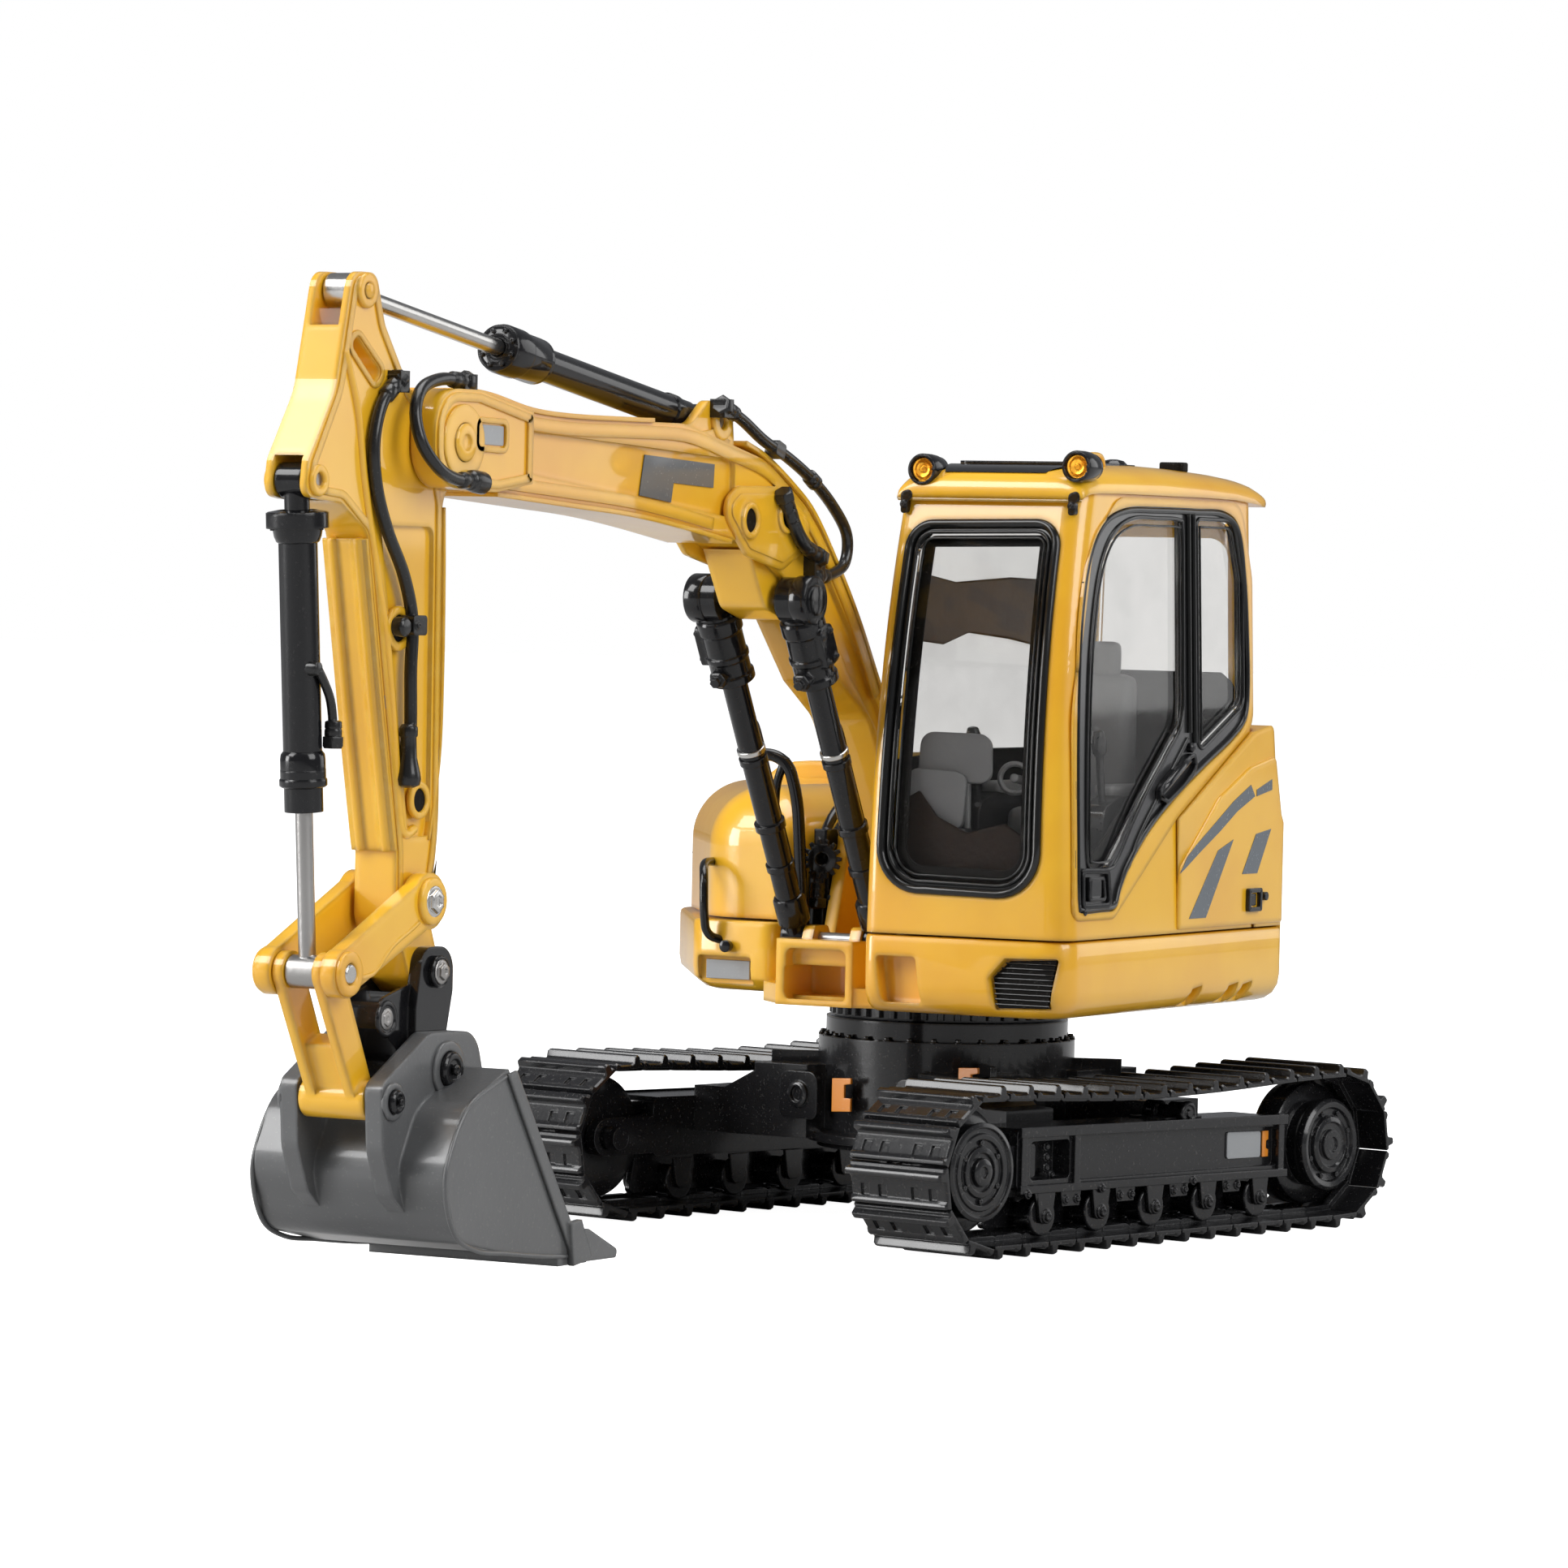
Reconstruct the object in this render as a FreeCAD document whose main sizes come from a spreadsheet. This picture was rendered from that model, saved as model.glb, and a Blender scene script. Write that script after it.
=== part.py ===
import FreeCAD, Part
import math
import os
import re
import Sketcher
from FreeCAD import Placement, Rotation, Vector

# Die-cast model of a mini excavator, scale 1:50, in millimetres.
# The origin is on the ground under the slewing axis. The boom points along -Y, the cab is on
# the +X side and +Z is up. The undercarriage stands turned under the house by parkAngle.

doc = FreeCAD.newDocument("mini_excavator")
sheet = doc.addObject("Spreadsheet::Sheet", "Sizes")

# ---------------------------------------------------------------- driving dimensions
drivingSizes = {
    # undercarriage, in its own directions before it is turned
    "parkAngle": (-12.0, "turn of the undercarriage under the house, degrees"),
    "trackSpan": (38.8, "idler centre to sprocket centre"),
    "trackRadius": (5.72, "half the height of a track over its shoes"),
    "trackCentre": (16.25, "track centre line from the machine's centre line"),
    "shoeWidth": (8.34, "width of a shoe"),
    "bandThickness": (1.3, "chain link and shoe together"),
    "shoeCount": (38, "shoes in one track"),
    "topSag": (0.55, "how far the upper run hangs down"),
    "wheelGap": (0.15, "play between wheels and the chain"),
    "idlerFace": (3.28, "radius of the idler's outer disc"),
    "wheelFace": (2.89, "outer disc from the track's centre line"),
    "railWidth": (2.2, "width of the rail of idler, sprocket and rollers"),
    "axleRadius": (0.8, "idler and roller axles"),
    "beamLength": (29.4, "track frame beam"),
    "beamHigh": (8.3, "top of the beam"),
    "beamLow": (3.7, "bottom of the beam"),
    "beamWidth": (4.4, "width of the beam"),
    "beamRecess": (0.45, "depth of the panel in the beam's side"),
    "rollerRadius": (1.05, "track roller"),
    "rollerCount": (5, "lower rollers of one track"),
    "carrierAlong": (4.0, "carrier roller behind the machine's middle"),
    "carHigh": (12.9, "top of the car body"),
    "carLow": (5.2, "bottom of the car body"),
    "carRadius": (8.9, "round middle of the car body"),
    "ringRadius": (8.4, "slewing ring"),
    "ringSplit": (14.3, "height where the slewing ring turns"),
    "ringPlay": (0.08, "gap between the two halves of the ring"),
    "pivotRadius": (2.4, "slewing pivot"),
    "pinPlay": (0.05, "play round a pin"),
    # house
    "baseLow": (15.87, "underside of the house"),
    "baseHigh": (21.07, "seam between the base and the covers"),
    "seamGap": (0.12, "open seam between covers"),
    "houseHalf": (21.02, "half the width of the house"),
    "frontFace": (23.66, "front of the cab at its foot, ahead of the slewing axis"),
    "sideBack": (9.2, "where the straight side ends"),
    "cabInner": (5.9, "the cab's side beside the boom"),
    "cabBack": (5.8, "rear wall of the cab"),
    "cabTop": (50.5, "seam under the roof"),
    "cabLean": (3.4, "how far the curved windscreen leans back at the roof"),
    "leanPower": (2.6, "how late the windscreen starts to lean back"),
    "innerRound": (0.9, "upright corners of the cab beside the boom"),
    "cabTaper": (1.0, "how far the outer side leans in at the roof"),
    "cabWall": (0.8, "cab wall"),
    "cornerRound": (1.6, "upright corners of the cab"),
    "roofHigh": (52.5, "top of the roof"),
    "glassThick": (0.35, "window panes"),
    "sealWide": (0.67, "seal round a pane"),
    "lampRadius": (0.9, "work lamps"),
    "coverHigh": (35.1, "top of the side cover"),
    "hoodHigh": (30.2, "top of the right hood"),
    "rearHoodHigh": (31.4, "top of the engine hood"),
    "hoodRound": (4.1, "rounding of the right hood"),
    "bracketFront": (20.5, "front of the boom bracket ahead of the slewing axis"),
    "bracketHigh": (19.1, "top of the boom bracket"),
    # boom and its pins
    "boomMiddle": (0.6, "plane of boom, arm and bucket"),
    "boomWidth": (4.4, "width of the boom"),
    "forkWidth": (6.6, "width over the boom's fork"),
    "sideGap": (0.15, "play beside parts that turn in a fork"),
    "footAlong": (9.5, "boom foot pin ahead of the slewing axis"),
    "footHigh": (26.5, "boom foot pin above the ground"),
    "elbowAlong": (71.6, "pin between boom and arm"),
    "elbowHigh": (52.1, "its height"),
    "liftAlong": (29.6, "boom cylinder pin on the boom"),
    "liftHigh": (43.0, "its height"),
    "liftFootAlong": (17.0, "boom cylinder pin on the house"),
    "liftFootHigh": (20.2, "its height"),
    "liftOffset": (3.15, "boom cylinders beside the boom's plane"),
    "liftBarrel": (0.85, "radius of the boom cylinders"),
    "liftSleeve": (1.3, "radius of the sleeves on their rods"),
    "reachAlong": (38.0, "arm cylinder pin on the boom"),
    "reachHigh": (54.4, "its height"),
    "reachBarrel": (1.05, "radius of the arm cylinder"),
    "reachHead": (1.45, "radius of the arm cylinder's head"),
    "rodRadius": (0.52, "piston rods"),
    "hoseRadius": (0.39, "hydraulic hoses"),
    "pinRadius": (0.7, "pins of the boom and arm"),
    "smallPin": (0.45, "pins of cylinders and links"),
    # arm
    "armWidth": (2.9, "width of the arm"),
    "hornAlong": (79.8, "arm cylinder pin on the arm"),
    "hornHigh": (60.8, "its height"),
    "curlAlong": (84.6, "bucket cylinder pin on the arm"),
    "curlHigh": (49.5, "its height"),
    "curlBarrel": (1.15, "radius of the bucket cylinder"),
    "curlFlange": (1.85, "radius of the flange on its cap"),
    "rockAlong": (73.4, "rocker pin on the arm"),
    "rockHigh": (24.6, "its height"),
    "jointAlong": (82.4, "pin where bucket cylinder, rocker and link meet"),
    "jointHigh": (20.6, "its height"),
    "tipAlong": (71.7, "bolt that holds the coupler on the arm's end"),
    "tipHigh": (20.3, "its height"),
    "clampAlong": (76.5, "front bolt of the coupler"),
    "clampHigh": (17.5, "its height"),
    # bucket
    "hangAlong": (72.4, "pin that carries the bucket"),
    "hangHigh": (14.5, "its height"),
    "linkAlong": (78.5, "pin between link and bucket"),
    "linkHigh": (12.9, "its height"),
    "bucketWidth": (13.6, "width of the bucket"),
    "bucketWall": (0.55, "bucket plates"),
    "earInner": (2.4, "bucket ears beside the boom's plane"),
    "earThick": (1.2, "thickness of an ear"),
    "rockerInner": (1.8, "rocker plates beside the boom's plane"),
    "lobeRadius": (1.6, "lobe of the coupler round the bucket's pin"),
    "rockerThick": (1.0, "thickness of a rocker plate"),
    "toothCount": (5, "teeth on the bucket"),
}

size = {}
for row, (name, (value, meaning)) in enumerate(drivingSizes.items(), start=1):
    sheet.set("A%d" % row, name)
    sheet.set("B%d" % row, str(value))
    sheet.set("C%d" % row, meaning)
    sheet.setAlias("B%d" % row, name)
    size[name] = value
doc.recompute()


# ---------------------------------------------------------------- helpers
def cells(text):
    """Turn the plain names of sizes into references to the sheet."""
    return re.sub(
        r"[A-Za-z]\w*",
        lambda word: "Sizes." + word.group() if word.group() in size else word.group(),
        str(text),
    )


def number(text):
    result = sheet.evalExpression(cells(text))
    return float(getattr(result, "Value", result))


def bind(thing, prop, text):
    thing.setExpression(prop, cells(text))


def pinned(sketch, geometry, position, across, up):
    """Fix a sketch point at two expressions."""
    for kind, text in (("DistanceX", across), ("DistanceY", up)):
        index = sketch.addConstraint(
            Sketcher.Constraint(kind, -1, 1, geometry, position, number(text))
        )
        sketch.setExpression("Constraints[%d]" % index, cells(text))


def drawRound(sketch, across, up, radius):
    centre = Vector(number(across), number(up), 0)
    circle = sketch.addGeometry(Part.Circle(centre, Vector(0, 0, 1), number(radius)))
    pinned(sketch, circle, 3, across, up)
    index = sketch.addConstraint(Sketcher.Constraint("Radius", circle, number(radius)))
    sketch.setExpression("Constraints[%d]" % index, cells(radius))


def drawLoop(sketch, corners):
    """A closed outline; a corner with a third value is rounded to that radius."""
    count = len(corners)
    points = [Vector(number(corner[0]), number(corner[1]), 0) for corner in corners]
    starts, ends = list(points), list(points)
    arcs = {}
    for i, corner in enumerate(corners):
        if len(corner) < 3:
            continue
        back = (points[i - 1] - points[i]).normalize()
        ahead = (points[(i + 1) % count] - points[i]).normalize()
        radius = number(corner[2])
        half = back.getAngle(ahead) / 2
        reach = radius / math.tan(half)
        middle = points[i] + (back + ahead).normalize() * (radius / math.sin(half))
        room = min((points[i - 1] - points[i]).Length, (points[(i + 1) % count] - points[i]).Length)
        if reach > 0.98 * room:
            raise ValueError("corner %d of %s has no room for its radius" % (i, sketch.Name))
        ends[i] = points[i] + back * reach
        starts[i] = points[i] + ahead * reach
        circle = Part.Circle(middle, Vector(0, 0, 1), radius)
        first, last = [math.atan2(p.y - middle.y, p.x - middle.x) for p in (ends[i], starts[i])]
        if (last - first) % (2 * math.pi) < math.pi:
            arcs[i] = (Part.ArcOfCircle(circle, first, first + (last - first) % (2 * math.pi)), 1, 2)
        else:
            arcs[i] = (Part.ArcOfCircle(circle, last, last + (first - last) % (2 * math.pi)), 2, 1)
    lines = [
        sketch.addGeometry(Part.LineSegment(starts[i], ends[(i + 1) % count]))
        for i in range(count)
    ]
    for i, corner in enumerate(corners):
        before, after = lines[i - 1], lines[i]
        if i not in arcs:
            sketch.addConstraint(Sketcher.Constraint("Coincident", before, 2, after, 1))
            pinned(sketch, after, 1, corner[0], corner[1])
            continue
        curve, first, last = arcs[i]
        arc = sketch.addGeometry(curve)
        sketch.addConstraint(Sketcher.Constraint("Tangent", before, 2, arc, first))
        sketch.addConstraint(Sketcher.Constraint("Tangent", after, 1, arc, last))
        index = sketch.addConstraint(Sketcher.Constraint("Radius", arc, number(corner[2])))
        sketch.setExpression("Constraints[%d]" % index, cells(corner[2]))
        tip = sketch.addGeometry(Part.Point(points[i]), True)
        pinned(sketch, tip, 1, corner[0], corner[1])
        sketch.addConstraint(Sketcher.Constraint("PointOnObject", tip, 1, before))
        sketch.addConstraint(Sketcher.Constraint("PointOnObject", tip, 1, after))


def addSketch(body, role, offset, loops):
    """A sketch parallel to one of the body's planes; a loop of three texts is a circle."""
    sketch = body.newObject("Sketcher::SketchObject", body.Name + "_sketch")
    plane = [o for o in body.Origin.OriginFeatures if o.Role == role][0]
    sketch.AttachmentSupport = (plane, [""])
    sketch.MapMode = "FlatFace"
    sketch.setExpression("AttachmentOffset.Base.z", cells(offset))
    for loop in loops:
        if isinstance(loop[0], str):
            drawRound(sketch, *loop)
        else:
            drawLoop(sketch, loop)
    return sketch


def newBody(name):
    body = doc.addObject("PartDesign::Body", name)
    body.Label = name
    body.AllowCompound = True
    return body


def addPad(body, role, start, length, loops):
    """Add material from start over length along the axis that the plane faces."""
    if role == "XZ_Plane":
        sketch = addSketch(body, role, "-(%s)" % start, loops)
    else:
        sketch = addSketch(body, role, start, loops)
    pad = body.newObject("PartDesign::Pad", body.Name + "_pad")
    pad.Profile = sketch
    bind(pad, "Length", length)
    pad.Reversed = role == "XZ_Plane"
    doc.recompute()
    return body


def addPocket(body, role, start, length, loops):
    """Take material away from start over length along the axis that the plane faces."""
    if role == "XZ_Plane":
        sketch = addSketch(body, role, "-(%s)" % start, loops)
    else:
        sketch = addSketch(body, role, "(%s) + (%s)" % (start, length), loops)
    pocket = body.newObject("PartDesign::Pocket", body.Name + "_pocket")
    pocket.Profile = sketch
    bind(pocket, "Length", length)
    before = body.Shape.Volume
    doc.recompute()
    if body.Shape.Volume > before - 1e-6:
        raise RuntimeError("a pocket in %s cuts nothing" % body.Name)
    return body


def prism(name, role, start, length, loops):
    return addPad(newBody(name), role, start, length, loops)


def cut(name, base, *tools):
    """The base with every tool taken away."""
    tool = tools[0]
    if len(tools) > 1:
        tool = doc.addObject("Part::MultiFuse", name + "_tools")
        tool.Shapes = list(tools)
    result = doc.addObject("Part::Cut", name)
    result.Label = name
    result.Base = base
    result.Tool = tool
    return result


def fuse(name, *pieces):
    result = doc.addObject("Part::MultiFuse", name)
    result.Label = name
    result.Shapes = list(pieces)
    return result


def together(name, *pieces):
    """Like pieces that don't touch, kept as one sub-part."""
    result = doc.addObject("Part::Compound", name)
    result.Label = name
    result.Links = list(pieces)
    return result


def mirrored(name, piece, across="0"):
    """A copy on the other side of the plane X = across."""
    result = doc.addObject("Part::Mirroring", name)
    result.Label = name
    result.Source = piece
    result.Normal = Vector(1, 0, 0)
    bind(result, "Base.x", across)
    return result


def crossBar(name, left, length, along, up, radius):
    """A round bar across the machine, from left over length in X."""
    bar = doc.addObject("Part::Cylinder", name)
    bar.Label = name
    bind(bar, "Radius", radius)
    bind(bar, "Height", length)
    bar.Placement.Rotation = Rotation(Vector(0, 1, 0), 90)
    bind(bar, "Placement.Base.x", left)
    bind(bar, "Placement.Base.y", along)
    bind(bar, "Placement.Base.z", up)
    return bar


def stubs(name, inner, outer, along, up, radius):
    """Two pins in line, one in each ear, that leave the space between the ears free."""
    length = "(%s) - (%s)" % (outer, inner)
    return together(
        name,
        crossBar(name + "_left", "boomMiddle + (%s)" % inner, length, along, up, radius),
        crossBar(name + "_right", "boomMiddle - (%s)" % outer, length, along, up, radius),
    )


def upright(name, across, along, bottom, height, radius):
    bar = doc.addObject("Part::Cylinder", name)
    bar.Label = name
    bind(bar, "Radius", radius)
    bind(bar, "Height", height)
    bind(bar, "Placement.Base.x", across)
    bind(bar, "Placement.Base.y", along)
    bind(bar, "Placement.Base.z", bottom)
    return bar


def block(name, left, front, bottom, wide, deep, high):
    box = doc.addObject("Part::Box", name)
    box.Label = name
    for prop, text in (("Length", wide), ("Width", deep), ("Height", high)):
        bind(box, prop, text)
    for axis, text in (("x", left), ("y", front), ("z", bottom)):
        bind(box, "Placement.Base." + axis, text)
    return box


def bar(name, ends, radius):
    """A straight round bar between two points, each given as three texts."""
    piece = doc.addObject("Part::Cylinder", name)
    piece.Label = name
    first, last = [Vector(*[number(text) for text in end]) for end in ends]
    bind(piece, "Radius", radius)
    piece.Height = (last - first).Length
    piece.Placement = Placement(first, Rotation(Vector(0, 0, 1), last - first))
    return piece


def rounded(name, base, radius, chosen):
    """Round those edges of a piece for which chosen(edge) is true."""
    doc.recompute()
    result = doc.addObject("Part::Fillet", name)
    result.Label = name
    result.Base = base
    reach = number(radius)
    result.Edges = [
        (i, reach, reach) for i, edge in enumerate(base.Shape.Edges, start=1) if chosen(edge)
    ]
    return result


def turned(piece):
    """Turn a piece of the undercarriage to where it stands under the house."""
    piece.Placement = Placement(Vector(), Rotation(Vector(0, 0, 1), number("parkAngle")))
    return piece


def hose(name, route, radius):
    """A bent tube: straight runs joined by arcs; each arc is as large as its runs allow."""
    points = [Vector(*[number(text) for text in point]) for point in route]
    edges = []
    start = points[0]
    for i in range(1, len(points) - 1):
        back, ahead = points[i - 1] - points[i], points[i + 1] - points[i]
        half = back.getAngle(ahead) / 2
        reach = 0.45 * min(back.Length, ahead.Length)
        back.normalize()
        ahead.normalize()
        bend = reach * math.tan(half)
        middle = points[i] + (back + ahead).normalize() * math.hypot(reach, bend)
        first, last = points[i] + back * reach, points[i] + ahead * reach
        edges.append(Part.LineSegment(start, first).toShape())
        top = middle + (points[i] - middle).normalize() * bend
        edges.append(Part.Arc(first, top, last).toShape())
        start = last
    edges.append(Part.LineSegment(start, points[-1]).toShape())
    path = Part.Wire(edges)
    along = points[1] - points[0]
    ring = Part.Wire(Part.makeCircle(number(radius), points[0], along))
    tube = doc.addObject("Part::Feature", name)
    tube.Shape = path.makePipeShell([ring], True, False)
    expected = math.pi * number(radius) ** 2 * path.Length
    if abs(tube.Shape.Volume / expected - 1) > 0.02:
        raise RuntimeError("the tube %s has the wrong volume" % name)
    return tube


nodes = []


def keep(piece, name):
    piece.Label = name
    nodes.append(piece)
    return piece


# ---------------------------------------------------------------- undercarriage
def trackPath(share):
    """Point and outward direction on a track's pitch line, for a share of the whole loop."""
    span, radius = size["trackSpan"], size["trackRadius"] - size["bandThickness"] / 2
    centre, sag = size["trackRadius"], size["topSag"]
    around = 2 * span + 2 * math.pi * radius
    run = (share % 1.0) * around
    if run < span:
        return Vector(0, -span / 2 + run, centre - radius), Vector(0, 0, -1)
    run -= span
    if run < math.pi * radius:
        turn = run / radius
        outward = Vector(0, math.sin(turn), -math.cos(turn))
        return Vector(0, span / 2, centre) + outward * radius, outward
    run -= math.pi * radius
    if run < span:
        dip = sag * math.sin(math.pi * run / span) ** 2
        slope = sag * math.pi / span * math.sin(2 * math.pi * run / span)
        return Vector(0, span / 2 - run, centre + radius - dip), Vector(0, -slope, 1).normalize()
    turn = (run - span) / radius
    outward = Vector(0, -math.sin(turn), math.cos(turn))
    return Vector(0, -span / 2, centre) + outward * radius, outward


def trackLoop(name, middle):
    """One loop of track: smooth inside, shoes with their raised edges outside."""
    half = size["bandThickness"] / 2
    count = int(size["shoeCount"])
    shoe = ((0.04, 0.62), (0.62, 0.62), (0.68, 1.0), (0.80, 1.0), (0.86, 0.62), (0.96, 0.62), (1.0, 0.35))
    outer = []
    for i in range(count):
        for along, lift in shoe:
            point, outward = trackPath((i + along) / count)
            outer.append(point + outward * (half * (2 * lift - 1)))
    inner = []
    steps = 4 * count
    for i in range(steps):
        point, outward = trackPath(i / steps)
        inner.append(point - outward * half)
    side = Vector(middle - size["shoeWidth"] / 2, 0, 0)
    plates = [
        Part.Face(Part.makePolygon([side + point for point in outline + outline[:1]]))
        for outline in (outer, inner)
    ]
    track = doc.addObject("Part::Feature", name)
    track.Shape = plates[0].cut(plates[1]).Faces[0].extrude(Vector(size["shoeWidth"], 0, 0))
    return track


wheelInside = "(trackRadius - bandThickness - wheelGap)"


def wheel(name, side, along, dish):
    """Idler or sprocket: rail in the chain, disc at the outer face, axle to the frame."""
    sign = "1" if side > 0 else "-1"
    rail = crossBar(name + "_rail", "%s * trackCentre - railWidth / 2" % sign, "railWidth",
                    along, "trackRadius", wheelInside)
    start = "trackCentre" if side > 0 else "-trackCentre - wheelFace"
    disc = crossBar(name + "_disc", start, "wheelFace", along, "trackRadius", "idlerFace")
    if side > 0:
        dent = crossBar(name + "_dent", "trackCentre + wheelFace - 0.4", "0.5", along, "trackRadius",
                        "idlerFace - 0.6")
        hub = crossBar(name + "_hub", "trackCentre + wheelFace - 0.5", "0.7", along, "trackRadius", dish)
        axle = crossBar(name + "_axle", "trackCentre - 3.2", "3.4", along, "trackRadius", "axleRadius")
    else:
        dent = crossBar(name + "_dent", "-trackCentre - wheelFace - 0.1", "0.5", along, "trackRadius",
                        "idlerFace - 0.6")
        hub = crossBar(name + "_hub", "-trackCentre - wheelFace - 0.2", "0.7", along, "trackRadius", dish)
        axle = crossBar(name + "_axle", "-trackCentre - 0.2", "3.4", along, "trackRadius", "axleRadius")
    body = fuse(name + "_round", rail, disc)
    return fuse(name, cut(name + "_dished", body, dent), hub, axle)


for side, word in ((1, "left"), (-1, "right")):
    keep(turned(trackLoop("track_" + word, side * size["trackCentre"])), "track_" + word)
    middle = "trackCentre" if side > 0 else "-trackCentre"
    idler = wheel("idler_" + word, side, "-trackSpan / 2", "1.3")
    keep(turned(idler), "idler_" + word)
    sprocket = wheel("sprocket_" + word, side, "trackSpan / 2", "1.9")
    keep(turned(sprocket), "sprocket_" + word)

    # beam with a sunk panel in its outer side, and the fork that holds the idler's axle
    left = middle + " - beamWidth / 2"
    beam = prism("beam_" + word, "YZ_Plane", left, "beamWidth", [[
        ("-beamLength / 2", "beamLow + 0.5", "0.5"),
        ("-beamLength / 2", "beamHigh", "0.5"),
        ("beamLength / 2", "beamHigh - 0.4", "0.5"),
        ("beamLength / 2", "beamLow", "0.5"),
    ]])
    outer = (middle + " + beamWidth / 2 - beamRecess") if side > 0 else (left + " - 0.05")
    deep = "beamRecess + 0.05"
    addPocket(beam, "YZ_Plane", outer, deep, [[
        ("-beamLength / 2 + 6.6", "beamLow + 0.9", "0.3"),
        ("-beamLength / 2 + 6.6", "beamHigh - 0.75", "0.3"),
        ("beamLength / 2 - 0.9", "beamHigh - 1.1", "0.3"),
        ("beamLength / 2 - 0.9", "beamLow + 0.8", "0.3"),
    ]])
    hollow = (middle + " + beamWidth / 2 - 1.5") if side > 0 else (left + " - 0.05")
    addPocket(beam, "YZ_Plane", hollow, "1.55", [[
        ("-beamLength / 2 + 1.4", "beamLow + 1.1", "0.4"),
        ("-beamLength / 2 + 1.4", "beamHigh - 0.9", "0.4"),
        ("-beamLength / 2 + 5.6", "beamHigh - 0.9", "0.4"),
        ("-beamLength / 2 + 5.6", "beamLow + 1.1", "0.4"),
    ]])
    cheek = "0.8"
    inside = "trackCentre - beamWidth / 2" if side > 0 else "-trackCentre + beamWidth / 2 - " + cheek
    for along, word2 in (("-trackSpan / 2", "front"), ("trackSpan / 2", "rear")):
        sign = "-" if word2 == "front" else ""
        addPad(beam, "YZ_Plane", inside, cheek, [[
            ("%s(beamLength / 2 - 2)" % sign, "trackRadius - 1.3"),
            ("%s(beamLength / 2 - 2)" % sign, "trackRadius + 1.3"),
            (along, "trackRadius + 1.3"),
            (along, "trackRadius - 1.3"),
        ]])
        addPad(beam, "YZ_Plane", inside, cheek, [(along, "trackRadius", "1.3")])
        addPocket(beam, "YZ_Plane", inside, cheek, [(along, "trackRadius", "axleRadius")])

    # lower rollers in their guards, and the carrier roller on its bracket
    rollers = []
    count = int(size["rollerCount"])
    for i in range(count):
        share = (i - (count - 1) / 2) / count
        along = "beamLength * %.4f" % share
        up = "bandThickness + rollerRadius + 0.02"
        rollers.append(crossBar("roller_%s_%d" % (word, i + 1), middle + " - railWidth / 2 - 0.5",
                                "railWidth + 1", along, up, "rollerRadius"))
        rollers.append(block("roller_seat_%s_%d" % (word, i + 1), middle + " - 0.8", along + " - 0.6", up,
                             "1.6", "1.2", "beamLow + 0.6 - (%s)" % up))
    carrierUp = "2 * trackRadius - bandThickness - topSag - rollerRadius - 0.05"
    rollers.append(crossBar("carrier_" + word, middle + " - railWidth / 2 - 0.5", "railWidth + 1",
                            "carrierAlong", carrierUp, "0.75 * rollerRadius"))
    rollers.append(block("carrier_seat_" + word, middle + " - 0.6", "carrierAlong - 0.5", "beamHigh - 0.35",
                         "1.2", "1", "(%s) - beamHigh + 0.35" % carrierUp))
    keep(turned(cut("roller_set_" + word, fuse("rollers_all_" + word, *rollers), beam)), "rollers_" + word)
    keep(turned(together("beam_kept_" + word, beam)), "track_beam_" + word)

# car body: round middle, four legs, floor plate
carBody = prism("car_body_core", "XY_Plane", "carLow", "carHigh - carLow", [("0", "0", "carRadius")])
for side in ("", "-"):
    for end, name in (("-", "front"), ("", "rear")):
        addPad(carBody, "XY_Plane", "carLow + 0.6", "carHigh - carLow - 2.6", [[
            (side + "2", end + "3"),
            (side + "5", end + "9"),
            (side + "(trackCentre - beamWidth / 2)", end + "10.5"),
            (side + "(trackCentre - beamWidth / 2)", end + "5.5"),
            (side + "6", end + "1.5"),
        ]])
for side in ("", "-"):
    addPocket(carBody, "XZ_Plane", "-14", "28", [[
        (side + "9.2", "carHigh + 1"),
        (side + "9.2", "carHigh - 2.6"),
        (side + "11.6", "carHigh - 3.9"),
        (side + "15", "carHigh - 3.9"),
        (side + "15", "carHigh + 1"),
    ]])
keep(turned(carBody), "car_body")
ringLow = prism("slewing_ring_lower", "XY_Plane", "carHigh", "ringSplit - ringPlay - carHigh",
                [("0", "0", "ringRadius"), ("0", "0", "pivotRadius + pinPlay")])
keep(turned(ringLow), "slewing_ring_lower")

# ---------------------------------------------------------------- house
ringHigh = prism("slewing_ring_upper", "XY_Plane", "ringSplit", "baseLow - ringSplit",
                 [("0", "0", "ringRadius - 0.5")])
addPad(ringHigh, "XY_Plane", "carHigh + ringPlay", "ringSplit - carHigh", [("0", "0", "pivotRadius")])
keep(ringHigh, "slewing_ring_upper")

# base of the house: boom bracket with its deck, left and right skirts, counterweight
frame = prism("main_frame_deck", "XY_Plane", "baseLow", "1.3", [[
    ("-4.9", "-bracketFront + 3"),
    ("-1.9", "-bracketFront"),
    ("3.1", "-bracketFront"),
    ("cabInner - seamGap", "-bracketFront + 1"),
    ("cabInner - seamGap", "sideBack - seamGap"),
    ("-4.9", "sideBack - seamGap"),
]])
addPad(frame, "XY_Plane", "baseLow", "bracketHigh - baseLow", [[
    ("boomMiddle - 2.9", "-bracketFront"),
    ("boomMiddle + 2.9", "-bracketFront"),
    ("boomMiddle + 4.6", "-bracketFront + 6"),
    ("boomMiddle - 4.6", "-bracketFront + 6"),
]])
addPad(frame, "XY_Plane", "baseLow", "bracketHigh + 1.2 - baseLow", [[
    ("boomMiddle - 2.9", "-bracketFront"),
    ("boomMiddle + 2.9", "-bracketFront"),
    ("boomMiddle + 3.4", "-bracketFront + 1.6"),
    ("boomMiddle - 3.4", "-bracketFront + 1.6"),
]])
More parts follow.
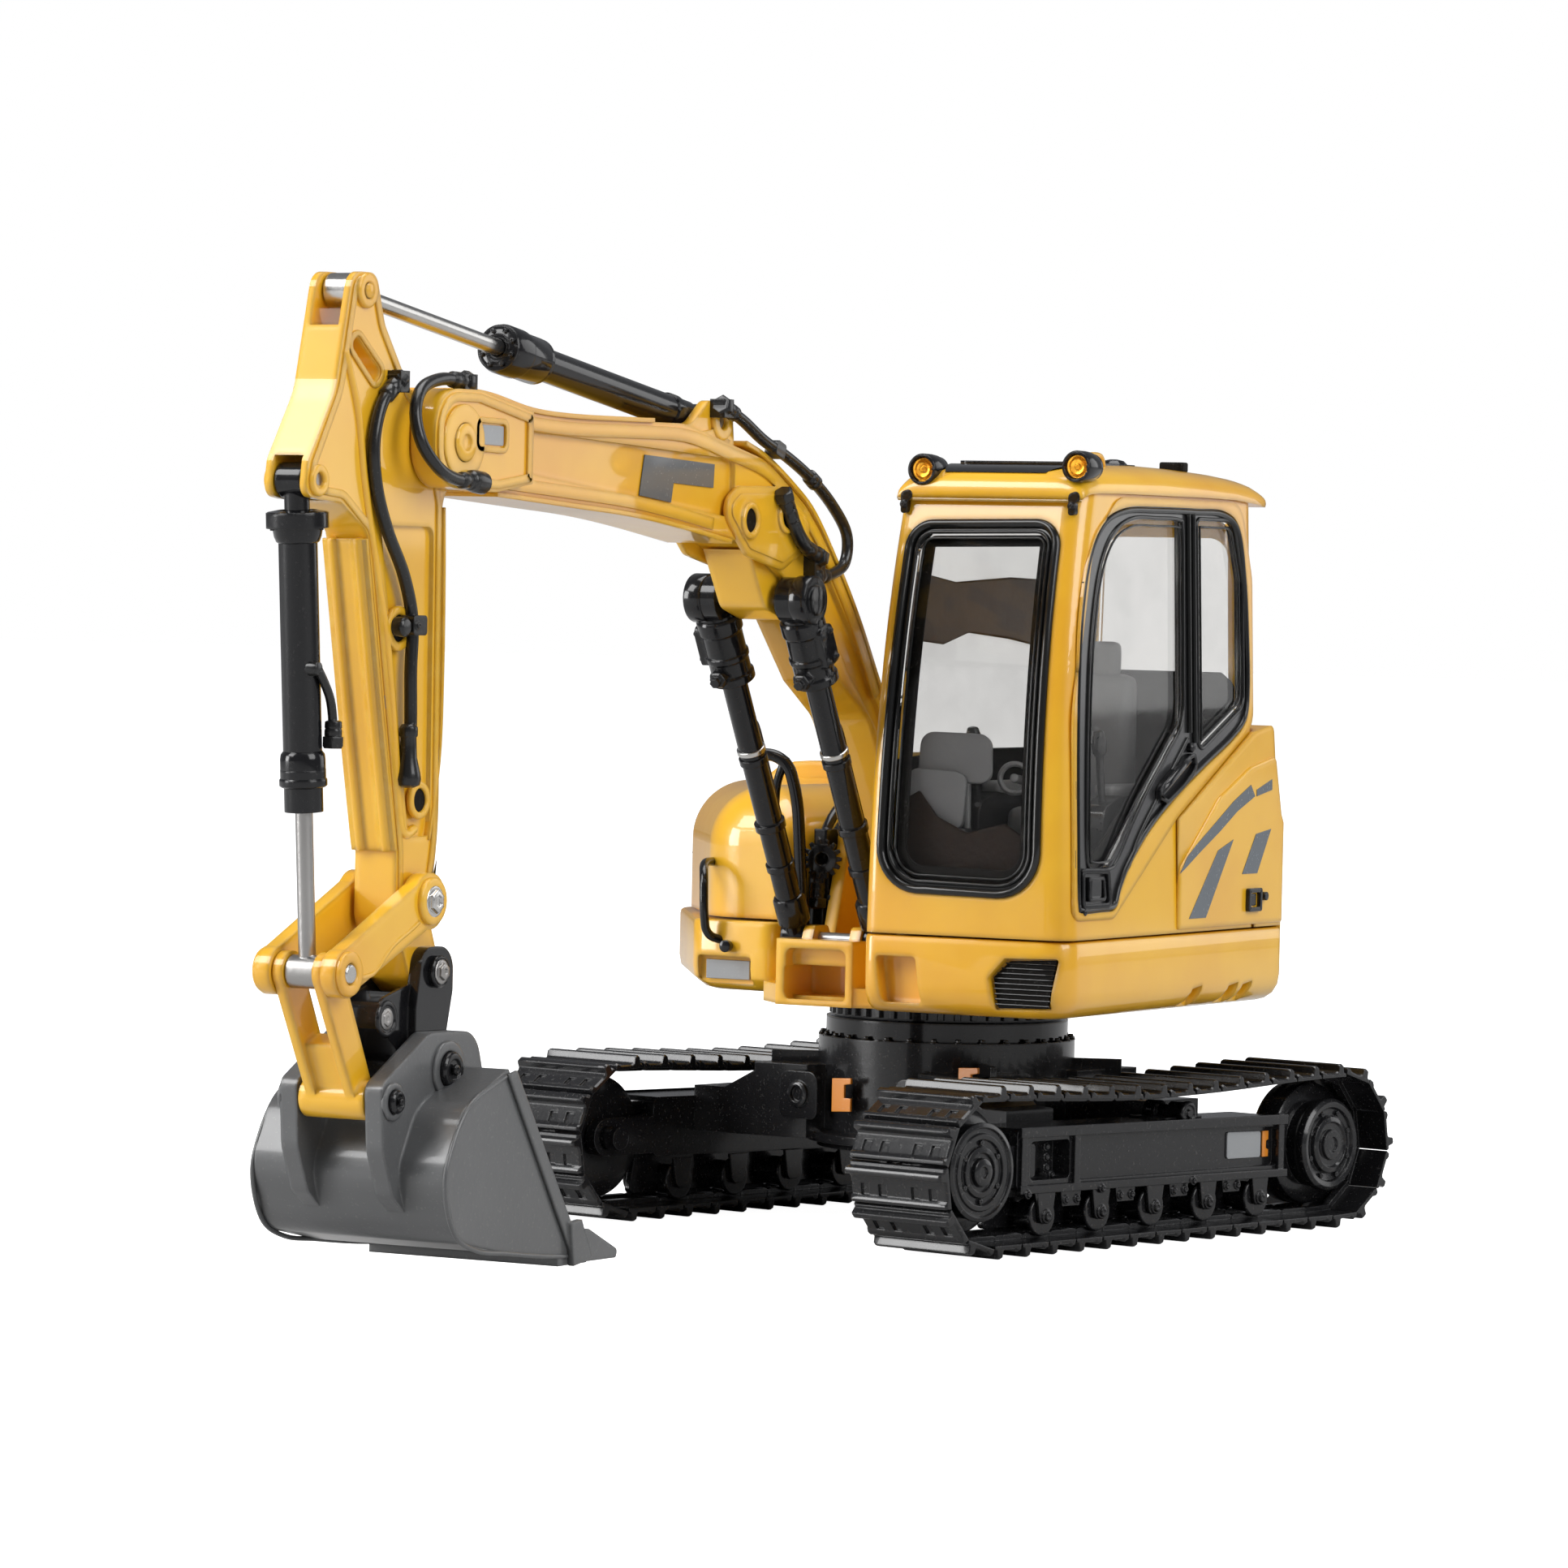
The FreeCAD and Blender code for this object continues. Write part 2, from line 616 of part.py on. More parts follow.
addPocket(frame, "XZ_Plane", "-bracketFront - 0.05", "1.15", [[
    ("boomMiddle - 2.2", "baseLow + 0.4", "0.3"),
    ("boomMiddle - 2.2", "bracketHigh + 0.6", "0.5"),
    ("boomMiddle + 2.4", "bracketHigh + 0.6", "0.5"),
    ("boomMiddle + 2.4", "baseLow + 0.4", "0.3"),
]])
addPocket(frame, "XZ_Plane", "-bracketFront - 0.05", "4.05", [[
    ("boomMiddle - 2.3", "baseLow + 0.6", "0.3"),
    ("boomMiddle - 2.3", "bracketHigh - 0.55", "0.3"),
    ("boomMiddle + 2.3", "bracketHigh - 0.55", "0.3"),
    ("boomMiddle + 2.3", "baseLow + 0.6", "0.3"),
]])
footInner = "(boomWidth / 2 + sideGap)"
for sign in ("-", ""):
    start = "boomMiddle - %s - 0.9" % footInner if sign else "boomMiddle + %s" % footInner
    addPad(frame, "YZ_Plane", start, "0.9", [[
        ("-footAlong - 5", "baseLow + 0.5"),
        ("-footAlong + 7", "baseLow + 0.5"),
        ("-footAlong + 1.9", "footHigh + 0.6", "0.8"),
        ("-footAlong - 1.9", "footHigh + 0.6", "0.8"),
    ]])
    addPad(frame, "YZ_Plane", start, "0.9", [("-footAlong", "footHigh", "2.1")])
    foot = "boomMiddle - liftOffset + 0.95" if sign else "boomMiddle + liftOffset - 0.95 - 0.8"
    addPad(frame, "YZ_Plane", foot, "0.8", [[
        ("-liftFootAlong - 2", "bracketHigh - 0.5"),
        ("-liftFootAlong + 2.4", "bracketHigh - 0.5"),
        ("-liftFootAlong + 0.9", "liftFootHigh + 0.9", "0.4"),
        ("-liftFootAlong - 0.9", "liftFootHigh + 0.9", "0.4"),
    ]])
addPocket(frame, "YZ_Plane", "boomMiddle - 4", "8", [("-footAlong", "footHigh", "pinRadius")])
addPocket(frame, "YZ_Plane", "boomMiddle - 2.4", "4.8", [("-liftFootAlong", "liftFootHigh", "smallPin")])
keep(frame, "main_frame")

skirtLeft = prism("skirt_left_block", "XY_Plane", "baseLow", "baseHigh - baseLow", [[
    ("cabInner", "-frontFace", "0.6"),
    ("houseHalf", "-frontFace", "1.3"),
    ("houseHalf", "sideBack"),
    ("cabInner", "sideBack"),
]])
addPocket(skirtLeft, "XZ_Plane", "-frontFace - 0.05", "1.25", [[
    ("cabInner + 1.6", "baseLow + 0.9", "0.25"),
    ("cabInner + 1.0", "baseHigh - 1.5", "0.25"),
    ("cabInner + 3.9", "baseHigh - 1.5", "0.25"),
    ("cabInner + 4.3", "baseLow + 0.9", "0.25"),
]])
addPocket(skirtLeft, "XZ_Plane", "-frontFace - 0.05", "0.95", [[
    ("15.9", "16.6"),
    ("15.5", "18.6"),
    ("16.7", "19.7"),
    ("20.1", "19.9"),
    ("19.5", "16.7"),
]])
keep(skirtLeft, "skirt_left")
grille = prism("grille", "XZ_Plane", "-frontFace + 0.5", "0.4", [[
    ("15.9", "16.6"),
    ("15.5", "18.6"),
    ("16.7", "19.7"),
    ("20.1", "19.9"),
    ("19.5", "16.7"),
]])
keep(grille, "front_grille")

skirtRight = prism("skirt_right_block", "XY_Plane", "baseLow + 0.3", "baseHigh - baseLow - 0.3", [[
    ("-5.1", "-15.8", "0.8"),
    ("-11.7", "-15.2", "1.5"),
    ("-houseHalf + 0.5", "-2.0", "3"),
    ("-houseHalf + 0.5", "sideBack"),
    ("-5.1", "sideBack"),
]])
addPocket(skirtRight, "XZ_Plane", "-16.5", "1.4", [[
    ("-11.4", "17.0", "0.2"),
    ("-11.4", "19.0", "0.2"),
    ("-7.4", "19.0", "0.2"),
    ("-7.4", "17.0", "0.2"),
]])
keep(skirtRight, "skirt_right")

tail = "sqrt(houseHalf * houseHalf + sideBack * sideBack)"


def tailDisc(name, bottom, high, radius):
    """Rear of the house: the part of a disc round the slewing axis behind the straight sides."""
    disc = upright(name + "_disc", "0", "0", bottom, high, radius)
    keepBack = block(name + "_half", "-30", "sideBack + seamGap", bottom, "60", "30", high)
    result = doc.addObject("Part::Common", name)
    result.Label = name
    result.Base = disc
    result.Tool = keepBack
    return result


weight = tailDisc("counterweight_disc", "baseLow + 0.2", "baseHigh - baseLow + 3.6", tail)
keep(weight, "counterweight")
rearHood = tailDisc("rear_hood_disc", "baseHigh + 3.6 + 0.2 + seamGap",
                    "rearHoodHigh - baseHigh - 3.8 - seamGap", tail + " - 0.3")
keep(rearHood, "engine_hood")

# right hood, rounded at the front and at its outer side
hood = prism("right_hood_block", "XY_Plane", "baseHigh + seamGap", "hoodHigh - baseHigh - seamGap", [[
    ("-4.3", "-14.6", "1.5"),
    ("-11.0", "-14.1", "4.5"),
    ("-houseHalf + 1.2", "-1.8", "5"),
    ("-houseHalf + 1.2", "sideBack"),
    ("-4.3", "sideBack"),
]])


def onHoodRim(edge):
    box = edge.BoundBox
    high = abs(box.ZMin - size["hoodHigh"]) < 1e-4 and abs(box.ZMax - size["hoodHigh"]) < 1e-4
    return high and box.YMin < size["sideBack"] - 0.5


keep(rounded("right_hood_round", hood, "hoodRound", onHoodRim), "right_hood")

# ---------------------------------------------------------------- cab


def cabHull(name, grow, bottom, high):
    """Hull of the cab between two heights, moved in by grow; its front curves back to the roof."""
    body = newBody(name)
    sketches = []
    steps = 4
    for i in range(steps + 1):
        level = "(%s + (%s - %s) * %.3f)" % (bottom, high, bottom, i / steps)
        share = "((%s - baseHigh) / (cabTop - baseHigh))" % level
        front = "-frontFace + %s + cabLean * %s ^ leanPower" % (grow, share)
        inner = "cabInner + %s + 0.5 * %s" % (grow, share)
        outer = "houseHalf - %s - cabTaper * %s" % (grow, share)
        back = "cabBack - %s" % grow
        sketches.append(addSketch(body, "XY_Plane", level, [[
            (inner, front, "innerRound"),
            (outer, front, "cornerRound"),
            (outer, back, "cornerRound"),
            (inner, back, "innerRound"),
        ]]))
    loft = body.newObject("PartDesign::AdditiveLoft", name + "_loft")
    loft.Profile = sketches[0]
    loft.Sections = sketches[1:]
    doc.recompute()
    return body


frontWindow = [
    ("cabInner + 1.0", "24.0", "3"),
    ("cabInner + 1.5", "48.4", "1.8"),
    ("18.6", "48.6", "1.8"),
    ("18.9", "23.8", "3"),
]
doorOutline = [
    ("-22.4", "22.8", "0.5"),
    ("-22.2", "36.0", "12"),
    ("-19.3", "46.8", "4"),
    ("-15.6", "49.9", "2.5"),
    ("3.0", "49.9", "1.6"),
    ("4.5", "45.0", "3"),
    ("4.5", "35.2", "1.4"),
    ("-7.1", "29.4", "8"),
    ("-17.0", "22.8", "0.6"),
]
sideWindow = [
    ("-20.4", "33", "1.5"),
    ("-18.6", "48.2", "1.5"),
    ("2.4", "48.2", "1.5"),
    ("3.2", "33", "1.5"),
]
rearWindow = [
    ("8.2", "33.5", "1.5"),
    ("8.5", "47.8", "1.5"),
    ("18.2", "47.8", "1.5"),
    ("18.6", "33.5", "1.5"),
]
skin = cabHull("cab_skin", "0", "(baseHigh + seamGap)", "(cabTop - 0.05)")
room = cabHull("cab_room", "cabWall", "(baseHigh + seamGap + 0.9)", "(cabTop + 0.5)")
openings = [
    prism("cab_front_hole", "XZ_Plane", "-frontFace - 2", "cabLean + 3.4", [frontWindow]),
    prism("cab_door_hole", "YZ_Plane", "houseHalf - 3", "4", [doorOutline]),
    prism("cab_side_hole", "YZ_Plane", "cabInner - 1", "3.2", [sideWindow]),
    prism("cab_rear_hole", "XZ_Plane", "cabBack - 2", "3", [rearWindow]),
]
keep(cut("cab_shell_cut", skin, room, *openings), "cab_shell")


def shellSlice(name, role, start, length, outline, inset, grow):
    """The stretch of the cab's wall, moved in by grow, that lies inside an outline."""
    plate = doc.addObject("Part::Common", name)
    plate.Label = name
    outer = cabHull(name + "_out", grow, "(baseHigh + 0.6)", "(cabTop - 0.3)")
    inner = cabHull(name + "_in", inset, "(baseHigh + 0.3)", "(cabTop)")
    plate.Base = cut(name + "_wall", outer, inner)
    plate.Tool = prism(name + "_outline", role, start, length, [outline])
    return plate


def shrunk(outline, gap):
    """The outline moved in towards its middle by about gap on every side."""
    points = [Vector(number(corner[0]), number(corner[1]), 0) for corner in outline]
    middle = sum(points, Vector()) * (1 / len(points))
    result = []
    for corner, point in zip(outline, points):
        shift = [gap if value < centre else "-(%s)" % gap
                 for value, centre in ((point.x, middle.x), (point.y, middle.y))]
        result.append(("%s + %s" % (corner[0], shift[0]), "%s + %s" % (corner[1], shift[1])) + corner[2:])
    return result


openWindow = shrunk(frontWindow, "sealWide")
doorLow = [
    ("-20.3", "25.8", "0.7"),
    ("-19.7", "37.0", "8"),
    ("-17.6", "46.6", "3"),
    ("-14.0", "48.9", "1.5"),
    ("-5.8", "48.9", "0.4"),
    ("-5.9", "35.0", "1"),
    ("-12.2", "30.0", "4"),
    ("-17.2", "25.8", "1"),
]
doorRear = [
    ("-3.4", "48.9", "0.4"),
    ("2.2", "48.9", "1.4"),
    ("3.5", "45.0", "2"),
    ("3.5", "36.4", "1"),
    ("-3.4", "33.4", "0.5"),
]
seal = shellSlice("front_seal_slice", "XZ_Plane", "-frontFace - 2", "cabLean + 3.4",
                  shrunk(frontWindow, "0.03"), "cabWall", "0.12")
hole = prism("front_seal_hole", "XZ_Plane", "-frontFace - 2", "cabLean + 3.4", [openWindow])
keep(cut("front_seal_cut", seal, hole), "front_window_seal")
panes = [shellSlice("front_glass_slice", "XZ_Plane", "-frontFace - 2", "cabLean + 3.4",
                    shrunk(openWindow, "0.02"), "(0.3 + glassThick)", "0.3")]
door = shellSlice("door_slice", "YZ_Plane", "houseHalf - 3", "4",
                  shrunk(doorOutline, "0.05"), "cabWall", "0.1")
doorHoles = [prism("door_hole_%d" % i, "YZ_Plane", "houseHalf - 3", "4", [outline])
             for i, outline in enumerate((doorLow, doorRear))]
keep(cut("door_cut", door, *doorHoles), "door")
for name, role, start, length, outline in (
    ("door_glass", "YZ_Plane", "houseHalf - 3", "4", doorLow),
    ("door_rear_glass", "YZ_Plane", "houseHalf - 3", "4", doorRear),
    ("side_glass", "YZ_Plane", "cabInner - 1", "3.2", sideWindow),
    ("rear_glass", "XZ_Plane", "cabBack - 2", "3", rearWindow),
):
    panes.append(shellSlice(name, role, start, length, shrunk(outline, "0.02"), "(0.3 + glassThick)", "0.3"))
keep(together("windows_all", *panes), "windows")

# roof with a rounded rim, hatch and fittings
roofFront = "(-frontFace + cabLean)"
roofBlock = prism("roof_block", "YZ_Plane", "cabInner", "houseHalf - cabInner", [[
    (roofFront + " - 1.1", "cabTop - 1.1"),
    (roofFront + " - 0.9", "cabTop + 0.5", "0.35"),
    ("-14.2", "roofHigh - 0.3", "5"),
    ("-6.8", "roofHigh + 0.1", "9"),
    ("cabBack - 0.2", "roofHigh - 0.7", "1.5"),
    ("cabBack + 1.1", "cabTop + 0.5", "0.4"),
    ("cabBack + 1.1", "cabTop + 0.02"),
    (roofFront + " - 0.35", "cabTop + 0.02"),
    (roofFront + " - 0.45", "cabTop - 1.1"),
]])
roofArch = prism("roof_arch", "XZ_Plane", "-frontFace", "cabBack + frontFace + 3", [[
    ("cabInner + 0.35", "cabTop - 2"),
    ("cabInner + 0.45", "cabTop + 1.4", "0.9"),
    ("cabInner + 3.4", "roofHigh + 0.05", "2.5"),
    ("houseHalf - 4.6", "roofHigh + 0.05", "2.5"),
    ("houseHalf - 0.9", "cabTop + 1.2", "0.9"),
    ("houseHalf - 0.8", "cabTop - 2"),
]])
roof = doc.addObject("Part::Common", "roof_shape")
roof.Base = roofBlock
roof.Tool = roofArch
keep(roof, "cab_roof")

# seat and console
seat = block("seat_pan", "10", "-11", "27.5", "6.4", "6.2", "2")
back = block("seat_back", "10.4", "-5.4", "28.6", "5.6", "1.5", "9.8")
head = block("seat_head", "11.4", "-5.2", "38.2", "3.6", "1.1", "2.6")
pedestal = block("seat_stand", "10.8", "-10", "baseHigh + seamGap + 0.9", "4.8", "5",
                 "26.7 - baseHigh - seamGap")
keep(fuse("seat_all", seat, back, head, pedestal), "seat")
consoles = [block("console_1", "8.0", "-13", "baseHigh + seamGap + 0.9", "1.7", "7.5", "8.9 - seamGap"),
            block("console_2", "16.8", "-13", "baseHigh + seamGap + 0.9", "1.5", "7.5", "8.9 - seamGap")]
sticks = [bar("stick_1", (("8.85", "-12.2", "baseHigh + 9.5"), ("8.9", "-12.8", "baseHigh + 12.4")), "0.32"),
          bar("stick_2", (("17.5", "-12.2", "baseHigh + 9.5"), ("17.5", "-12.8", "baseHigh + 12.4")),
              "0.32")]
keep(together("controls_all", fuse("control_a", consoles[0], sticks[0]),
              fuse("control_b", consoles[1], sticks[1])), "controls")

# side cover behind the door
cover = prism("side_cover_block", "YZ_Plane", "houseHalf - 1.6", "1.6", [[
    ("-7.3", "baseHigh + seamGap"),
    ("-7.3", "28.8"),
    ("4.4", "coverHigh - 0.5", "1.2"),
    ("7.4", "coverHigh", "0.6"),
    ("8.4", "28.8"),
    ("sideBack", "28.4"),
    ("sideBack", "baseHigh + seamGap"),
]])
hullBlock = cabHull("side_cover_room", "-0.12", "(baseHigh)", "(cabTop)")
keep(cut("side_cover_cut", cover, hullBlock), "side_cover")

# work lamps on the roof, rail by the hood, frame that stands before the hood
lampPlaces = (("8.2", "cabTop + 1.3"), ("19.6", "cabTop + 1.6"))
lamps = []
lenses = []
for i, (across, up) in enumerate(lampPlaces):
    lampFoot = upright("lamp_foot_%d" % i, across, "-19.4", "cabTop + 0.2", "1.1", "0.45")
    case = bar("lamp_shell_%d" % i, ((across, "-20.6", up), (across, "-18.8", up)), "lampRadius")
    lamps.append(fuse("lamp_%d" % i, lampFoot, case))
    lenses.append(bar("lens_%d" % i, ((across, "-20.85", up), (across, "-20.6", up)), "lampRadius - 0.12"))
keep(cut("lamps_seated", together("lamps_all", *lamps), roof), "work_lamps")
keep(together("lenses_all", *lenses), "lamp_lenses")


rail = hose("hood_rail_tube", [
    ("-11.6", "-12.6", "24.9"),
    ("-11.2", "-15.0", "24.9"),
    ("-10.4", "-16.3", "23.9"),
    ("-10.3", "-16.4", "21.6"),
    ("-10.2", "-16.2", "20.0"),
    ("-9.4", "-15.0", "19.6"),
], "0.3")
keep(cut("hood_rail_cut", rail, hood, skirtRight), "hood_rail")
keep(hose("guard_frame_tube", [
    ("-7.6", "-16.4", "32.4"),
    ("-4.6", "-15.6", "32.5"),
    ("-3.95", "-15.0", "29.5"),
    ("-3.95", "-14.2", "23.0"),
    ("-3.95", "-14.0", "20.0"),
    ("-3.95", "-14.0", "baseLow + 1.3"),
], "0.42"), "guard_frame")
keep(block("pump_block", "-4.15", "-12.5", "baseLow + 1.3", "1.35", "9.5", "9.2"), "hydraulic_block")

# cover between the cab, the boom foot and the engine hood
centre = prism("centre_cover_block", "XY_Plane", "baseLow + 1.3", "rearHoodHigh - baseLow - 1.9", [[
    ("-4.15", "-2.3"),
    ("cabInner - 0.15", "-2.3"),
    ("cabInner - 0.15", "sideBack - seamGap"),
    ("-4.15", "sideBack - seamGap"),
]])
addPad(centre, "XY_Plane", "baseHigh + seamGap", "rearHoodHigh - baseHigh - seamGap - 0.6", [[
    ("4", "cabBack + 0.15"),
    ("houseHalf - 1.75", "cabBack + 0.15"),
    ("houseHalf - 1.75", "sideBack - seamGap"),
    ("4", "sideBack - seamGap"),
]])
keep(centre, "centre_cover")

# ---------------------------------------------------------------- boom
boomLeft = "boomMiddle - boomWidth / 2"
boom = prism("boom_web", "YZ_Plane", boomLeft, "boomWidth", [[
    ("-elbowAlong + 4.6", "elbowHigh - 2.85"),
    ("-elbowAlong + 4.6", "elbowHigh + 2.9"),
    ("-57.5", "54.0", "8"),
    ("-43.0", "54.1", "8"),
    ("-32.2", "52.0", "6"),
    ("-26.6", "49.0", "5"),
    ("-19.5", "41.6", "12"),
    ("-footAlong + 1.6", "footHigh + 1.2", "0.8"),
    ("-footAlong - 1.8", "footHigh - 0.9", "0.8"),
    ("-17.6", "35.2", "3"),
    ("-21.6", "37.6", "0.8"),
    ("-26.4", "42.6", "3"),
    ("-33.5", "46.5", "5"),
    ("-50.0", "48.4", "20"),
]])
addPad(boom, "YZ_Plane", boomLeft, "boomWidth", [("-footAlong", "footHigh", "2.1")])
for side in ("-", ""):
    inner = "armWidth / 2 + sideGap"
    thick = "forkWidth / 2 - armWidth / 2 - sideGap"
    start = "boomMiddle + %s" % inner if not side else "boomMiddle - forkWidth / 2"
    addPad(boom, "YZ_Plane", start, thick, [[
        ("-elbowAlong - 3.1", "elbowHigh - 2.7", "2.5"),
        ("-elbowAlong - 3.1", "elbowHigh + 3.2", "2.6"),
        ("-elbowAlong + 2.0", "elbowHigh + 3.2", "1.5"),
        ("-elbowAlong + 8.2", "elbowHigh + 2.1"),
        ("-elbowAlong + 8.2", "elbowHigh - 2.3"),
        ("-elbowAlong + 4.0", "elbowHigh - 2.9", "1"),
    ]])
# fork bridge behind the arm's end
addPad(boom, "YZ_Plane", "boomMiddle - forkWidth / 2", "forkWidth", [[
    ("-elbowAlong + 4.6", "elbowHigh - 2.8"),
    ("-elbowAlong + 4.6", "elbowHigh + 2.6"),
    ("-elbowAlong + 8.2", "elbowHigh + 2.1"),
    ("-elbowAlong + 8.2", "elbowHigh - 2.3"),
]])
# sunk side panels
for start in ("boomMiddle - boomWidth / 2 - 0.05", "boomMiddle + boomWidth / 2 - 0.35"):
    addPocket(boom, "YZ_Plane", start, "0.4", [[
        ("-62.6", "50.5", "0.4"),
        ("-62.6", "53.1", "0.4"),
        ("-36.5", "52.0", "0.5"),
        ("-36.5", "48.2", "0.5"),
    ]])
    addPocket(boom, "YZ_Plane", start, "0.4", [[
        ("-25.2", "46.2", "0.4"),
        ("-19.2", "39.8", "2"),
        ("-12.2", "30.3", "0.3"),
        ("-15.6", "33.6", "2"),
        ("-20.8", "38.4", "1"),
        ("-26.4", "44.4", "0.4"),
    ]])
# ears on top for the arm cylinder, cut free between them
addPad(boom, "YZ_Plane", "boomMiddle - 1.9", "3.8", [[
    ("-46.5", "53.3"),
    ("-41.5", "54.2", "2"),
    ("-reachAlong - 1.5", "reachHigh + 1.3", "1.2"),
    ("-reachAlong + 1.5", "reachHigh + 1.3", "1.4"),
    ("-reachAlong + 1.9", "52.4"),
    ("-44.0", "52.4"),
]])
addPocket(boom, "YZ_Plane", "boomMiddle - reachBarrel - sideGap", "2 * reachBarrel + 2 * sideGap", [[
    ("-56", "57"),
    ("-56", "53.9"),
    ("-44", "52.5", "1"),
    ("-reachAlong + 1.45", "reachHigh - 1.45", "1"),
    ("-reachAlong + 1.45", "57"),
]])
# ears and boss of the boom cylinders
addPad(boom, "YZ_Plane", "boomMiddle - liftOffset + liftSleeve + sideGap",
       "2 * (liftOffset - liftSleeve - sideGap)", [[
    ("-33.6", "46.2"),
    ("-liftAlong - 1.6", "liftHigh - 0.6", "1.2"),
    ("-liftAlong + 1.2", "liftHigh - 1.4", "1.2"),
    ("-25.6", "42.6"),
]])
for along, up, radius in (("-elbowAlong", "elbowHigh", "pinRadius"), ("-liftAlong", "liftHigh", "smallPin"),
                          ("-reachAlong", "reachHigh", "smallPin"),
                          ("-footAlong", "footHigh", "pinRadius + pinPlay")):
    addPocket(boom, "YZ_Plane", "boomMiddle - 4", "8", [(along, up, radius)])
keep(boom, "boom")

footPin = crossBar("foot_pin", "boomMiddle - boomWidth / 2 - sideGap - 0.9", "boomWidth + 2 * sideGap + 1.8",
                   "-footAlong", "footHigh", "pinRadius")
liftFootPin = crossBar("lift_foot_pin", "boomMiddle - liftOffset - 0.95", "2 * liftOffset + 1.9",
                       "-liftFootAlong", "liftFootHigh", "smallPin")
keep(together("pins_of_house", footPin, liftFootPin), "house_pins")
elbowPin = crossBar("elbow_pin", "boomMiddle - forkWidth / 2", "forkWidth",
                    "-elbowAlong", "elbowHigh", "pinRadius")
reachPin = crossBar("reach_foot_pin", "boomMiddle - 1.9", "3.8", "-reachAlong", "reachHigh", "smallPin")
liftPin = crossBar("lift_pin", "boomMiddle - boomWidth / 2", "boomWidth",
                   "-liftAlong", "liftHigh", "smallPin")
keep(together("pins_of_boom", elbowPin, reachPin, liftPin), "boom_pins")

# hoses on the side of the boom and round its nose, with the blocks that hold their ends
side = "boomMiddle + boomWidth / 2"
beside = side + " + hoseRadius + 0.06"
topHose = hose("hose_top", [
    (beside, "-38.8", "55.3"),
    (beside, "-36.4", "54.5"),
    (beside, "-33.6", "53.3"),
    (beside, "-30.4", "52.3"),
    (beside, "-27.2", "51.0"),
    (beside, "-24.2", "49.3"),
    (beside, "-22.1", "47.4"),
    (beside, "-22.3", "45.5"),
    (beside, "-24.3", "44.7"),
    (beside, "-26.3", "44.6"),
], "hoseRadius")
sideHose = hose("hose_side", [
    (beside, "-31.2", "49.6"),
    (beside, "-30.0", "48.0"),
    (beside, "-28.6", "46.7"),
    (beside, "-26.6", "45.9"),
], "hoseRadius")
forkSide = "boomMiddle + forkWidth / 2"
besideFork = forkSide + " + hoseRadius + 0.06"
noseHose = hose("hose_nose", [
    ("2.95", "-70.0", "55.8"),
    ("2.95", "-72.6", "55.85"),
    ("3.1", "-75.0", "55.2"),
    ("3.5", "-76.3", "53.7"),
    ("4.0", "-76.3", "51.9"),
    (besideFork, "-75.0", "50.5"),
    (besideFork, "-73.1", "49.9"),
    (besideFork, "-71.0", "49.8"),
], "hoseRadius")
holders = [
    block("hose_lug", "boomMiddle + 1.9", "-39.4", "54.6", "1.1", "1.2", "1.2"),
    block("hose_strap", side, "-27.1", "44.3", "0.9", "1.4", "2.1"),
    crossBar("hose_outlet", side + " - 0.35", "1.25", "-31.2", "49.6", "0.62"),
    block("hose_seat", "2.45", "-70.6", "elbowHigh + 3.2", "1.0", "1.4", "1.0"),
    block("hose_stop", forkSide, "-71.6", "elbowHigh - 2.85", "0.95", "1.7", "1.1"),
]
boomHoses = [
    fuse("hoses_on_side", topHose, sideHose, *holders[:3]),
    fuse("hose_on_nose", noseHose, *holders[3:]),
]
keep(cut("hoses_of_boom", together("boom_hoses_all", *boomHoses), boom), "boom_hoses")

# ---------------------------------------------------------------- arm
armLeft = "boomMiddle - armWidth / 2"
arm = prism("arm_web", "YZ_Plane", armLeft, "armWidth", [[
    ("-hornAlong - 1.4", "hornHigh + 1.1", "1.2"),
    ("-hornAlong + 1.2", "hornHigh + 1.1", "1.0"),
    ("-77.6", "58.9", "2"),
    ("-74.7", "55.1", "1.5"),
    ("-elbowAlong + 2.3", "elbowHigh + 1.6", "1.8"),
    ("-elbowAlong + 2.3", "elbowHigh - 1.6", "1.8"),
    ("-70.8", "48.6", "2"),
    ("-70.5", "27.4", "20"),
    ("-rockAlong + 1.8", "rockHigh - 0.6", "3"),
    ("-tipAlong + 1.7", "tipHigh", "1.2"),
    ("-tipAlong + 0.2", "tipHigh - 1.7", "0.9"),
    ("-tipAlong - 1.7", "tipHigh - 0.4", "0.9"),
    ("-rockAlong - 1.8", "rockHigh - 1.0", "1.2"),
    ("-75.2", "27.5", "3"),
    ("-79.0", "46.6", "1.5"),
    ("-82.0", "48.3", "1"),
    ("-curlAlong + 0.2", "curlHigh - 1.1"),
    ("-curlAlong - 1.3", "curlHigh - 0.9", "0.8"),
    ("-curlAlong - 1.0", "curlHigh + 1.2", "0.8"),
    ("-82.9", "54.8", "4"),
]])
for start in ("boomMiddle - armWidth / 2 - 0.05", "boomMiddle + armWidth / 2 - 0.3"):
    addPocket(arm, "YZ_Plane", start, "0.35", [[
        ("-73.9", "28.4", "0.4"),
        ("-77.6", "47.0", "0.6"),
        ("-71.7", "47.0", "0.6"),
        ("-71.5", "28.4", "0.4"),
    ]])
addPocket(arm, "YZ_Plane", "boomMiddle - 4", "8", [[
    ("-81.4", "57.6", "0.35"),
    ("-80.6", "58.1", "0.35"),
    ("-77.9", "56.1", "0.35"),
    ("-78.6", "55.4", "0.35"),
]])
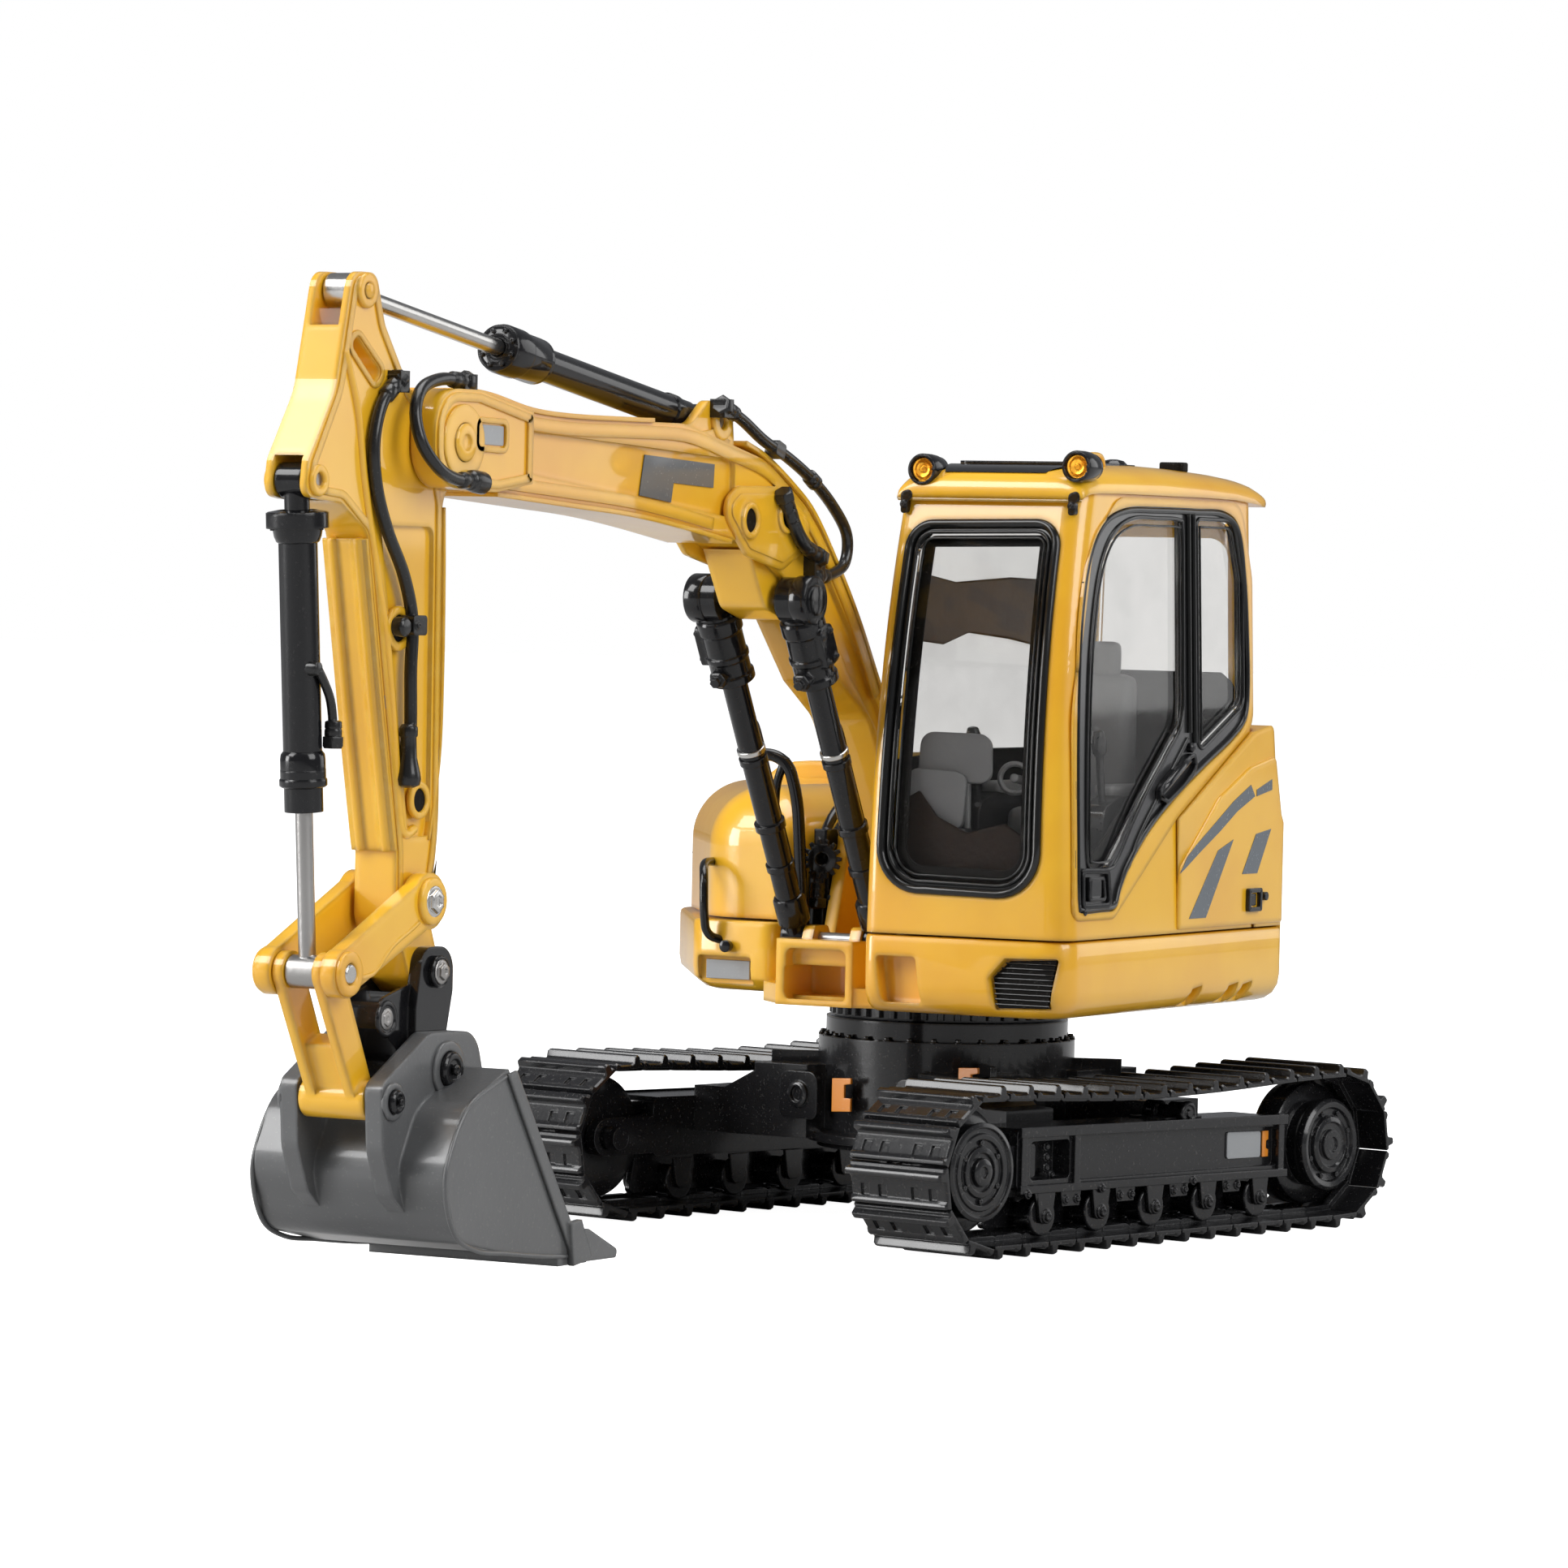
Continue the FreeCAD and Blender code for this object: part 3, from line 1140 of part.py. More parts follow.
# slots between the ears for the eyes of the two cylinders
slotLeft = "boomMiddle - 0.85 - sideGap"
slotWide = "1.7 + 2 * sideGap"
addPocket(arm, "YZ_Plane", slotLeft, slotWide, [[
    ("-hornAlong - 3", "hornHigh - 2.1"),
    ("-hornAlong - 3", "hornHigh + 2"),
    ("-hornAlong + 3", "hornHigh + 2"),
    ("-hornAlong + 3", "hornHigh - 2.1"),
]])
addPocket(arm, "YZ_Plane", slotLeft, slotWide, [[
    ("-curlAlong - 2", "curlHigh - 3"),
    ("-curlAlong - 2", "curlHigh + 1.45"),
    ("-curlAlong + 1.45", "curlHigh + 1.45", "0.5"),
    ("-curlAlong + 1.45", "curlHigh - 3"),
]])
for along, up, radius in (("-elbowAlong", "elbowHigh", "pinRadius + pinPlay"),
                          ("-hornAlong", "hornHigh", "smallPin"),
                          ("-curlAlong", "curlHigh", "smallPin"),
                          ("-rockAlong", "rockHigh", "smallPin"),
                          ("-tipAlong", "tipHigh", "smallPin")):
    addPocket(arm, "YZ_Plane", "boomMiddle - 4", "8", [(along, up, radius)])
keep(arm, "arm")
hornPin = stubs("horn_pin", "0.85 + sideGap", "armWidth / 2", "-hornAlong", "hornHigh", "smallPin")
curlPin = crossBar("curl_pin", armLeft, "armWidth", "-curlAlong", "curlHigh", "smallPin")
rockHalf = "(rockerInner + rockerThick)"
rockPin = crossBar("rock_pin", "boomMiddle - %s - 0.25" % rockHalf, "2 * %s + 0.5" % rockHalf, "-rockAlong",
                   "rockHigh", "smallPin")

# hose down the side of the arm with its clamp and boot
besideArm = "boomMiddle + armWidth / 2 + hoseRadius + 0.06"
armHose = hose("hose_arm", [
    (besideArm, "-76.9", "55.5"),
    (besideArm, "-78.5", "54.1"),
    (besideArm, "-79.3", "51.8"),
    (besideArm, "-78.9", "49.2"),
    (besideArm, "-77.6", "46.7"),
    (besideArm, "-75.6", "44.1"),
    (besideArm, "-74.6", "41.4"),
    (besideArm, "-74.7", "38.3"),
    (besideArm, "-74.6", "35.1"),
    (besideArm, "-74.8", "32.2"),
], "hoseRadius")
armHolders = [
    block("hose_clamp", "boomMiddle + armWidth / 2 - 0.3", "-75.3", "40.6", "1.25", "1.5", "1.3"),
    block("hose_boot", "boomMiddle + armWidth / 2 - 0.3", "-75.3", "31.4", "1.2", "1.1", "3.6"),
    block("hose_start", "boomMiddle + armWidth / 2 - 0.1", "-77.5", "54.9", "1.0", "1.2", "1.2"),
]
keep(cut("hoses_of_arm", fuse("arm_hoses_all", armHose, *armHolders), arm), "arm_hoses")

# coupler bolted to the end of the arm
couplerHalf = "(earInner - sideGap)"
coupler = prism("coupler_block", "YZ_Plane", "boomMiddle - %s" % couplerHalf, "2 * " + couplerHalf, [[
    ("-tipAlong + 1.9", "tipHigh + 1.5", "1.5"),
    ("-tipAlong - 1.5", "tipHigh + 1.5", "1.2"),
    ("-tipAlong - 2.2", "tipHigh - 2"),
    ("-hangAlong - 1.5", "hangHigh + 0.5"),
    ("-hangAlong + 1.5", "hangHigh + 0.3"),
    ("-tipAlong + 1.9", "tipHigh - 1.2", "1"),
]])
addPad(coupler, "YZ_Plane", "boomMiddle - %s" % couplerHalf, "2 * " + couplerHalf,
       [("-hangAlong", "hangHigh", "lobeRadius")])
noseHalf = "(rockerInner - sideGap)"
addPad(coupler, "YZ_Plane", "boomMiddle - %s" % noseHalf, "2 * " + noseHalf, [[
    ("-tipAlong - 1.5", "tipHigh - 0.6"),
    ("-clampAlong - 0.5", "clampHigh + 1.3", "0.7"),
    ("-clampAlong - 0.4", "clampHigh - 0.4", "0.7"),
    ("-hangAlong - 0.8", "hangHigh - 0.2"),
]])
addPocket(coupler, "YZ_Plane", "boomMiddle - armWidth / 2", "armWidth", [[
    ("-82", "tipHigh - 1.7"),
    ("-82", "26"),
    ("-66", "26"),
    ("-66", "tipHigh - 1.7"),
]])
addPocket(coupler, "YZ_Plane", "boomMiddle - 4", "8", [("-hangAlong", "hangHigh", "pinRadius + pinPlay")])
addPocket(coupler, "YZ_Plane", "boomMiddle - 4", "8", [("-tipAlong", "tipHigh", "smallPin")])
keep(coupler, "coupler")
tipBolt = crossBar("tip_bolt", "boomMiddle - %s - 0.45" % couplerHalf, "2 * %s + 0.9" % couplerHalf,
                   "-tipAlong", "tipHigh", "smallPin")
keep(together("pins_of_arm", hornPin, curlPin, rockPin, tipBolt), "arm_pins")

# ---------------------------------------------------------------- bucket
bucketLeft = "boomMiddle - bucketWidth / 2"
outside = [
    ("-70.6", "14.6"),
    ("-75.8", "12.4", "3"),
    ("-77.9", "8.6", "2.6"),
    ("-76.2", "4.6", "2.6"),
    ("-70.5", "3.5", "3"),
    ("-62.2", "2.6"),
]
shellBlock = prism("bucket_block", "YZ_Plane", bucketLeft, "bucketWidth", [outside])
inside = [
    ("-69.9", "15.5"),
    ("-70.9", "13.9"),
    ("-75.5 + 0.05", "11.95", "2.4"),
    ("-77.2", "8.6", "2"),
    ("-75.8", "5.2", "2"),
    ("-70.4", "4.1", "3"),
    ("-62.2", "3.2"),
    ("-55", "3.2"),
    ("-55", "15.5"),
]
bucketRoom = prism("bucket_room", "YZ_Plane", bucketLeft + " + bucketWall",
                   "bucketWidth - 2 * bucketWall", [inside])
bucket = cut("bucket_hollow", shellBlock, bucketRoom)
ears = []
for side in ("left", "right"):
    start = "boomMiddle + earInner" if side == "left" else "boomMiddle - earInner - earThick"
    ear = prism("ear_" + side, "YZ_Plane", start, "earThick", [[
        ("-linkAlong - 1.2", "linkHigh + 1.0", "0.9"),
        ("-hangAlong - 1.9", "hangHigh + 2.3", "1.6"),
        ("-hangAlong + 3.2", "hangHigh + 2.2", "2"),
        ("-hangAlong + 4.4", "hangHigh - 1.4", "0.6"),
        ("-hangAlong + 1.2", "hangHigh - 1.6"),
        ("-75.2", "11.9"),
        ("-77.3", "8.6"),
        ("-76.6", "6.0"),
        ("-78.2", "7.2", "1"),
        ("-79.4", "10.0", "2"),
    ]])
    addPocket(ear, "YZ_Plane", start, "earThick", [("-hangAlong", "hangHigh", "pinRadius")])
    addPocket(ear, "YZ_Plane", start, "earThick", [("-linkAlong", "linkHigh", "smallPin")])
    ears.append(ear)
teeth = []
count = int(size["toothCount"])
for i in range(count):
    across = "%s + 0.7 + (bucketWidth - 1.4) * %.4f" % (bucketLeft, i / (count - 1))
    teeth.append(prism("tooth_%d" % i, "YZ_Plane", across + " - 0.55", "1.1", [[
        ("-63.4", "2.3"),
        ("-63.4", "3.75"),
        ("-60.6", "4.3", "0.5"),
        ("-57.0", "2.75", "0.3"),
        ("-57.2", "2.25", "0.2"),
    ]]))
lip = prism("lip", "YZ_Plane", bucketLeft, "bucketWidth", [[
    ("-64.4", "2.25"),
    ("-64.4", "3.0"),
    ("-61.0", "2.6"),
    ("-61.0", "2.25"),
]])
trough = doc.addObject("Part::Common", "trough")
trough.Base = crossBar("trough_round", "boomMiddle - earInner - 0.1", "2 * earInner + 0.2", "-hangAlong",
                       "hangHigh", "lobeRadius + 0.3 + bucketWall")
trough.Tool = prism("trough_limit", "YZ_Plane", "boomMiddle - earInner - 0.2",
                    "2 * earInner + 0.4", [outside])
lobeRoom = crossBar("lobe_room", "boomMiddle - earInner", "2 * earInner", "-hangAlong", "hangHigh",
                    "lobeRadius + 0.3")
swing = prism("swing_room", "YZ_Plane", "boomMiddle - earInner", "2 * earInner", [[
    ("-hangAlong", "hangHigh"),
    ("-hangAlong + 4", "hangHigh - 2.8"),
    ("-hangAlong + 4", "hangHigh + 2"),
    ("-hangAlong", "hangHigh + 2"),
]])
pinRoom = crossBar("hang_room", "boomMiddle - earInner - earThick - 0.3",
                   "2 * earInner + 2 * earThick + 0.6",
                   "-hangAlong", "hangHigh", "pinRadius")
cast = fuse("bucket_all", bucket, trough, lip, *teeth)
keep(fuse("bucket_cast", cut("bucket_room_cut", cast, lobeRoom, swing, pinRoom), *ears), "bucket")
hangPin = crossBar("hang_pin", "boomMiddle - earInner - earThick - 0.3", "2 * earInner + 2 * earThick + 0.6",
                   "-hangAlong", "hangHigh", "pinRadius")
linkPin = stubs("link_pin", "earInner", "earInner + earThick + 0.25", "-linkAlong", "linkHigh", "smallPin")
keep(together("pins_of_bucket", hangPin, linkPin), "bucket_pins")

# ---------------------------------------------------------------- rocker and link
rockers = []
for side in ("left", "right"):
    start = "boomMiddle + rockerInner" if side == "left" else "boomMiddle - rockerInner - rockerThick"
    rocker = prism("rocker_" + side, "YZ_Plane", start, "rockerThick", [[
        ("-rockAlong - 1.0", "rockHigh + 1.2"),
        ("-rockAlong + 0.4", "rockHigh - 1.4"),
        ("-jointAlong + 0.9", "jointHigh - 1.0"),
        ("-jointAlong - 0.5", "jointHigh + 1.3"),
    ]])
    addPad(rocker, "YZ_Plane", start, "rockerThick", [("-rockAlong", "rockHigh", "1.7")])
    addPad(rocker, "YZ_Plane", start, "rockerThick", [("-jointAlong", "jointHigh", "1.45")])
    addPocket(rocker, "YZ_Plane", start, "rockerThick", [("-rockAlong", "rockHigh", "smallPin + pinPlay")])
    addPocket(rocker, "YZ_Plane", start, "rockerThick", [("-jointAlong", "jointHigh", "smallPin")])
    rockers.append(rocker)
keep(together("rockers_all", *rockers), "rocker_plates")
keep(stubs("joint_pin", "1.05", rockHalf + " + 0.2", "-jointAlong", "jointHigh", "smallPin"),
     "rocker_joint_pin")

legs = []
for side in ("left", "right"):
    start = "boomMiddle + 1.05" if side == "left" else "boomMiddle - 1.05 - 0.65"
    leg = prism("leg_" + side, "YZ_Plane", start, "0.65", [[
        ("-jointAlong - 1.0", "jointHigh - 0.6"),
        ("-jointAlong + 1.0", "jointHigh + 0.5"),
        ("-linkAlong + 1.0", "linkHigh + 0.3"),
        ("-linkAlong - 0.9", "linkHigh - 0.3"),
    ]])
    addPad(leg, "YZ_Plane", start, "0.65", [("-jointAlong", "jointHigh", "1.2")])
    addPocket(leg, "YZ_Plane", start, "0.65", [("-jointAlong", "jointHigh", "smallPin + pinPlay")])
    legs.append(leg)
linkBoss = crossBar("link_boss", "boomMiddle - earInner + sideGap", "2 * earInner - 2 * sideGap",
                    "-linkAlong", "linkHigh", "1.2")
linkWeb = prism("link_web", "YZ_Plane", "boomMiddle - 1.05", "2.1", [[
    ("-80.9", "16.2"),
    ("-79.6", "16.8"),
    ("-77.7", "13.4"),
    ("-79.2", "12.9"),
]])
keep(fuse("link_body", linkBoss, linkWeb, *legs), "drive_link")

# ---------------------------------------------------------------- cylinders


def slanted(name, base, far, offset, start, length, radius):
    """A round bar on the line from base towards far, both given as along and height texts."""
    piece = doc.addObject("Part::Cylinder", name)
    first = Vector(0, number(base[0]), number(base[1]))
    aim = (Vector(0, number(far[0]), number(far[1])) - first).normalize()
    bind(piece, "Radius", radius)
    bind(piece, "Height", length)
    corner = first + aim * number(start)
    piece.Placement = Placement(Vector(number("boomMiddle + (%s)" % offset), corner.y, corner.z),
                                Rotation(Vector(0, 0, 1), aim))
    return piece


def distance(base, far):
    return math.hypot(number(far[0]) - number(base[0]), number(far[1]) - number(base[1]))


def cylinderPair(name, base, far, offset, sizesOf):
    """Barrel with its foot eye, and rod with its end eye, on the line between two pins."""
    whole = distance(base, far)
    half = sizesOf["footHalf"]
    foot = crossBar(name + "_foot", "boomMiddle + (%s) - %s" % (offset, half), "2 * " + half,
                    base[0], base[1], sizesOf["footEye"])
    neck = slanted(name + "_neck", base, far, offset, "0", sizesOf["neck"] + " + 0.5", "0.75")
    tube = slanted(name + "_tube", base, far, offset, sizesOf["neck"],
                   "%s - %s" % (sizesOf["barrel"], sizesOf["neck"]), sizesOf["radius"])
    case = [foot, neck, tube]
    for i, (start, length, radius) in enumerate(sizesOf["rings"]):
        case.append(slanted("%s_ring_%d" % (name, i), base, far, offset, start, length, radius))
    bore = slanted(name + "_bore", base, far, offset, sizesOf["boreStart"], "%.4f" % whole,
                   "rodRadius + pinPlay")
    pin = crossBar(name + "_pin", "boomMiddle + (%s) - 4" % offset, "8", base[0], base[1],
                   "smallPin + pinPlay")
    barrel = cut(name + "_barrel", fuse(name + "_case", *case), bore, pin)
    rodStart = sizesOf["rodStart"]
    stem = slanted(name + "_stem", base, far, offset, rodStart, "%.4f - (%s)" % (whole, rodStart),
                   "rodRadius")
    half = sizesOf["eyeHalf"]
    eye = crossBar(name + "_eye", "boomMiddle + (%s) - %s" % (offset, half), "2 * " + half,
                   far[0], far[1], sizesOf["eye"])
    if "sleeve" not in sizesOf:
        return barrel, fuse(name + "_rod", stem, eye)
    start, end, cap = sizesOf["sleeve"]
    outer = slanted(name + "_sleeve", base, far, offset, start, "%s - %s" % (end, start), "liftSleeve")
    room = slanted(name + "_sleeve_room", base, far, offset, start + " - 1",
                   "%s - %s - %s + 1" % (end, start, cap),
                   "liftBarrel + 0.12")
    return barrel, fuse(name + "_rod", cut(name + "_sleeve_tube", outer, room), stem, eye)


liftSizes = {
    "barrel": "21.2",
    "radius": "liftBarrel",
    "rings": [("8.6", "0.5", "liftBarrel + 0.2")],
    "footHalf": "0.9",
    "footEye": "0.95",
    "neck": "1.2",
    "boreStart": "2.2",
    "rodStart": "6.2",
    "eye": "1.5",
    "eyeHalf": "0.9",
    "sleeve": ("20.0", "25.0", "0.5"),
}
lifts = [cylinderPair("lift_" + word, ("-liftFootAlong", "liftFootHigh"), ("-liftAlong", "liftHigh"),
                      sign + "liftOffset", liftSizes) for word, sign in (("left", ""), ("right", "-"))]
keep(together("boom_barrels_all", *[pair[0] for pair in lifts]), "boom_cylinder_barrels")
keep(together("boom_rods_all", *[pair[1] for pair in lifts]), "boom_cylinder_rods")
reachSizes = {
    "barrel": "24.7",
    "radius": "reachBarrel",
    "rings": [("20.2", "4.5", "reachHead"), ("3.2", "0.7", "reachBarrel + 0.1")],
    "footHalf": "0.95",
    "footEye": "1.1",
    "neck": "1.5",
    "boreStart": "3.0",
    "rodStart": "14.0",
    "eye": "1.05",
    "eyeHalf": "0.85",
}
reach = cylinderPair("reach", ("-reachAlong", "reachHigh"), ("-hornAlong", "hornHigh"), "0", reachSizes)
keep(reach[0], "arm_cylinder_barrel")
keep(reach[1], "arm_cylinder_rod")
curlSizes = {
    "barrel": "19.5",
    "radius": "curlBarrel",
    "rings": [
        ("1.9", "0.9", "curlFlange"),
        ("17.0", "0.7", "curlBarrel + 0.2"),
        ("17.7", "1.8", "curlBarrel - 0.15"),
    ],
    "footHalf": "0.85",
    "footEye": "1.05",
    "neck": "1.9",
    "boreStart": "3.4",
    "rodStart": "6.0",
    "eye": "1.0",
    "eyeHalf": "0.95",
}
curl = cylinderPair("curl", ("-curlAlong", "curlHigh"), ("-jointAlong", "jointHigh"), "0", curlSizes)
keep(curl[0], "bucket_cylinder_barrel")
keep(curl[1], "bucket_cylinder_rod")

# ---------------------------------------------------------------- check and write
doc.recompute()
for thing in doc.Objects:
    if "Invalid" in thing.State or "Error" in thing.State:
        raise RuntimeError("%s failed: %s" % (thing.Name, thing.State))
os.makedirs("parts", exist_ok=True)
for node in nodes:
    shape = node.Shape
    if shape.isNull() or not shape.isValid() or not shape.Solids:
        raise RuntimeError("%s has no valid solid" % node.Label)
for node in nodes:
    node.Shape.exportStep(os.path.join("parts", node.Label + ".step"))
print("%d sub-parts written" % len(nodes))
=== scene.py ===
import bpy, bmesh, math
from mathutils import Matrix, Vector


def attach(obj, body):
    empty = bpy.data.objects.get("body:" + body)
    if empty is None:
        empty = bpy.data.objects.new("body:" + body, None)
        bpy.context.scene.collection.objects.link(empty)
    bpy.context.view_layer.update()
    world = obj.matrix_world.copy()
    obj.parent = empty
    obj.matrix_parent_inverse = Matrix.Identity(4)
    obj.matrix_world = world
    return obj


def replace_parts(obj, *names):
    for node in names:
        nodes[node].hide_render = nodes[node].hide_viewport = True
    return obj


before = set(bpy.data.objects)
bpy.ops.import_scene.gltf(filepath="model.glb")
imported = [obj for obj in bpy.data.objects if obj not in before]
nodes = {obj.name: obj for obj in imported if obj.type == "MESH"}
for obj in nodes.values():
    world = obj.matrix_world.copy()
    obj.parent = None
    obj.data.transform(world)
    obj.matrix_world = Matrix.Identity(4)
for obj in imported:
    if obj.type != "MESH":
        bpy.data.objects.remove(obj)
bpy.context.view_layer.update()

mm = 0.001
print("frame loaded:", len(nodes), "nodes")

scene = bpy.context.scene
scene.view_settings.view_transform = "Standard"


def node(tree, kind, **settings):
    made = tree.nodes.new(kind)
    for key, value in settings.items():
        setattr(made, key, value)
    return made


# a fixed value for the socket, or a link from another node
def feed(tree, socket, value):
    if isinstance(value, (int, float, tuple)):
        socket.default_value = value
    else:
        tree.links.new(value, socket)


def mathNode(tree, operation, first, second, clamp=False):
    made = node(tree, "ShaderNodeMath", operation=operation, use_clamp=clamp)
    feed(tree, made.inputs[0], first)
    feed(tree, made.inputs[1], second)
    return made.outputs[0]


def newMaterial(name):
    material = bpy.data.materials.new(name)
    material.use_nodes = True
    return material, material.node_tree, material.node_tree.nodes["Principled BSDF"]


# camera, floor and lamps; angles in radians, view lengths in millimetres
view = {
    "target": (-6.827, -11.789, 30.35),
    "distance": 466.77,
    "azimuth": 0.5075,
    "elevation": 0.02928,
    "roll": 0.02133,
    "lens": 156.56,
}


def makeCamera():
    azimuth, elevation, roll = view["azimuth"], view["elevation"], view["roll"]
    level = math.cos(elevation)
    back = Vector((math.sin(azimuth) * level, -math.cos(azimuth) * level, math.sin(elevation)))
    right = Vector((math.cos(azimuth), math.sin(azimuth), 0))
    up = back.cross(right)
    across = right * math.cos(roll) + up * math.sin(roll)
    high = up * math.cos(roll) - right * math.sin(roll)
    data = bpy.data.cameras.new("studioCamera")
    data.lens = view["lens"]
    data.sensor_width = 36
    data.clip_start = 0.01
    camera = bpy.data.objects.new("studioCamera", data)
    scene.collection.objects.link(camera)
    place = (Vector(view["target"]) + back * view["distance"]) * mm
    turn = Matrix((across, high, back)).transposed().to_4x4()
    camera.matrix_world = Matrix.Translation(place) @ turn
    scene.camera = camera


studio = {
    "floorHalf": 3.0, "floorTone": 0.50, "floorRough": 0.7, "floorSpecular": 0.1, "floorLift": 0.97,
    "worldTint": (0.93, 0.95, 1.0, 1), "worldLight": 0.20,
    "lamps": (
        # name, place, size across and high, power, aimed at
        ("keyLamp", (-0.46, -0.62, 0.66), 0.46, 0.46, 5.8, (0.0, -0.02, 0.02)),
        ("sideLamp", (0.78, -0.16, 0.50), 0.50, 0.60, 5.2, (0.0, 0.0, 0.03)),
        ("sheenLamp", (0.62, 0.92, 0.34), 0.60, 0.60, 1.7, (0.0, 0.0, 0.03)),
        ("frontStrip", (-0.72, -0.60, 0.16), 0.30, 0.50, 5.6, (0.0, -0.02, 0.03)),
        ("topLamp", (0.05, 0.10, 0.90), 0.60, 0.60, 5.2, (0.0, 0.0, 0.0)),
    ),
}


# 1 for what the camera sees straight or through glass
def seenRay(tree):
    path = node(tree, "ShaderNodeLightPath")
    return mathNode(tree, "MAXIMUM", path.outputs["Is Camera Ray"], path.outputs["Is Transmission Ray"])


def makeFloor():
    half = studio["floorHalf"]
    corners = ((-half, -half), (half, -half), (half, half), (-half, half))
    build = bmesh.new()
    build.faces.new([build.verts.new((x, y, 0)) for x, y in corners])
    mesh = bpy.data.meshes.new("floor")
    build.to_mesh(mesh)
    build.free()
    floor = bpy.data.objects.new("floor", mesh)
    scene.collection.objects.link(floor)
    material, tree, shader = newMaterial("paleFloor")
    tone = studio["floorTone"]
    shader.inputs["Base Color"].default_value = (tone, tone, tone, 1)
    shader.inputs["Roughness"].default_value = studio["floorRough"]
    shader.inputs["Specular IOR Level"].default_value = studio["floorSpecular"]
    shader.inputs["Emission Color"].default_value = (1, 1, 1, 1)
    lift = mathNode(tree, "MULTIPLY", seenRay(tree), studio["floorLift"])
    tree.links.new(lift, shader.inputs["Emission Strength"])
    mesh.materials.append(material)


def makeWorld():
    world = bpy.data.worlds.new("studioWorld")
    scene.world = world
    world.use_nodes = True
    tree = world.node_tree
    tree.nodes.clear()
    output = node(tree, "ShaderNodeOutputWorld")
    mix = node(tree, "ShaderNodeMixShader")
    dim = node(tree, "ShaderNodeBackground")
    dim.inputs[0].default_value = studio["worldTint"]
    dim.inputs[1].default_value = studio["worldLight"]
    pale = node(tree, "ShaderNodeBackground")
    pale.inputs[0].default_value = (1, 1, 1, 1)
    for value, socket in ((seenRay(tree), mix.inputs[0]), (dim.outputs[0], mix.inputs[1]),
                          (pale.outputs[0], mix.inputs[2]), (mix.outputs[0], output.inputs[0])):
        tree.links.new(value, socket)


def makeLamps():
    for name, place, wide, high, power, aim in studio["lamps"]:
        data = bpy.data.lights.new(name, "AREA")
        data.shape = "RECTANGLE"
        data.size, data.size_y, data.energy = wide, high, power
        lamp = bpy.data.objects.new(name, data)
        scene.collection.objects.link(lamp)
        lamp.location = place
        lamp.rotation_euler = (Vector(aim) - Vector(place)).to_track_quat("-Z", "Y").to_euler()


makeCamera()
makeFloor()
makeWorld()
makeLamps()
print("camera and studio ready")


# nodes shared by the finishes
def noiseNode(tree, where, scale, detail, roughness):
    made = node(tree, "ShaderNodeTexNoise")
    tree.links.new(where, made.inputs["Vector"])
    for label, number in (("Scale", scale), ("Detail", detail), ("Roughness", roughness)):
        made.inputs[label].default_value = number
    return made.outputs["Fac"]


def rangeNode(tree, value, low, high, to=(0.0, 1.0)):
    made = node(tree, "ShaderNodeMapRange", interpolation_type="SMOOTHSTEP")
    tree.links.new(value, made.inputs["Value"])
    for label, number in (("From Min", low), ("From Max", high), ("To Min", to[0]), ("To Max", to[1])):
        made.inputs[label].default_value = number
    return made.outputs["Result"]


def mixColor(tree, factor, first, second):
    made = node(tree, "ShaderNodeMix", data_type="RGBA")
    for socket, value in ((made.inputs["Factor"], factor), (made.inputs[6], first), (made.inputs[7], second)):
        feed(tree, socket, value)
    return made.outputs[2]


skinLook = {
    # noise: scale, detail, roughness
    "broad": (55.0, 4.0, 0.6), "fine": (900.0, 3.0, 0.55),
    "peel": (2600.0, 2.0, 0.5), "speck": (5200.0, 1.0, 0.5),
    # ranges that the noise and the bend of an edge are read over; the edge range sets the lightened edges,
    # partly wear and partly a painted highlight
    "tone": (0.3, 0.72), "wornAndHighlit": (0.05, 0.45), "patch": (0.35, 0.75), "dust": (0.64, 0.74),
    "toneShare": 0.55, "dustColor": (0.55, 0.53, 0.50, 1), "fineRough": 0.08, "dustRough": 0.3,
    "bump": 0.00004, "edgeSamples": 6,
}
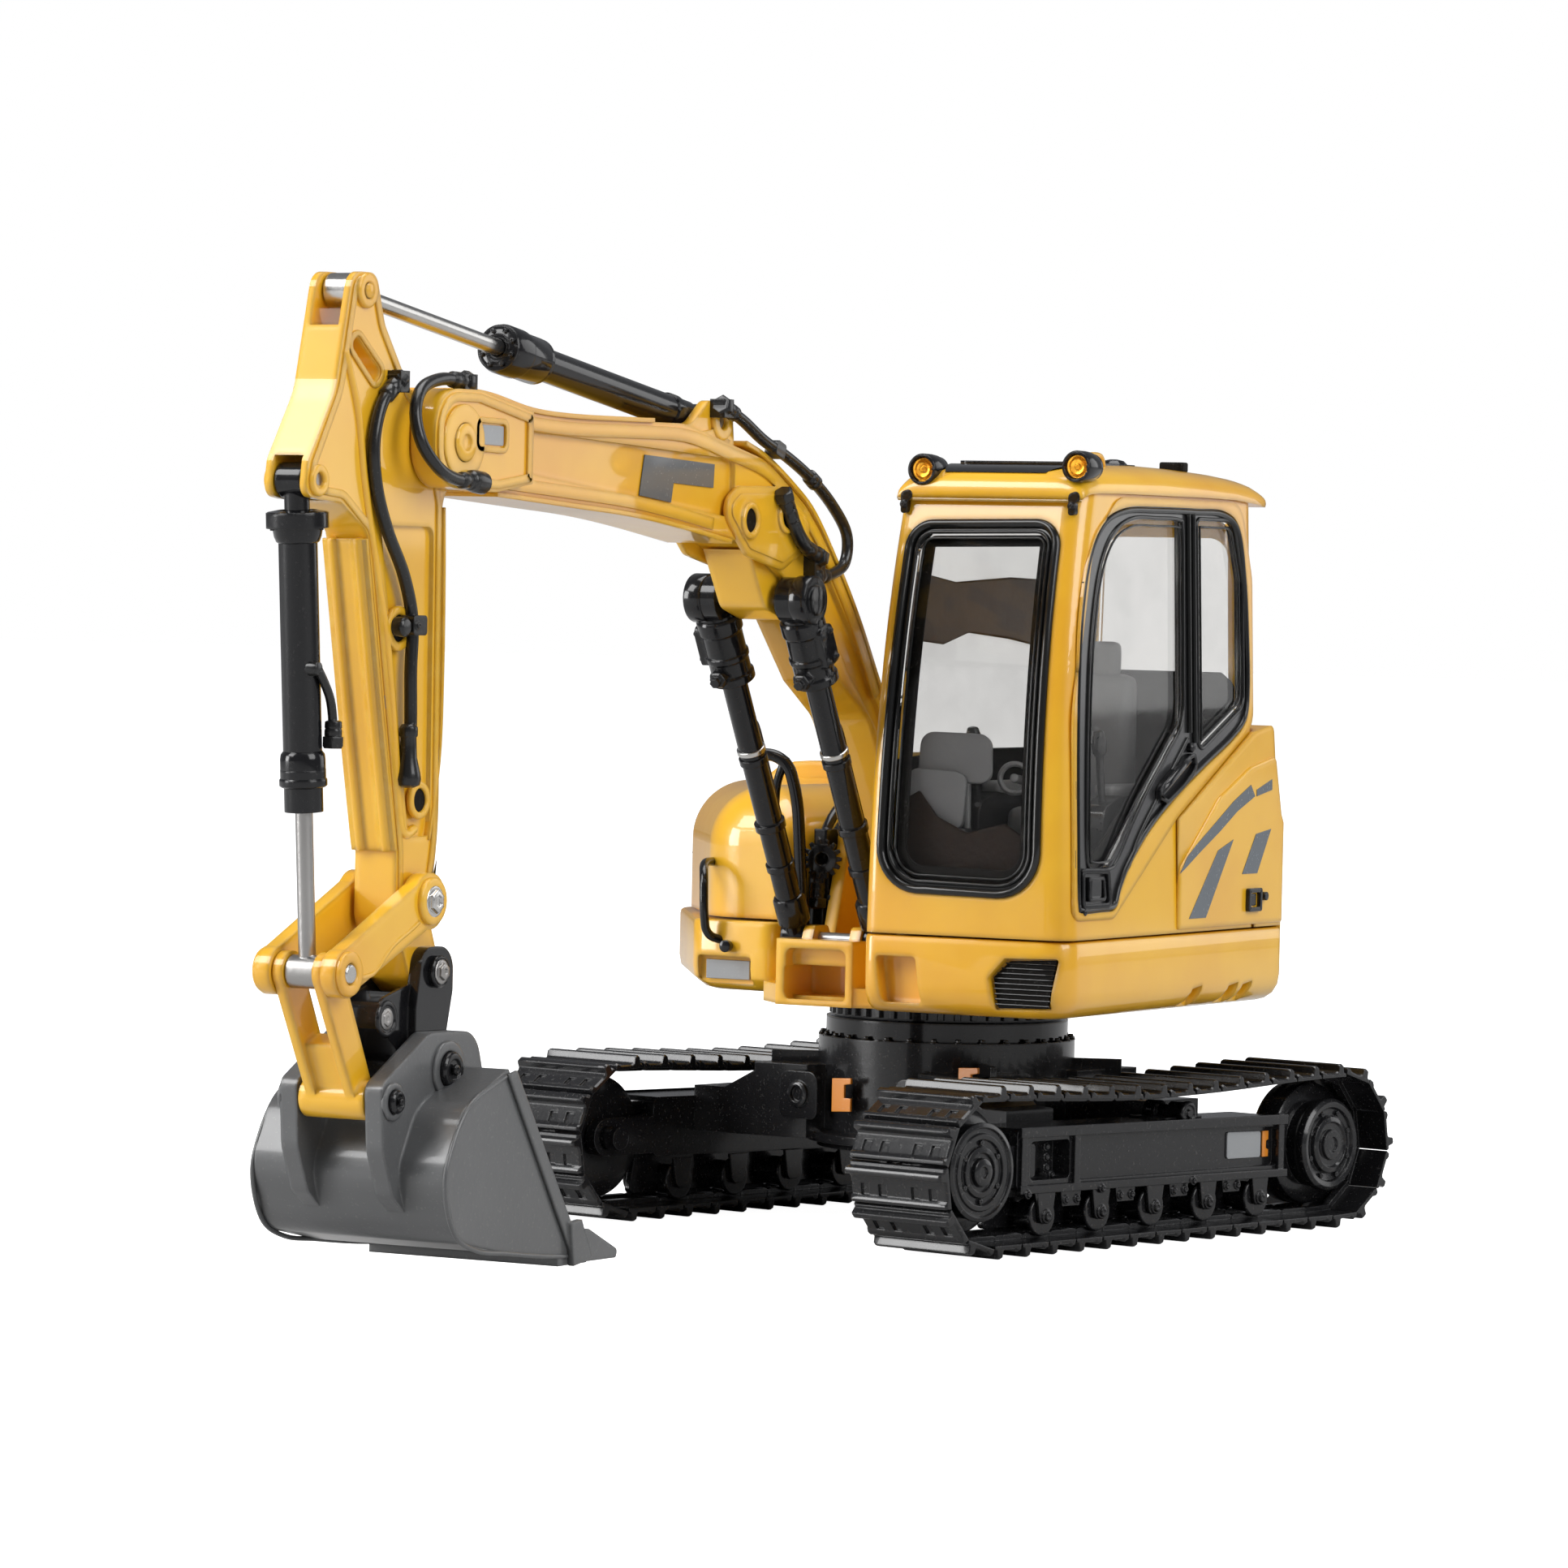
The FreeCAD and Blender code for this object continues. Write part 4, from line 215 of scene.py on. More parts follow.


# die-cast surface: soft edges, a faint sprayed texture, changes of tone, edges lightened partly by wear and
# partly as a painted highlight, and specks of dust
def buildCastSkin():
    group = bpy.data.node_groups.new("castSkin", "ShaderNodeTree")
    for label, default in (("Color", (0.5, 0.5, 0.5, 1)), ("Deep Color", (0.4, 0.4, 0.4, 1)),
                           ("Edge Wear And Highlight Color", (0.7, 0.7, 0.7, 1)), ("Edge Wear And Highlight Amount", 0.3), ("Gloss", 0.2),
                           ("Peel", 0.1), ("Dust", 0.1), ("Edge Radius", 0.00016)):
        kind = "NodeSocketColor" if isinstance(default, tuple) else "NodeSocketFloat"
        group.interface.new_socket(name=label, in_out="INPUT", socket_type=kind).default_value = default
    for label, kind in (("Color", "Color"), ("Roughness", "Float"), ("Normal", "Vector")):
        group.interface.new_socket(name=label, in_out="OUTPUT", socket_type="NodeSocket" + kind)
    source, result = node(group, "NodeGroupInput").outputs, node(group, "NodeGroupOutput").inputs
    place = node(group, "ShaderNodeTexCoord").outputs["Object"]
    soft = node(group, "ShaderNodeBevel", samples=skinLook["edgeSamples"])
    group.links.new(source["Edge Radius"], soft.inputs["Radius"])
    flat = node(group, "ShaderNodeNewGeometry")
    turn = node(group, "ShaderNodeVectorMath", operation="DOT_PRODUCT")
    group.links.new(soft.outputs["Normal"], turn.inputs[0])
    group.links.new(flat.outputs["Normal"], turn.inputs[1])
    bent = mathNode(group, "SUBTRACT", 1.0, turn.outputs["Value"])
    broad, fine, peel, speck = [noiseNode(group, place, *skinLook[name])
                                for name in ("broad", "fine", "peel", "speck")]
    tone = mathNode(group, "MULTIPLY", rangeNode(group, broad, *skinLook["tone"]), skinLook["toneShare"])
    base = mixColor(group, tone, source["Color"], source["Deep Color"])
    # edges lightened towards the edge colour in patches: partly wear, partly a painted highlight
    wornAndHighlit = rangeNode(group, bent, *skinLook["wornAndHighlit"])
    wornAndHighlit = mathNode(group, "MULTIPLY", wornAndHighlit, rangeNode(group, fine, *skinLook["patch"]))
    wearAndHighlight = mathNode(group, "MULTIPLY", wornAndHighlit, source["Edge Wear And Highlight Amount"], True)
    edged = mixColor(group, wearAndHighlight, base, source["Edge Wear And Highlight Color"])
    dusty = mathNode(group, "MULTIPLY", rangeNode(group, speck, *skinLook["dust"]), source["Dust"], True)
    group.links.new(mixColor(group, dusty, edged, skinLook["dustColor"]), result["Color"])
    rough = mathNode(group, "ADD", source["Gloss"], mathNode(group, "MULTIPLY", fine, skinLook["fineRough"]))
    rough = mathNode(group, "ADD", rough, mathNode(group, "MULTIPLY", dusty, skinLook["dustRough"]), True)
    group.links.new(rough, result["Roughness"])
    bump = node(group, "ShaderNodeBump")
    bump.inputs["Distance"].default_value = skinLook["bump"]
    group.links.new(source["Peel"], bump.inputs["Strength"])
    group.links.new(peel, bump.inputs["Height"])
    group.links.new(soft.outputs["Normal"], bump.inputs["Normal"])
    group.links.new(bump.outputs["Normal"], result["Normal"])
    return group


castSkin = buildCastSkin()


# skin: edge lightening (partly wear, partly painted highlight), roughness, sprayed texture, dust, radius of
# the soft edges in metres; edge is the lighter edge colour, partly wear and partly painted highlight
def finish(name, color, deep, edge, skin, metallic=0.0, coat=0.0, coatRough=0.05, specular=0.5):
    material, tree, shader = newMaterial(name)
    skinNode = node(tree, "ShaderNodeGroup", node_tree=castSkin)
    for label, value in (("Color", color), ("Deep Color", deep), ("Edge Wear And Highlight Color", edge)):
        skinNode.inputs[label].default_value = (*value, 1)
    for label, value in zip(("Edge Wear And Highlight Amount", "Gloss", "Peel", "Dust", "Edge Radius"), skin):
        skinNode.inputs[label].default_value = value
    for label, socket in (("Color", "Base Color"), ("Roughness", "Roughness"), ("Normal", "Normal")):
        tree.links.new(skinNode.outputs[label], shader.inputs[socket])
    for label, value in (("Metallic", metallic), ("Coat Weight", coat), ("Coat Roughness", coatRough),
                         ("Specular IOR Level", specular)):
        shader.inputs[label].default_value = value
    return material


# edge: the lighter colour at the edges, partly wear and partly a painted highlight
finishes = {
    "yellow": dict(color=(0.81, 0.45, 0.018), deep=(0.62, 0.25, 0.006), edge=(0.93, 0.67, 0.17),
                   skin=(0.5, 0.26, 0.05, 0.0, 0.0006), coat=0.75, coatRough=0.04),
    "gloss black": dict(color=(0.008, 0.008, 0.009), deep=(0.004, 0.004, 0.005), edge=(0.06, 0.06, 0.062),
                        skin=(0.4, 0.12, 0.05, 0.02, 0.0002), coat=0.35, coatRough=0.03, specular=0.25),
    "track black": dict(color=(0.011, 0.011, 0.012), deep=(0.005, 0.005, 0.006), edge=(0.14, 0.143, 0.148),
                        skin=(0.6, 0.2, 0.12, 0.06, 0.00014), coat=0.35, coatRough=0.08, specular=0.3),
    "bucket grey": dict(color=(0.098, 0.10, 0.102), deep=(0.055, 0.057, 0.058), edge=(0.28, 0.285, 0.29),
                        skin=(0.6, 0.3, 0.25, 0.06, 0.0003), coat=0.45, coatRough=0.14),
    "door grey": dict(color=(0.022, 0.022, 0.023), deep=(0.013, 0.013, 0.014), edge=(0.09, 0.09, 0.09),
                      skin=(0.3, 0.26, 0.10, 0.04, 0.00025), coat=0.5, coatRough=0.1),
    "gasket": dict(color=(0.008, 0.008, 0.008), deep=(0.005, 0.005, 0.005), edge=(0.05, 0.05, 0.05),
                   skin=(0.2, 0.14, 0.04, 0.0, 0.00028), coat=0.4, coatRough=0.05, specular=0.25),
    "hose rubber": dict(color=(0.010, 0.010, 0.010), deep=(0.007, 0.007, 0.007), edge=(0.04, 0.04, 0.04),
                        skin=(0.2, 0.25, 0.2, 0.04, 0.00015), coat=0.35, coatRough=0.12, specular=0.3),
    "bright steel": dict(color=(0.62, 0.61, 0.59), deep=(0.50, 0.49, 0.47), edge=(0.8, 0.79, 0.77),
                         skin=(0.4, 0.2, 0.2, 0.05, 0.0001), metallic=1.0),
    "pin steel": dict(color=(0.42, 0.41, 0.40), deep=(0.30, 0.29, 0.28), edge=(0.7, 0.69, 0.67),
                      skin=(0.5, 0.3, 0.3, 0.1, 0.0001), metallic=1.0),
    "decal grey": dict(color=(0.088, 0.105, 0.122), deep=(0.07, 0.085, 0.10), edge=(0.25, 0.28, 0.31),
                       skin=(0.2, 0.22, 0.08, 0.06, 0.00005), coat=0.45, coatRough=0.07),
    "seat plastic": dict(color=(0.15, 0.15, 0.152), deep=(0.10, 0.10, 0.10), edge=(0.12, 0.12, 0.12),
                         skin=(0.3, 0.5, 0.6, 0.1, 0.0003)),
    "screen grey": dict(color=(0.19, 0.19, 0.195), deep=(0.06, 0.06, 0.06), edge=(0.32, 0.31, 0.30),
                        skin=(0.4, 0.35, 0.3, 0.05, 0.0002), coat=0.3),
    "deep black": dict(color=(0.006, 0.005, 0.004), deep=(0.004, 0.003, 0.003), edge=(0.02, 0.018, 0.015),
                       skin=(0.2, 0.45, 0.3, 0.05, 0.0001), specular=0.08),
    "orange part": dict(color=(0.72, 0.25, 0.02), deep=(0.6, 0.18, 0.012), edge=(0.85, 0.35, 0.1),
                        skin=(0.4, 0.28, 0.2, 0.1, 0.0001), coat=0.4),
    "lining brown": dict(color=(0.070, 0.036, 0.014), deep=(0.035, 0.018, 0.007), edge=(0.06, 0.04, 0.02),
                         skin=(0.2, 0.5, 0.4, 0.05, 0.0002)),
    "dark brown": dict(color=(0.014, 0.0055, 0.0015), deep=(0.005, 0.002, 0.001), edge=(0.05, 0.025, 0.01),
                       skin=(0.2, 0.35, 0.8, 0.0, 0.0002), specular=0.15),
    "amber bowl": dict(color=(0.88, 0.56, 0.12), deep=(0.6, 0.33, 0.05), edge=(0.95, 0.75, 0.35),
                       skin=(0.3, 0.2, 0.5, 0.0, 0.0001), metallic=0.9),
    "plate grey": dict(color=(0.30, 0.31, 0.32), deep=(0.24, 0.25, 0.26), edge=(0.7, 0.7, 0.7),
                       skin=(0.3, 0.3, 0.1, 0.1, 0.00006), coat=0.3),
}
mats = {name: finish(name.replace(" ", "_"), **values) for name, values in finishes.items()}


# glass, which darkens a little in broad smears
def makeGlass(name, tint, rough):
    material, tree, shader = newMaterial(name)
    place = node(tree, "ShaderNodeTexCoord").outputs["Object"]
    smear = noiseNode(tree, place, 160.0, 4.0, 0.6)
    shade = mixColor(tree, rangeNode(tree, smear, 0.35, 0.7), (*tint, 1), (*[v * 0.93 for v in tint], 1))
    tree.links.new(shade, shader.inputs["Base Color"])
    tree.links.new(rangeNode(tree, smear, 0.3, 0.8, (rough, rough + 0.05)), shader.inputs["Roughness"])
    for label, value in (("Transmission Weight", 1.0), ("IOR", 1.2), ("Specular IOR Level", 0.25)):
        shader.inputs[label].default_value = value
    return material


mats["window"] = makeGlass("window", (0.80, 0.795, 0.785), 0.01)
mats["amber"] = makeGlass("amber", (0.97, 0.74, 0.34), 0.04)
print("finishes ready")

# finishes of the carried-over pieces
nodeFinish = {
    "gloss black": ("boom_cylinder_barrels", "boom_cylinder_rods", "arm_cylinder_barrel",
                    "bucket_cylinder_barrel", "hydraulic_block", "guard_frame", "hood_rail", "work_lamps",
                    "coupler", "slewing_ring_lower", "slewing_ring_upper"),
    "track black": ("track_left", "track_right", "idler_left", "idler_right", "sprocket_left",
                    "sprocket_right", "track_beam_left", "track_beam_right", "rollers_left", "rollers_right",
                    "car_body"),
    "bucket grey": ("bucket",),
    "door grey": ("door",),
    "deep black": ("front_grille",),
    "gasket": ("front_window_seal",),
    "hose rubber": ("boom_hoses", "arm_hoses"),
    "bright steel": ("arm_cylinder_rod",),
    "pin steel": ("bucket_cylinder_rod", "house_pins", "boom_pins", "arm_pins", "bucket_pins",
                  "rocker_joint_pin"),
    "seat plastic": ("seat", "controls"),
    "window": ("windows",),
    "amber": ("lamp_lenses",),
}
chosen = {name: finishName for finishName, names in nodeFinish.items() for name in names}
for name, thing in nodes.items():
    for slot in thing.material_slots:
        slot.material = mats[chosen.get(name, "yellow")]
print("carried-over pieces finished")

# build: a bmesh in millimetres, in the frame's own axes; bevel: width of the softened edges
def addPiece(name, build, finishName, body, bevel=0.0, smooth=35.0, segments=2):
    build.transform(Matrix.Scale(mm, 4))
    bmesh.ops.recalc_face_normals(build, faces=build.faces)
    mesh = bpy.data.meshes.new(name)
    build.to_mesh(mesh)
    build.free()
    mesh.materials.append(mats[finishName])
    piece = bpy.data.objects.new(name, mesh)
    scene.collection.objects.link(piece)
    mesh.shade_smooth()
    mesh.set_sharp_from_angle(angle=math.radians(smooth))
    if bevel:
        edge = piece.modifiers.new("softEdges", "BEVEL")
        edge.width = bevel * mm
        edge.segments = segments
        edge.limit_method = "ANGLE"
        edge.angle_limit = math.radians(32)
        edge.harden_normals = False
    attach(piece, body)
    return piece


# angles of a full turn in even steps, shifted by a share of one step
def turnsOf(count, shift=0.0):
    return [2 * math.pi * (i + shift) / count for i in range(count)]


# walls between rings of points, ended with caps or, when closed, joined up
def skin(build, rings, closed=False):
    for low, high in zip(rings, rings[1:] + (rings[:1] if closed else [])):
        for i in range(len(low)):
            j = (i + 1) % len(low)
            build.faces.new((low[i], low[j], high[j], high[i]))
    if not closed:
        build.faces.new(rings[0][::-1])
        build.faces.new(rings[-1])


# matrix that puts local Z along out and local Y near up
def standing(place, out=(0, 0, 1), up=(0, 1, 0)):
    z = Vector(out).normalized()
    x = Vector(up).cross(z).normalized()
    y = z.cross(x)
    return Matrix.Translation(Vector(place)) @ Matrix((x, y, z)).transposed().to_4x4()


# profile: (radius, height) pairs turned about the local Z axis
def lathe(build, profile, place, out, count=40, hollow=False):
    matrix = standing(place, out, (0, 1, 0) if abs(Vector(out).normalized().y) < 0.9 else (1, 0, 0))
    rings = []
    for radius, height in profile:
        if radius < 1e-6:
            rings.append([build.verts.new(matrix @ Vector((0, 0, height)))])
            continue
        ring = [Vector((radius * math.cos(turn), radius * math.sin(turn), height)) for turn in turnsOf(count)]
        rings.append([build.verts.new(matrix @ point) for point in ring])
    for low, high in zip(rings, rings[1:] + (rings[:1] if hollow else [])):
        for i in range(count):
            j = (i + 1) % count
            ring = [low[i % len(low)], low[j % len(low)], high[j % len(high)], high[i % len(high)]]
            corners = list(dict.fromkeys(ring))
            if len(corners) > 2:
                build.faces.new(corners)
    for ring in (rings[0], rings[-1]):
        if len(ring) > 2 and not hollow:
            build.faces.new(ring)


# outline: (x, y) corners in the local plane, thick along local Z
def slab(build, outline, thick, matrix):
    skin(build, [[build.verts.new(matrix @ Vector((x, y, z))) for x, y in outline] for z in (0, thick)])


# a block between two corners
def chunk(build, low, high):
    wide, deep, tall = Vector(high) - Vector(low)
    slab(build, ((0, 0), (wide, 0), (wide, deep), (0, deep)), tall, Matrix.Translation(low))


# plane X = x with local X and Y along Y and Z; local Z goes along X or, with sign -1, against it
def sidePlane(x, sign=1):
    return Matrix(((0, 0, sign, x), (1, 0, 0, 0), (0, 1, 0, 0), (0, 0, 0, 1)))


# outline: (y, z) corners on the plane X = x; thick goes towards +X
def sidePlate(build, outline, x, thick):
    slab(build, outline, thick, sidePlane(x))


# outline: (x, z) corners on the plane Y = y; thick goes towards -Y
def frontPlate(build, outline, y, thick):
    slab(build, outline, thick, Matrix(((1, 0, 0, 0), (0, 0, -1, y), (0, 1, 0, 0), (0, 0, 0, 1))))


# outline with rounded corners: (u, v, radius) or (u, v)
def rounded(corners, step=6):
    result = []
    count = len(corners)
    for i, corner in enumerate(corners):
        here = Vector(corner[:2])
        radius = corner[2] if len(corner) > 2 else 0
        if not radius:
            result.append(tuple(here))
            continue
        back = (Vector(corners[i - 1][:2]) - here).normalized()
        ahead = (Vector(corners[(i + 1) % count][:2]) - here).normalized()
        half = back.angle(ahead) / 2
        reach = radius / math.tan(half)
        middle = here + (back + ahead).normalized() * (radius / math.sin(half))
        first, last = here + back * reach - middle, here + ahead * reach - middle
        turn = first.angle_signed(last)
        for k in range(step + 1):
            spin = Matrix.Rotation(-turn * k / step, 2)
            result.append(tuple(middle + spin @ first))
    return result


# a round tube along smooth points
def tubeMesh(build, points, radius, count=12, closed=False):
    path = [Vector(p) for p in points]
    rings = []
    normal = None
    for i, point in enumerate(path):
        ahead = path[(i + 1) % len(path)] if closed or i + 1 < len(path) else point
        back = path[i - 1] if closed or i else point
        along = (ahead - back).normalized()
        if normal is None:
            normal = along.orthogonal().normalized()
        normal = (normal - along * normal.dot(along)).normalized()
        other = along.cross(normal)
        rings.append([build.verts.new(point + (normal * math.cos(turn) + other * math.sin(turn)) * radius)
                      for turn in turnsOf(count)])
    skin(build, rings, closed)


# points on a Catmull-Rom curve through the given ones
def smoothPath(points, step=8):
    path = [Vector(p) for p in points]
    ends = [path[0] * 2 - path[1]] + path + [path[-1] * 2 - path[-2]]
    result = []
    for i in range(1, len(ends) - 2):
        a, b, c, d = ends[i - 1:i + 3]
        for k in range(step):
            t = k / step
            result.append(0.5 * ((2 * b) + (c - a) * t + (2 * a - 5 * b + 4 * c - d) * t * t
                                 + (3 * b - a - 3 * c + d) * t ** 3))
    result.append(path[-1])
    return result


# smooth (u, v) points through the given ones
def curve(points, step=6):
    return [tuple(p.yz) for p in smoothPath([(0, u, v) for u, v in points], step)]


# block with rounded corners; wide and high are half its sizes
def pad(build, wide, high, soft, thick, matrix):
    corners = ((-wide, -high, soft), (wide, -high, soft), (wide, high, soft), (-wide, high, soft))
    slab(build, rounded(corners), thick, matrix)


# washer, hexagonal head and a small dent in it
def bolt(build, place, out, radius=0.34, high=0.26, washer=True):
    if washer:
        lathe(build, ((0, 0), (radius * 1.45, 0), (radius * 1.45, high * 0.3), (radius * 1.3, high * 0.42),
                      (0, high * 0.42)), place, out, 20)
    lathe(build, ((0, high * 0.3), (radius, high * 0.3), (radius, high * 0.9), (radius * 0.8, high),
                  (radius * 0.42, high), (radius * 0.36, high * 0.8), (0, high * 0.75)), place, out, 6)


# tracks: separate shoes on a chain, in the turned frame of the undercarriage
track = {
    "span": 38.36, "radius": 5.71, "band": 1.3, "lift": 0.03, "sag": 0.55, "centre": 16.25, "shoes": 38,
    "park": -12.0,
    # top of a shoe: share of the pitch, height over the pitch line
    "profile": ((0.02, -0.12), (0.03, 0.16), (0.10, 0.24), (0.17, 0.16), (0.21, 0.06), (0.48, 0.05),
                (0.62, 0.06), (0.68, 0.16), (0.715, 0.58), (0.75, 0.64), (0.83, 0.64), (0.87, 0.58),
                (0.895, 0.10), (0.965, 0.06), (0.98, -0.12)),
    "columns": (-4.13, -3.98, -3.25, -2.55, -1.75, -1.05, 1.05, 1.75, 2.55, 3.25, 3.98, 4.13),
    "rim": -0.12, "under": -0.26, "endDrop": 0.10,
    # dents: row, columns, width of the rim, depth
    "dentRow": 4, "dents": (2, 4, 6, 8), "dentRim": 0.16, "dentDepth": 0.14,
    # chain link: share of the pitch, height
    "link": ((-0.56, -0.5), (-0.46, -0.62), (0.36, -0.62), (0.47, -0.5), (0.47, -0.26), (-0.56, -0.26)),
    "linkThick": 0.6, "linkPlaces": (-1.72, 1.12),
}
sides = ((1, "left"), (-1, "right"))
parked = Matrix.Rotation(math.radians(track["park"]), 4, "Z")


# point on the loop at a share of its length, and the way out of it
def trackPath(share):
    span, radius = track["span"], track["radius"] - track["band"] / 2
    centre, sag = track["radius"] + track["lift"], track["sag"]
    run = (share % 1.0) * (2 * span + 2 * math.pi * radius)
    if run < span:
        return Vector((0, -span / 2 + run, centre - radius)), Vector((0, 0, -1))
    run -= span
    if run < math.pi * radius:
        turn = run / radius
        out = Vector((0, math.sin(turn), -math.cos(turn)))
        return Vector((0, span / 2, centre)) + out * radius, out
    run -= math.pi * radius
    if run < span:
        dip = sag * math.sin(math.pi * run / span) ** 2
        slope = sag * math.pi / span * math.sin(2 * math.pi * run / span)
        return Vector((0, span / 2 - run, centre + radius - dip)), Vector((0, -slope, 1)).normalized()
    turn = (run - span) / radius
    out = Vector((0, -math.sin(turn), math.cos(turn)))
    return Vector((0, -span / 2, centre)) + out * radius, out


# one shoe with its raised bar, four stamped dents and two chain links
def shoe(build, matrix, pitch):
    columns = track["columns"]
    grid = []
    for share, lift in track["profile"]:
        row = []
        for x in columns:
            drop = track["endDrop"] if x in (columns[0], columns[-1]) else 0.0
            along = (share - 0.5) * pitch * (1 - drop * 0.25)
            row.append(build.verts.new(matrix @ Vector((x, along, max(lift - drop, track["rim"])))))
        grid.append(row)
    dents = []
    for i, (low, high) in enumerate(zip(grid, grid[1:])):
        for k in range(len(columns) - 1):
            face = build.faces.new((low[k], low[k + 1], high[k + 1], high[k]))
            if i == track["dentRow"] and k in track["dents"]:
                dents.append(face)
    ends = (track["profile"][0][0], track["profile"][-1][0])
    near, far = [[build.verts.new(matrix @ Vector((x, (share - 0.5) * pitch, track["under"])))
                  for x in (columns[0], columns[-1])] for share in ends]
    build.faces.new((near[0], far[0], far[1], near[1]))
    build.faces.new([near[1]] + grid[0][::-1] + [near[0]])
    build.faces.new([far[0]] + grid[-1] + [far[1]])
    build.faces.new([near[0]] + [row[0] for row in grid] + [far[0]])
    build.faces.new([far[1]] + [row[-1] for row in grid[::-1]] + [near[1]])
    bmesh.ops.inset_individual(build, faces=dents, thickness=track["dentRim"], depth=0.0)
    down = matrix.to_3x3() @ Vector((0, 0, -track["dentDepth"]))
    for face in dents:
        bmesh.ops.translate(build, verts=face.verts, vec=down)
    link = [(share * pitch, high) for share, high in track["link"]]
    for x in track["linkPlaces"]:
        slab(build, link, track["linkThick"], matrix @ sidePlane(x))


pitch = (2 * track["span"] + 2 * math.pi * (track["radius"] - track["band"] / 2)) / track["shoes"]
across = Vector((1, 0, 0))
for side, word in sides:
    build = bmesh.new()
    for i in range(track["shoes"]):
        point, out = trackPath((i + 0.5) / track["shoes"])
        turn = Matrix((across, out.cross(across), out)).transposed().to_4x4()
        place = Matrix.Translation(point + across * side * track["centre"])
        shoe(build, parked @ place @ turn, pitch)
    piece = addPiece("shoes_" + word, build, "track black", "undercarriage", smooth=28)
    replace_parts(piece, "track_" + word)
print("tracks made")


# a piece of the undercarriage, turned with it under the house
def addParked(name, build, finishName="track black", bevel=0.0):
    build.transform(parked)
    return addPiece(name, build, finishName, "undercarriage", bevel)


# wheels: turned discs with grooves and bolted hubs
wheels = {
    "idler": ((0, -1.3), (0.8, -1.3), (0.8, -1.1), (3.9, -1.1), (4.2, -0.95), (4.27, -0.7), (4.27, 0.7),
              (4.2, 0.95), (3.9, 1.1), (3.1, 1.15), (3.16, 2.6), (3.28, 2.72), (3.28, 2.89), (2.98, 2.98),
              (2.88, 2.80), (2.60, 2.80), (2.52, 2.93), (2.20, 2.93), (2.12, 2.72), (1.74, 2.70),
              (1.66, 2.90), (1.32, 2.94), (1.24, 2.74), (0.98, 2.74), (0.92, 3.06), (0.80, 3.12),
              (0.40, 3.12), (0.34, 2.98), (0, 2.98)),
    "sprocket": ((0, -1.3), (0.8, -1.3), (0.8, -1.1), (3.9, -1.1), (4.2, -0.95), (4.27, -0.7), (4.27, 0.7),
                 (4.2, 0.95), (3.9, 1.1), (3.0, 1.2), (3.0, 1.9), (3.16, 2.1), (3.28, 2.45), (3.20, 2.78),
                 (2.95, 2.95), (2.62, 2.89), (2.50, 2.66), (2.05, 2.60), (1.95, 2.92), (1.62, 3.02),
                 (1.50, 2.86), (1.10, 2.84), (1.02, 3.08), (0.55, 3.10), (0.48, 2.96), (0, 2.96)),
    # hub bolts: how many, radius of their circle, distance out
    "idler bolts": (6, 1.93, 2.70), "sprocket bolts": (8, 2.3, 2.62),
    "axle": ((0.8, -3.3), (0.8, 0), (0, 0)),
}
for side, word in sides:
    for kind, along in (("idler", -1), ("sprocket", 1)):
        build = bmesh.new()
        middle = Vector((side * track["centre"], along * track["span"] / 2, track["radius"]))
        lathe(build, wheels[kind], middle, (side, 0, 0), 56)
        count, ring, out = wheels[kind + " bolts"]
        for turn in turnsOf(count, 0.5):
            spot = middle + Vector((side * out, ring * math.cos(turn), ring * math.sin(turn)))
            bolt(build, spot, (side, 0, 0), 0.2, 0.22, False)
        lathe(build, wheels["axle"], middle, (side, 0, 0), 20)
        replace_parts(addParked("%s_wheel_%s" % (kind, word), build), "%s_%s" % (kind, word))
print("wheels made")


# a side plate on the outer flank of either track
def flank(build, outline, side, x, thick):
    sidePlate(build, outline, x if side > 0 else -x - thick, thick)


rollers = {
    "spacing": 5.88, "high": 2.37,
    "lower": ((0, -2.34), (0.5, -2.34), (0.5, -2.1), (1.28, -2.1), (1.36, -2.0), (1.36, -1.86), (1.05, -1.78),
              (1.05, -0.5), (0.8, -0.35), (0.8, 0.35), (1.05, 0.5), (1.05, 1.78), (1.36, 1.86), (1.36, 2.0),
              (1.28, 2.1), (0.5, 2.1), (0.5, 2.34), (0, 2.34)),
    "carrier": ((0, -1.5), (0.72, -1.5), (0.79, -1.4), (0.79, -0.4), (0.55, -0.3), (0.55, 0.5), (0.79, 0.6),
                (0.79, 1.7), (0.86, 1.8), (0.86, 2.0), (0.78, 2.1), (0.6, 2.12), (0.52, 2.02), (0.3, 2.02),
                (0.24, 2.16), (0, 2.16)),
    "carrierPlace": (4.0, 8.49), "seat": ((-0.7, 3.3, 7.6), (0.7, 4.7, 8.3)),
    # hanging plates: half width at the top and at the foot, top, foot, soft corners
    "fork": (0.95, 0.6, 4.0, 1.9, 0.45), "hanger": (1.7, 1.1, 4.1, 2.3, 0.4),
    "cheek": (1.1, 0.9, 4.1, 2.9, 0),
    "guard": ((-15.4, 1.5, 0.4), (-14.6, 5.2, 0.4), (14.6, 5.2, 0.4), (15.4, 1.5, 0.4)),
}
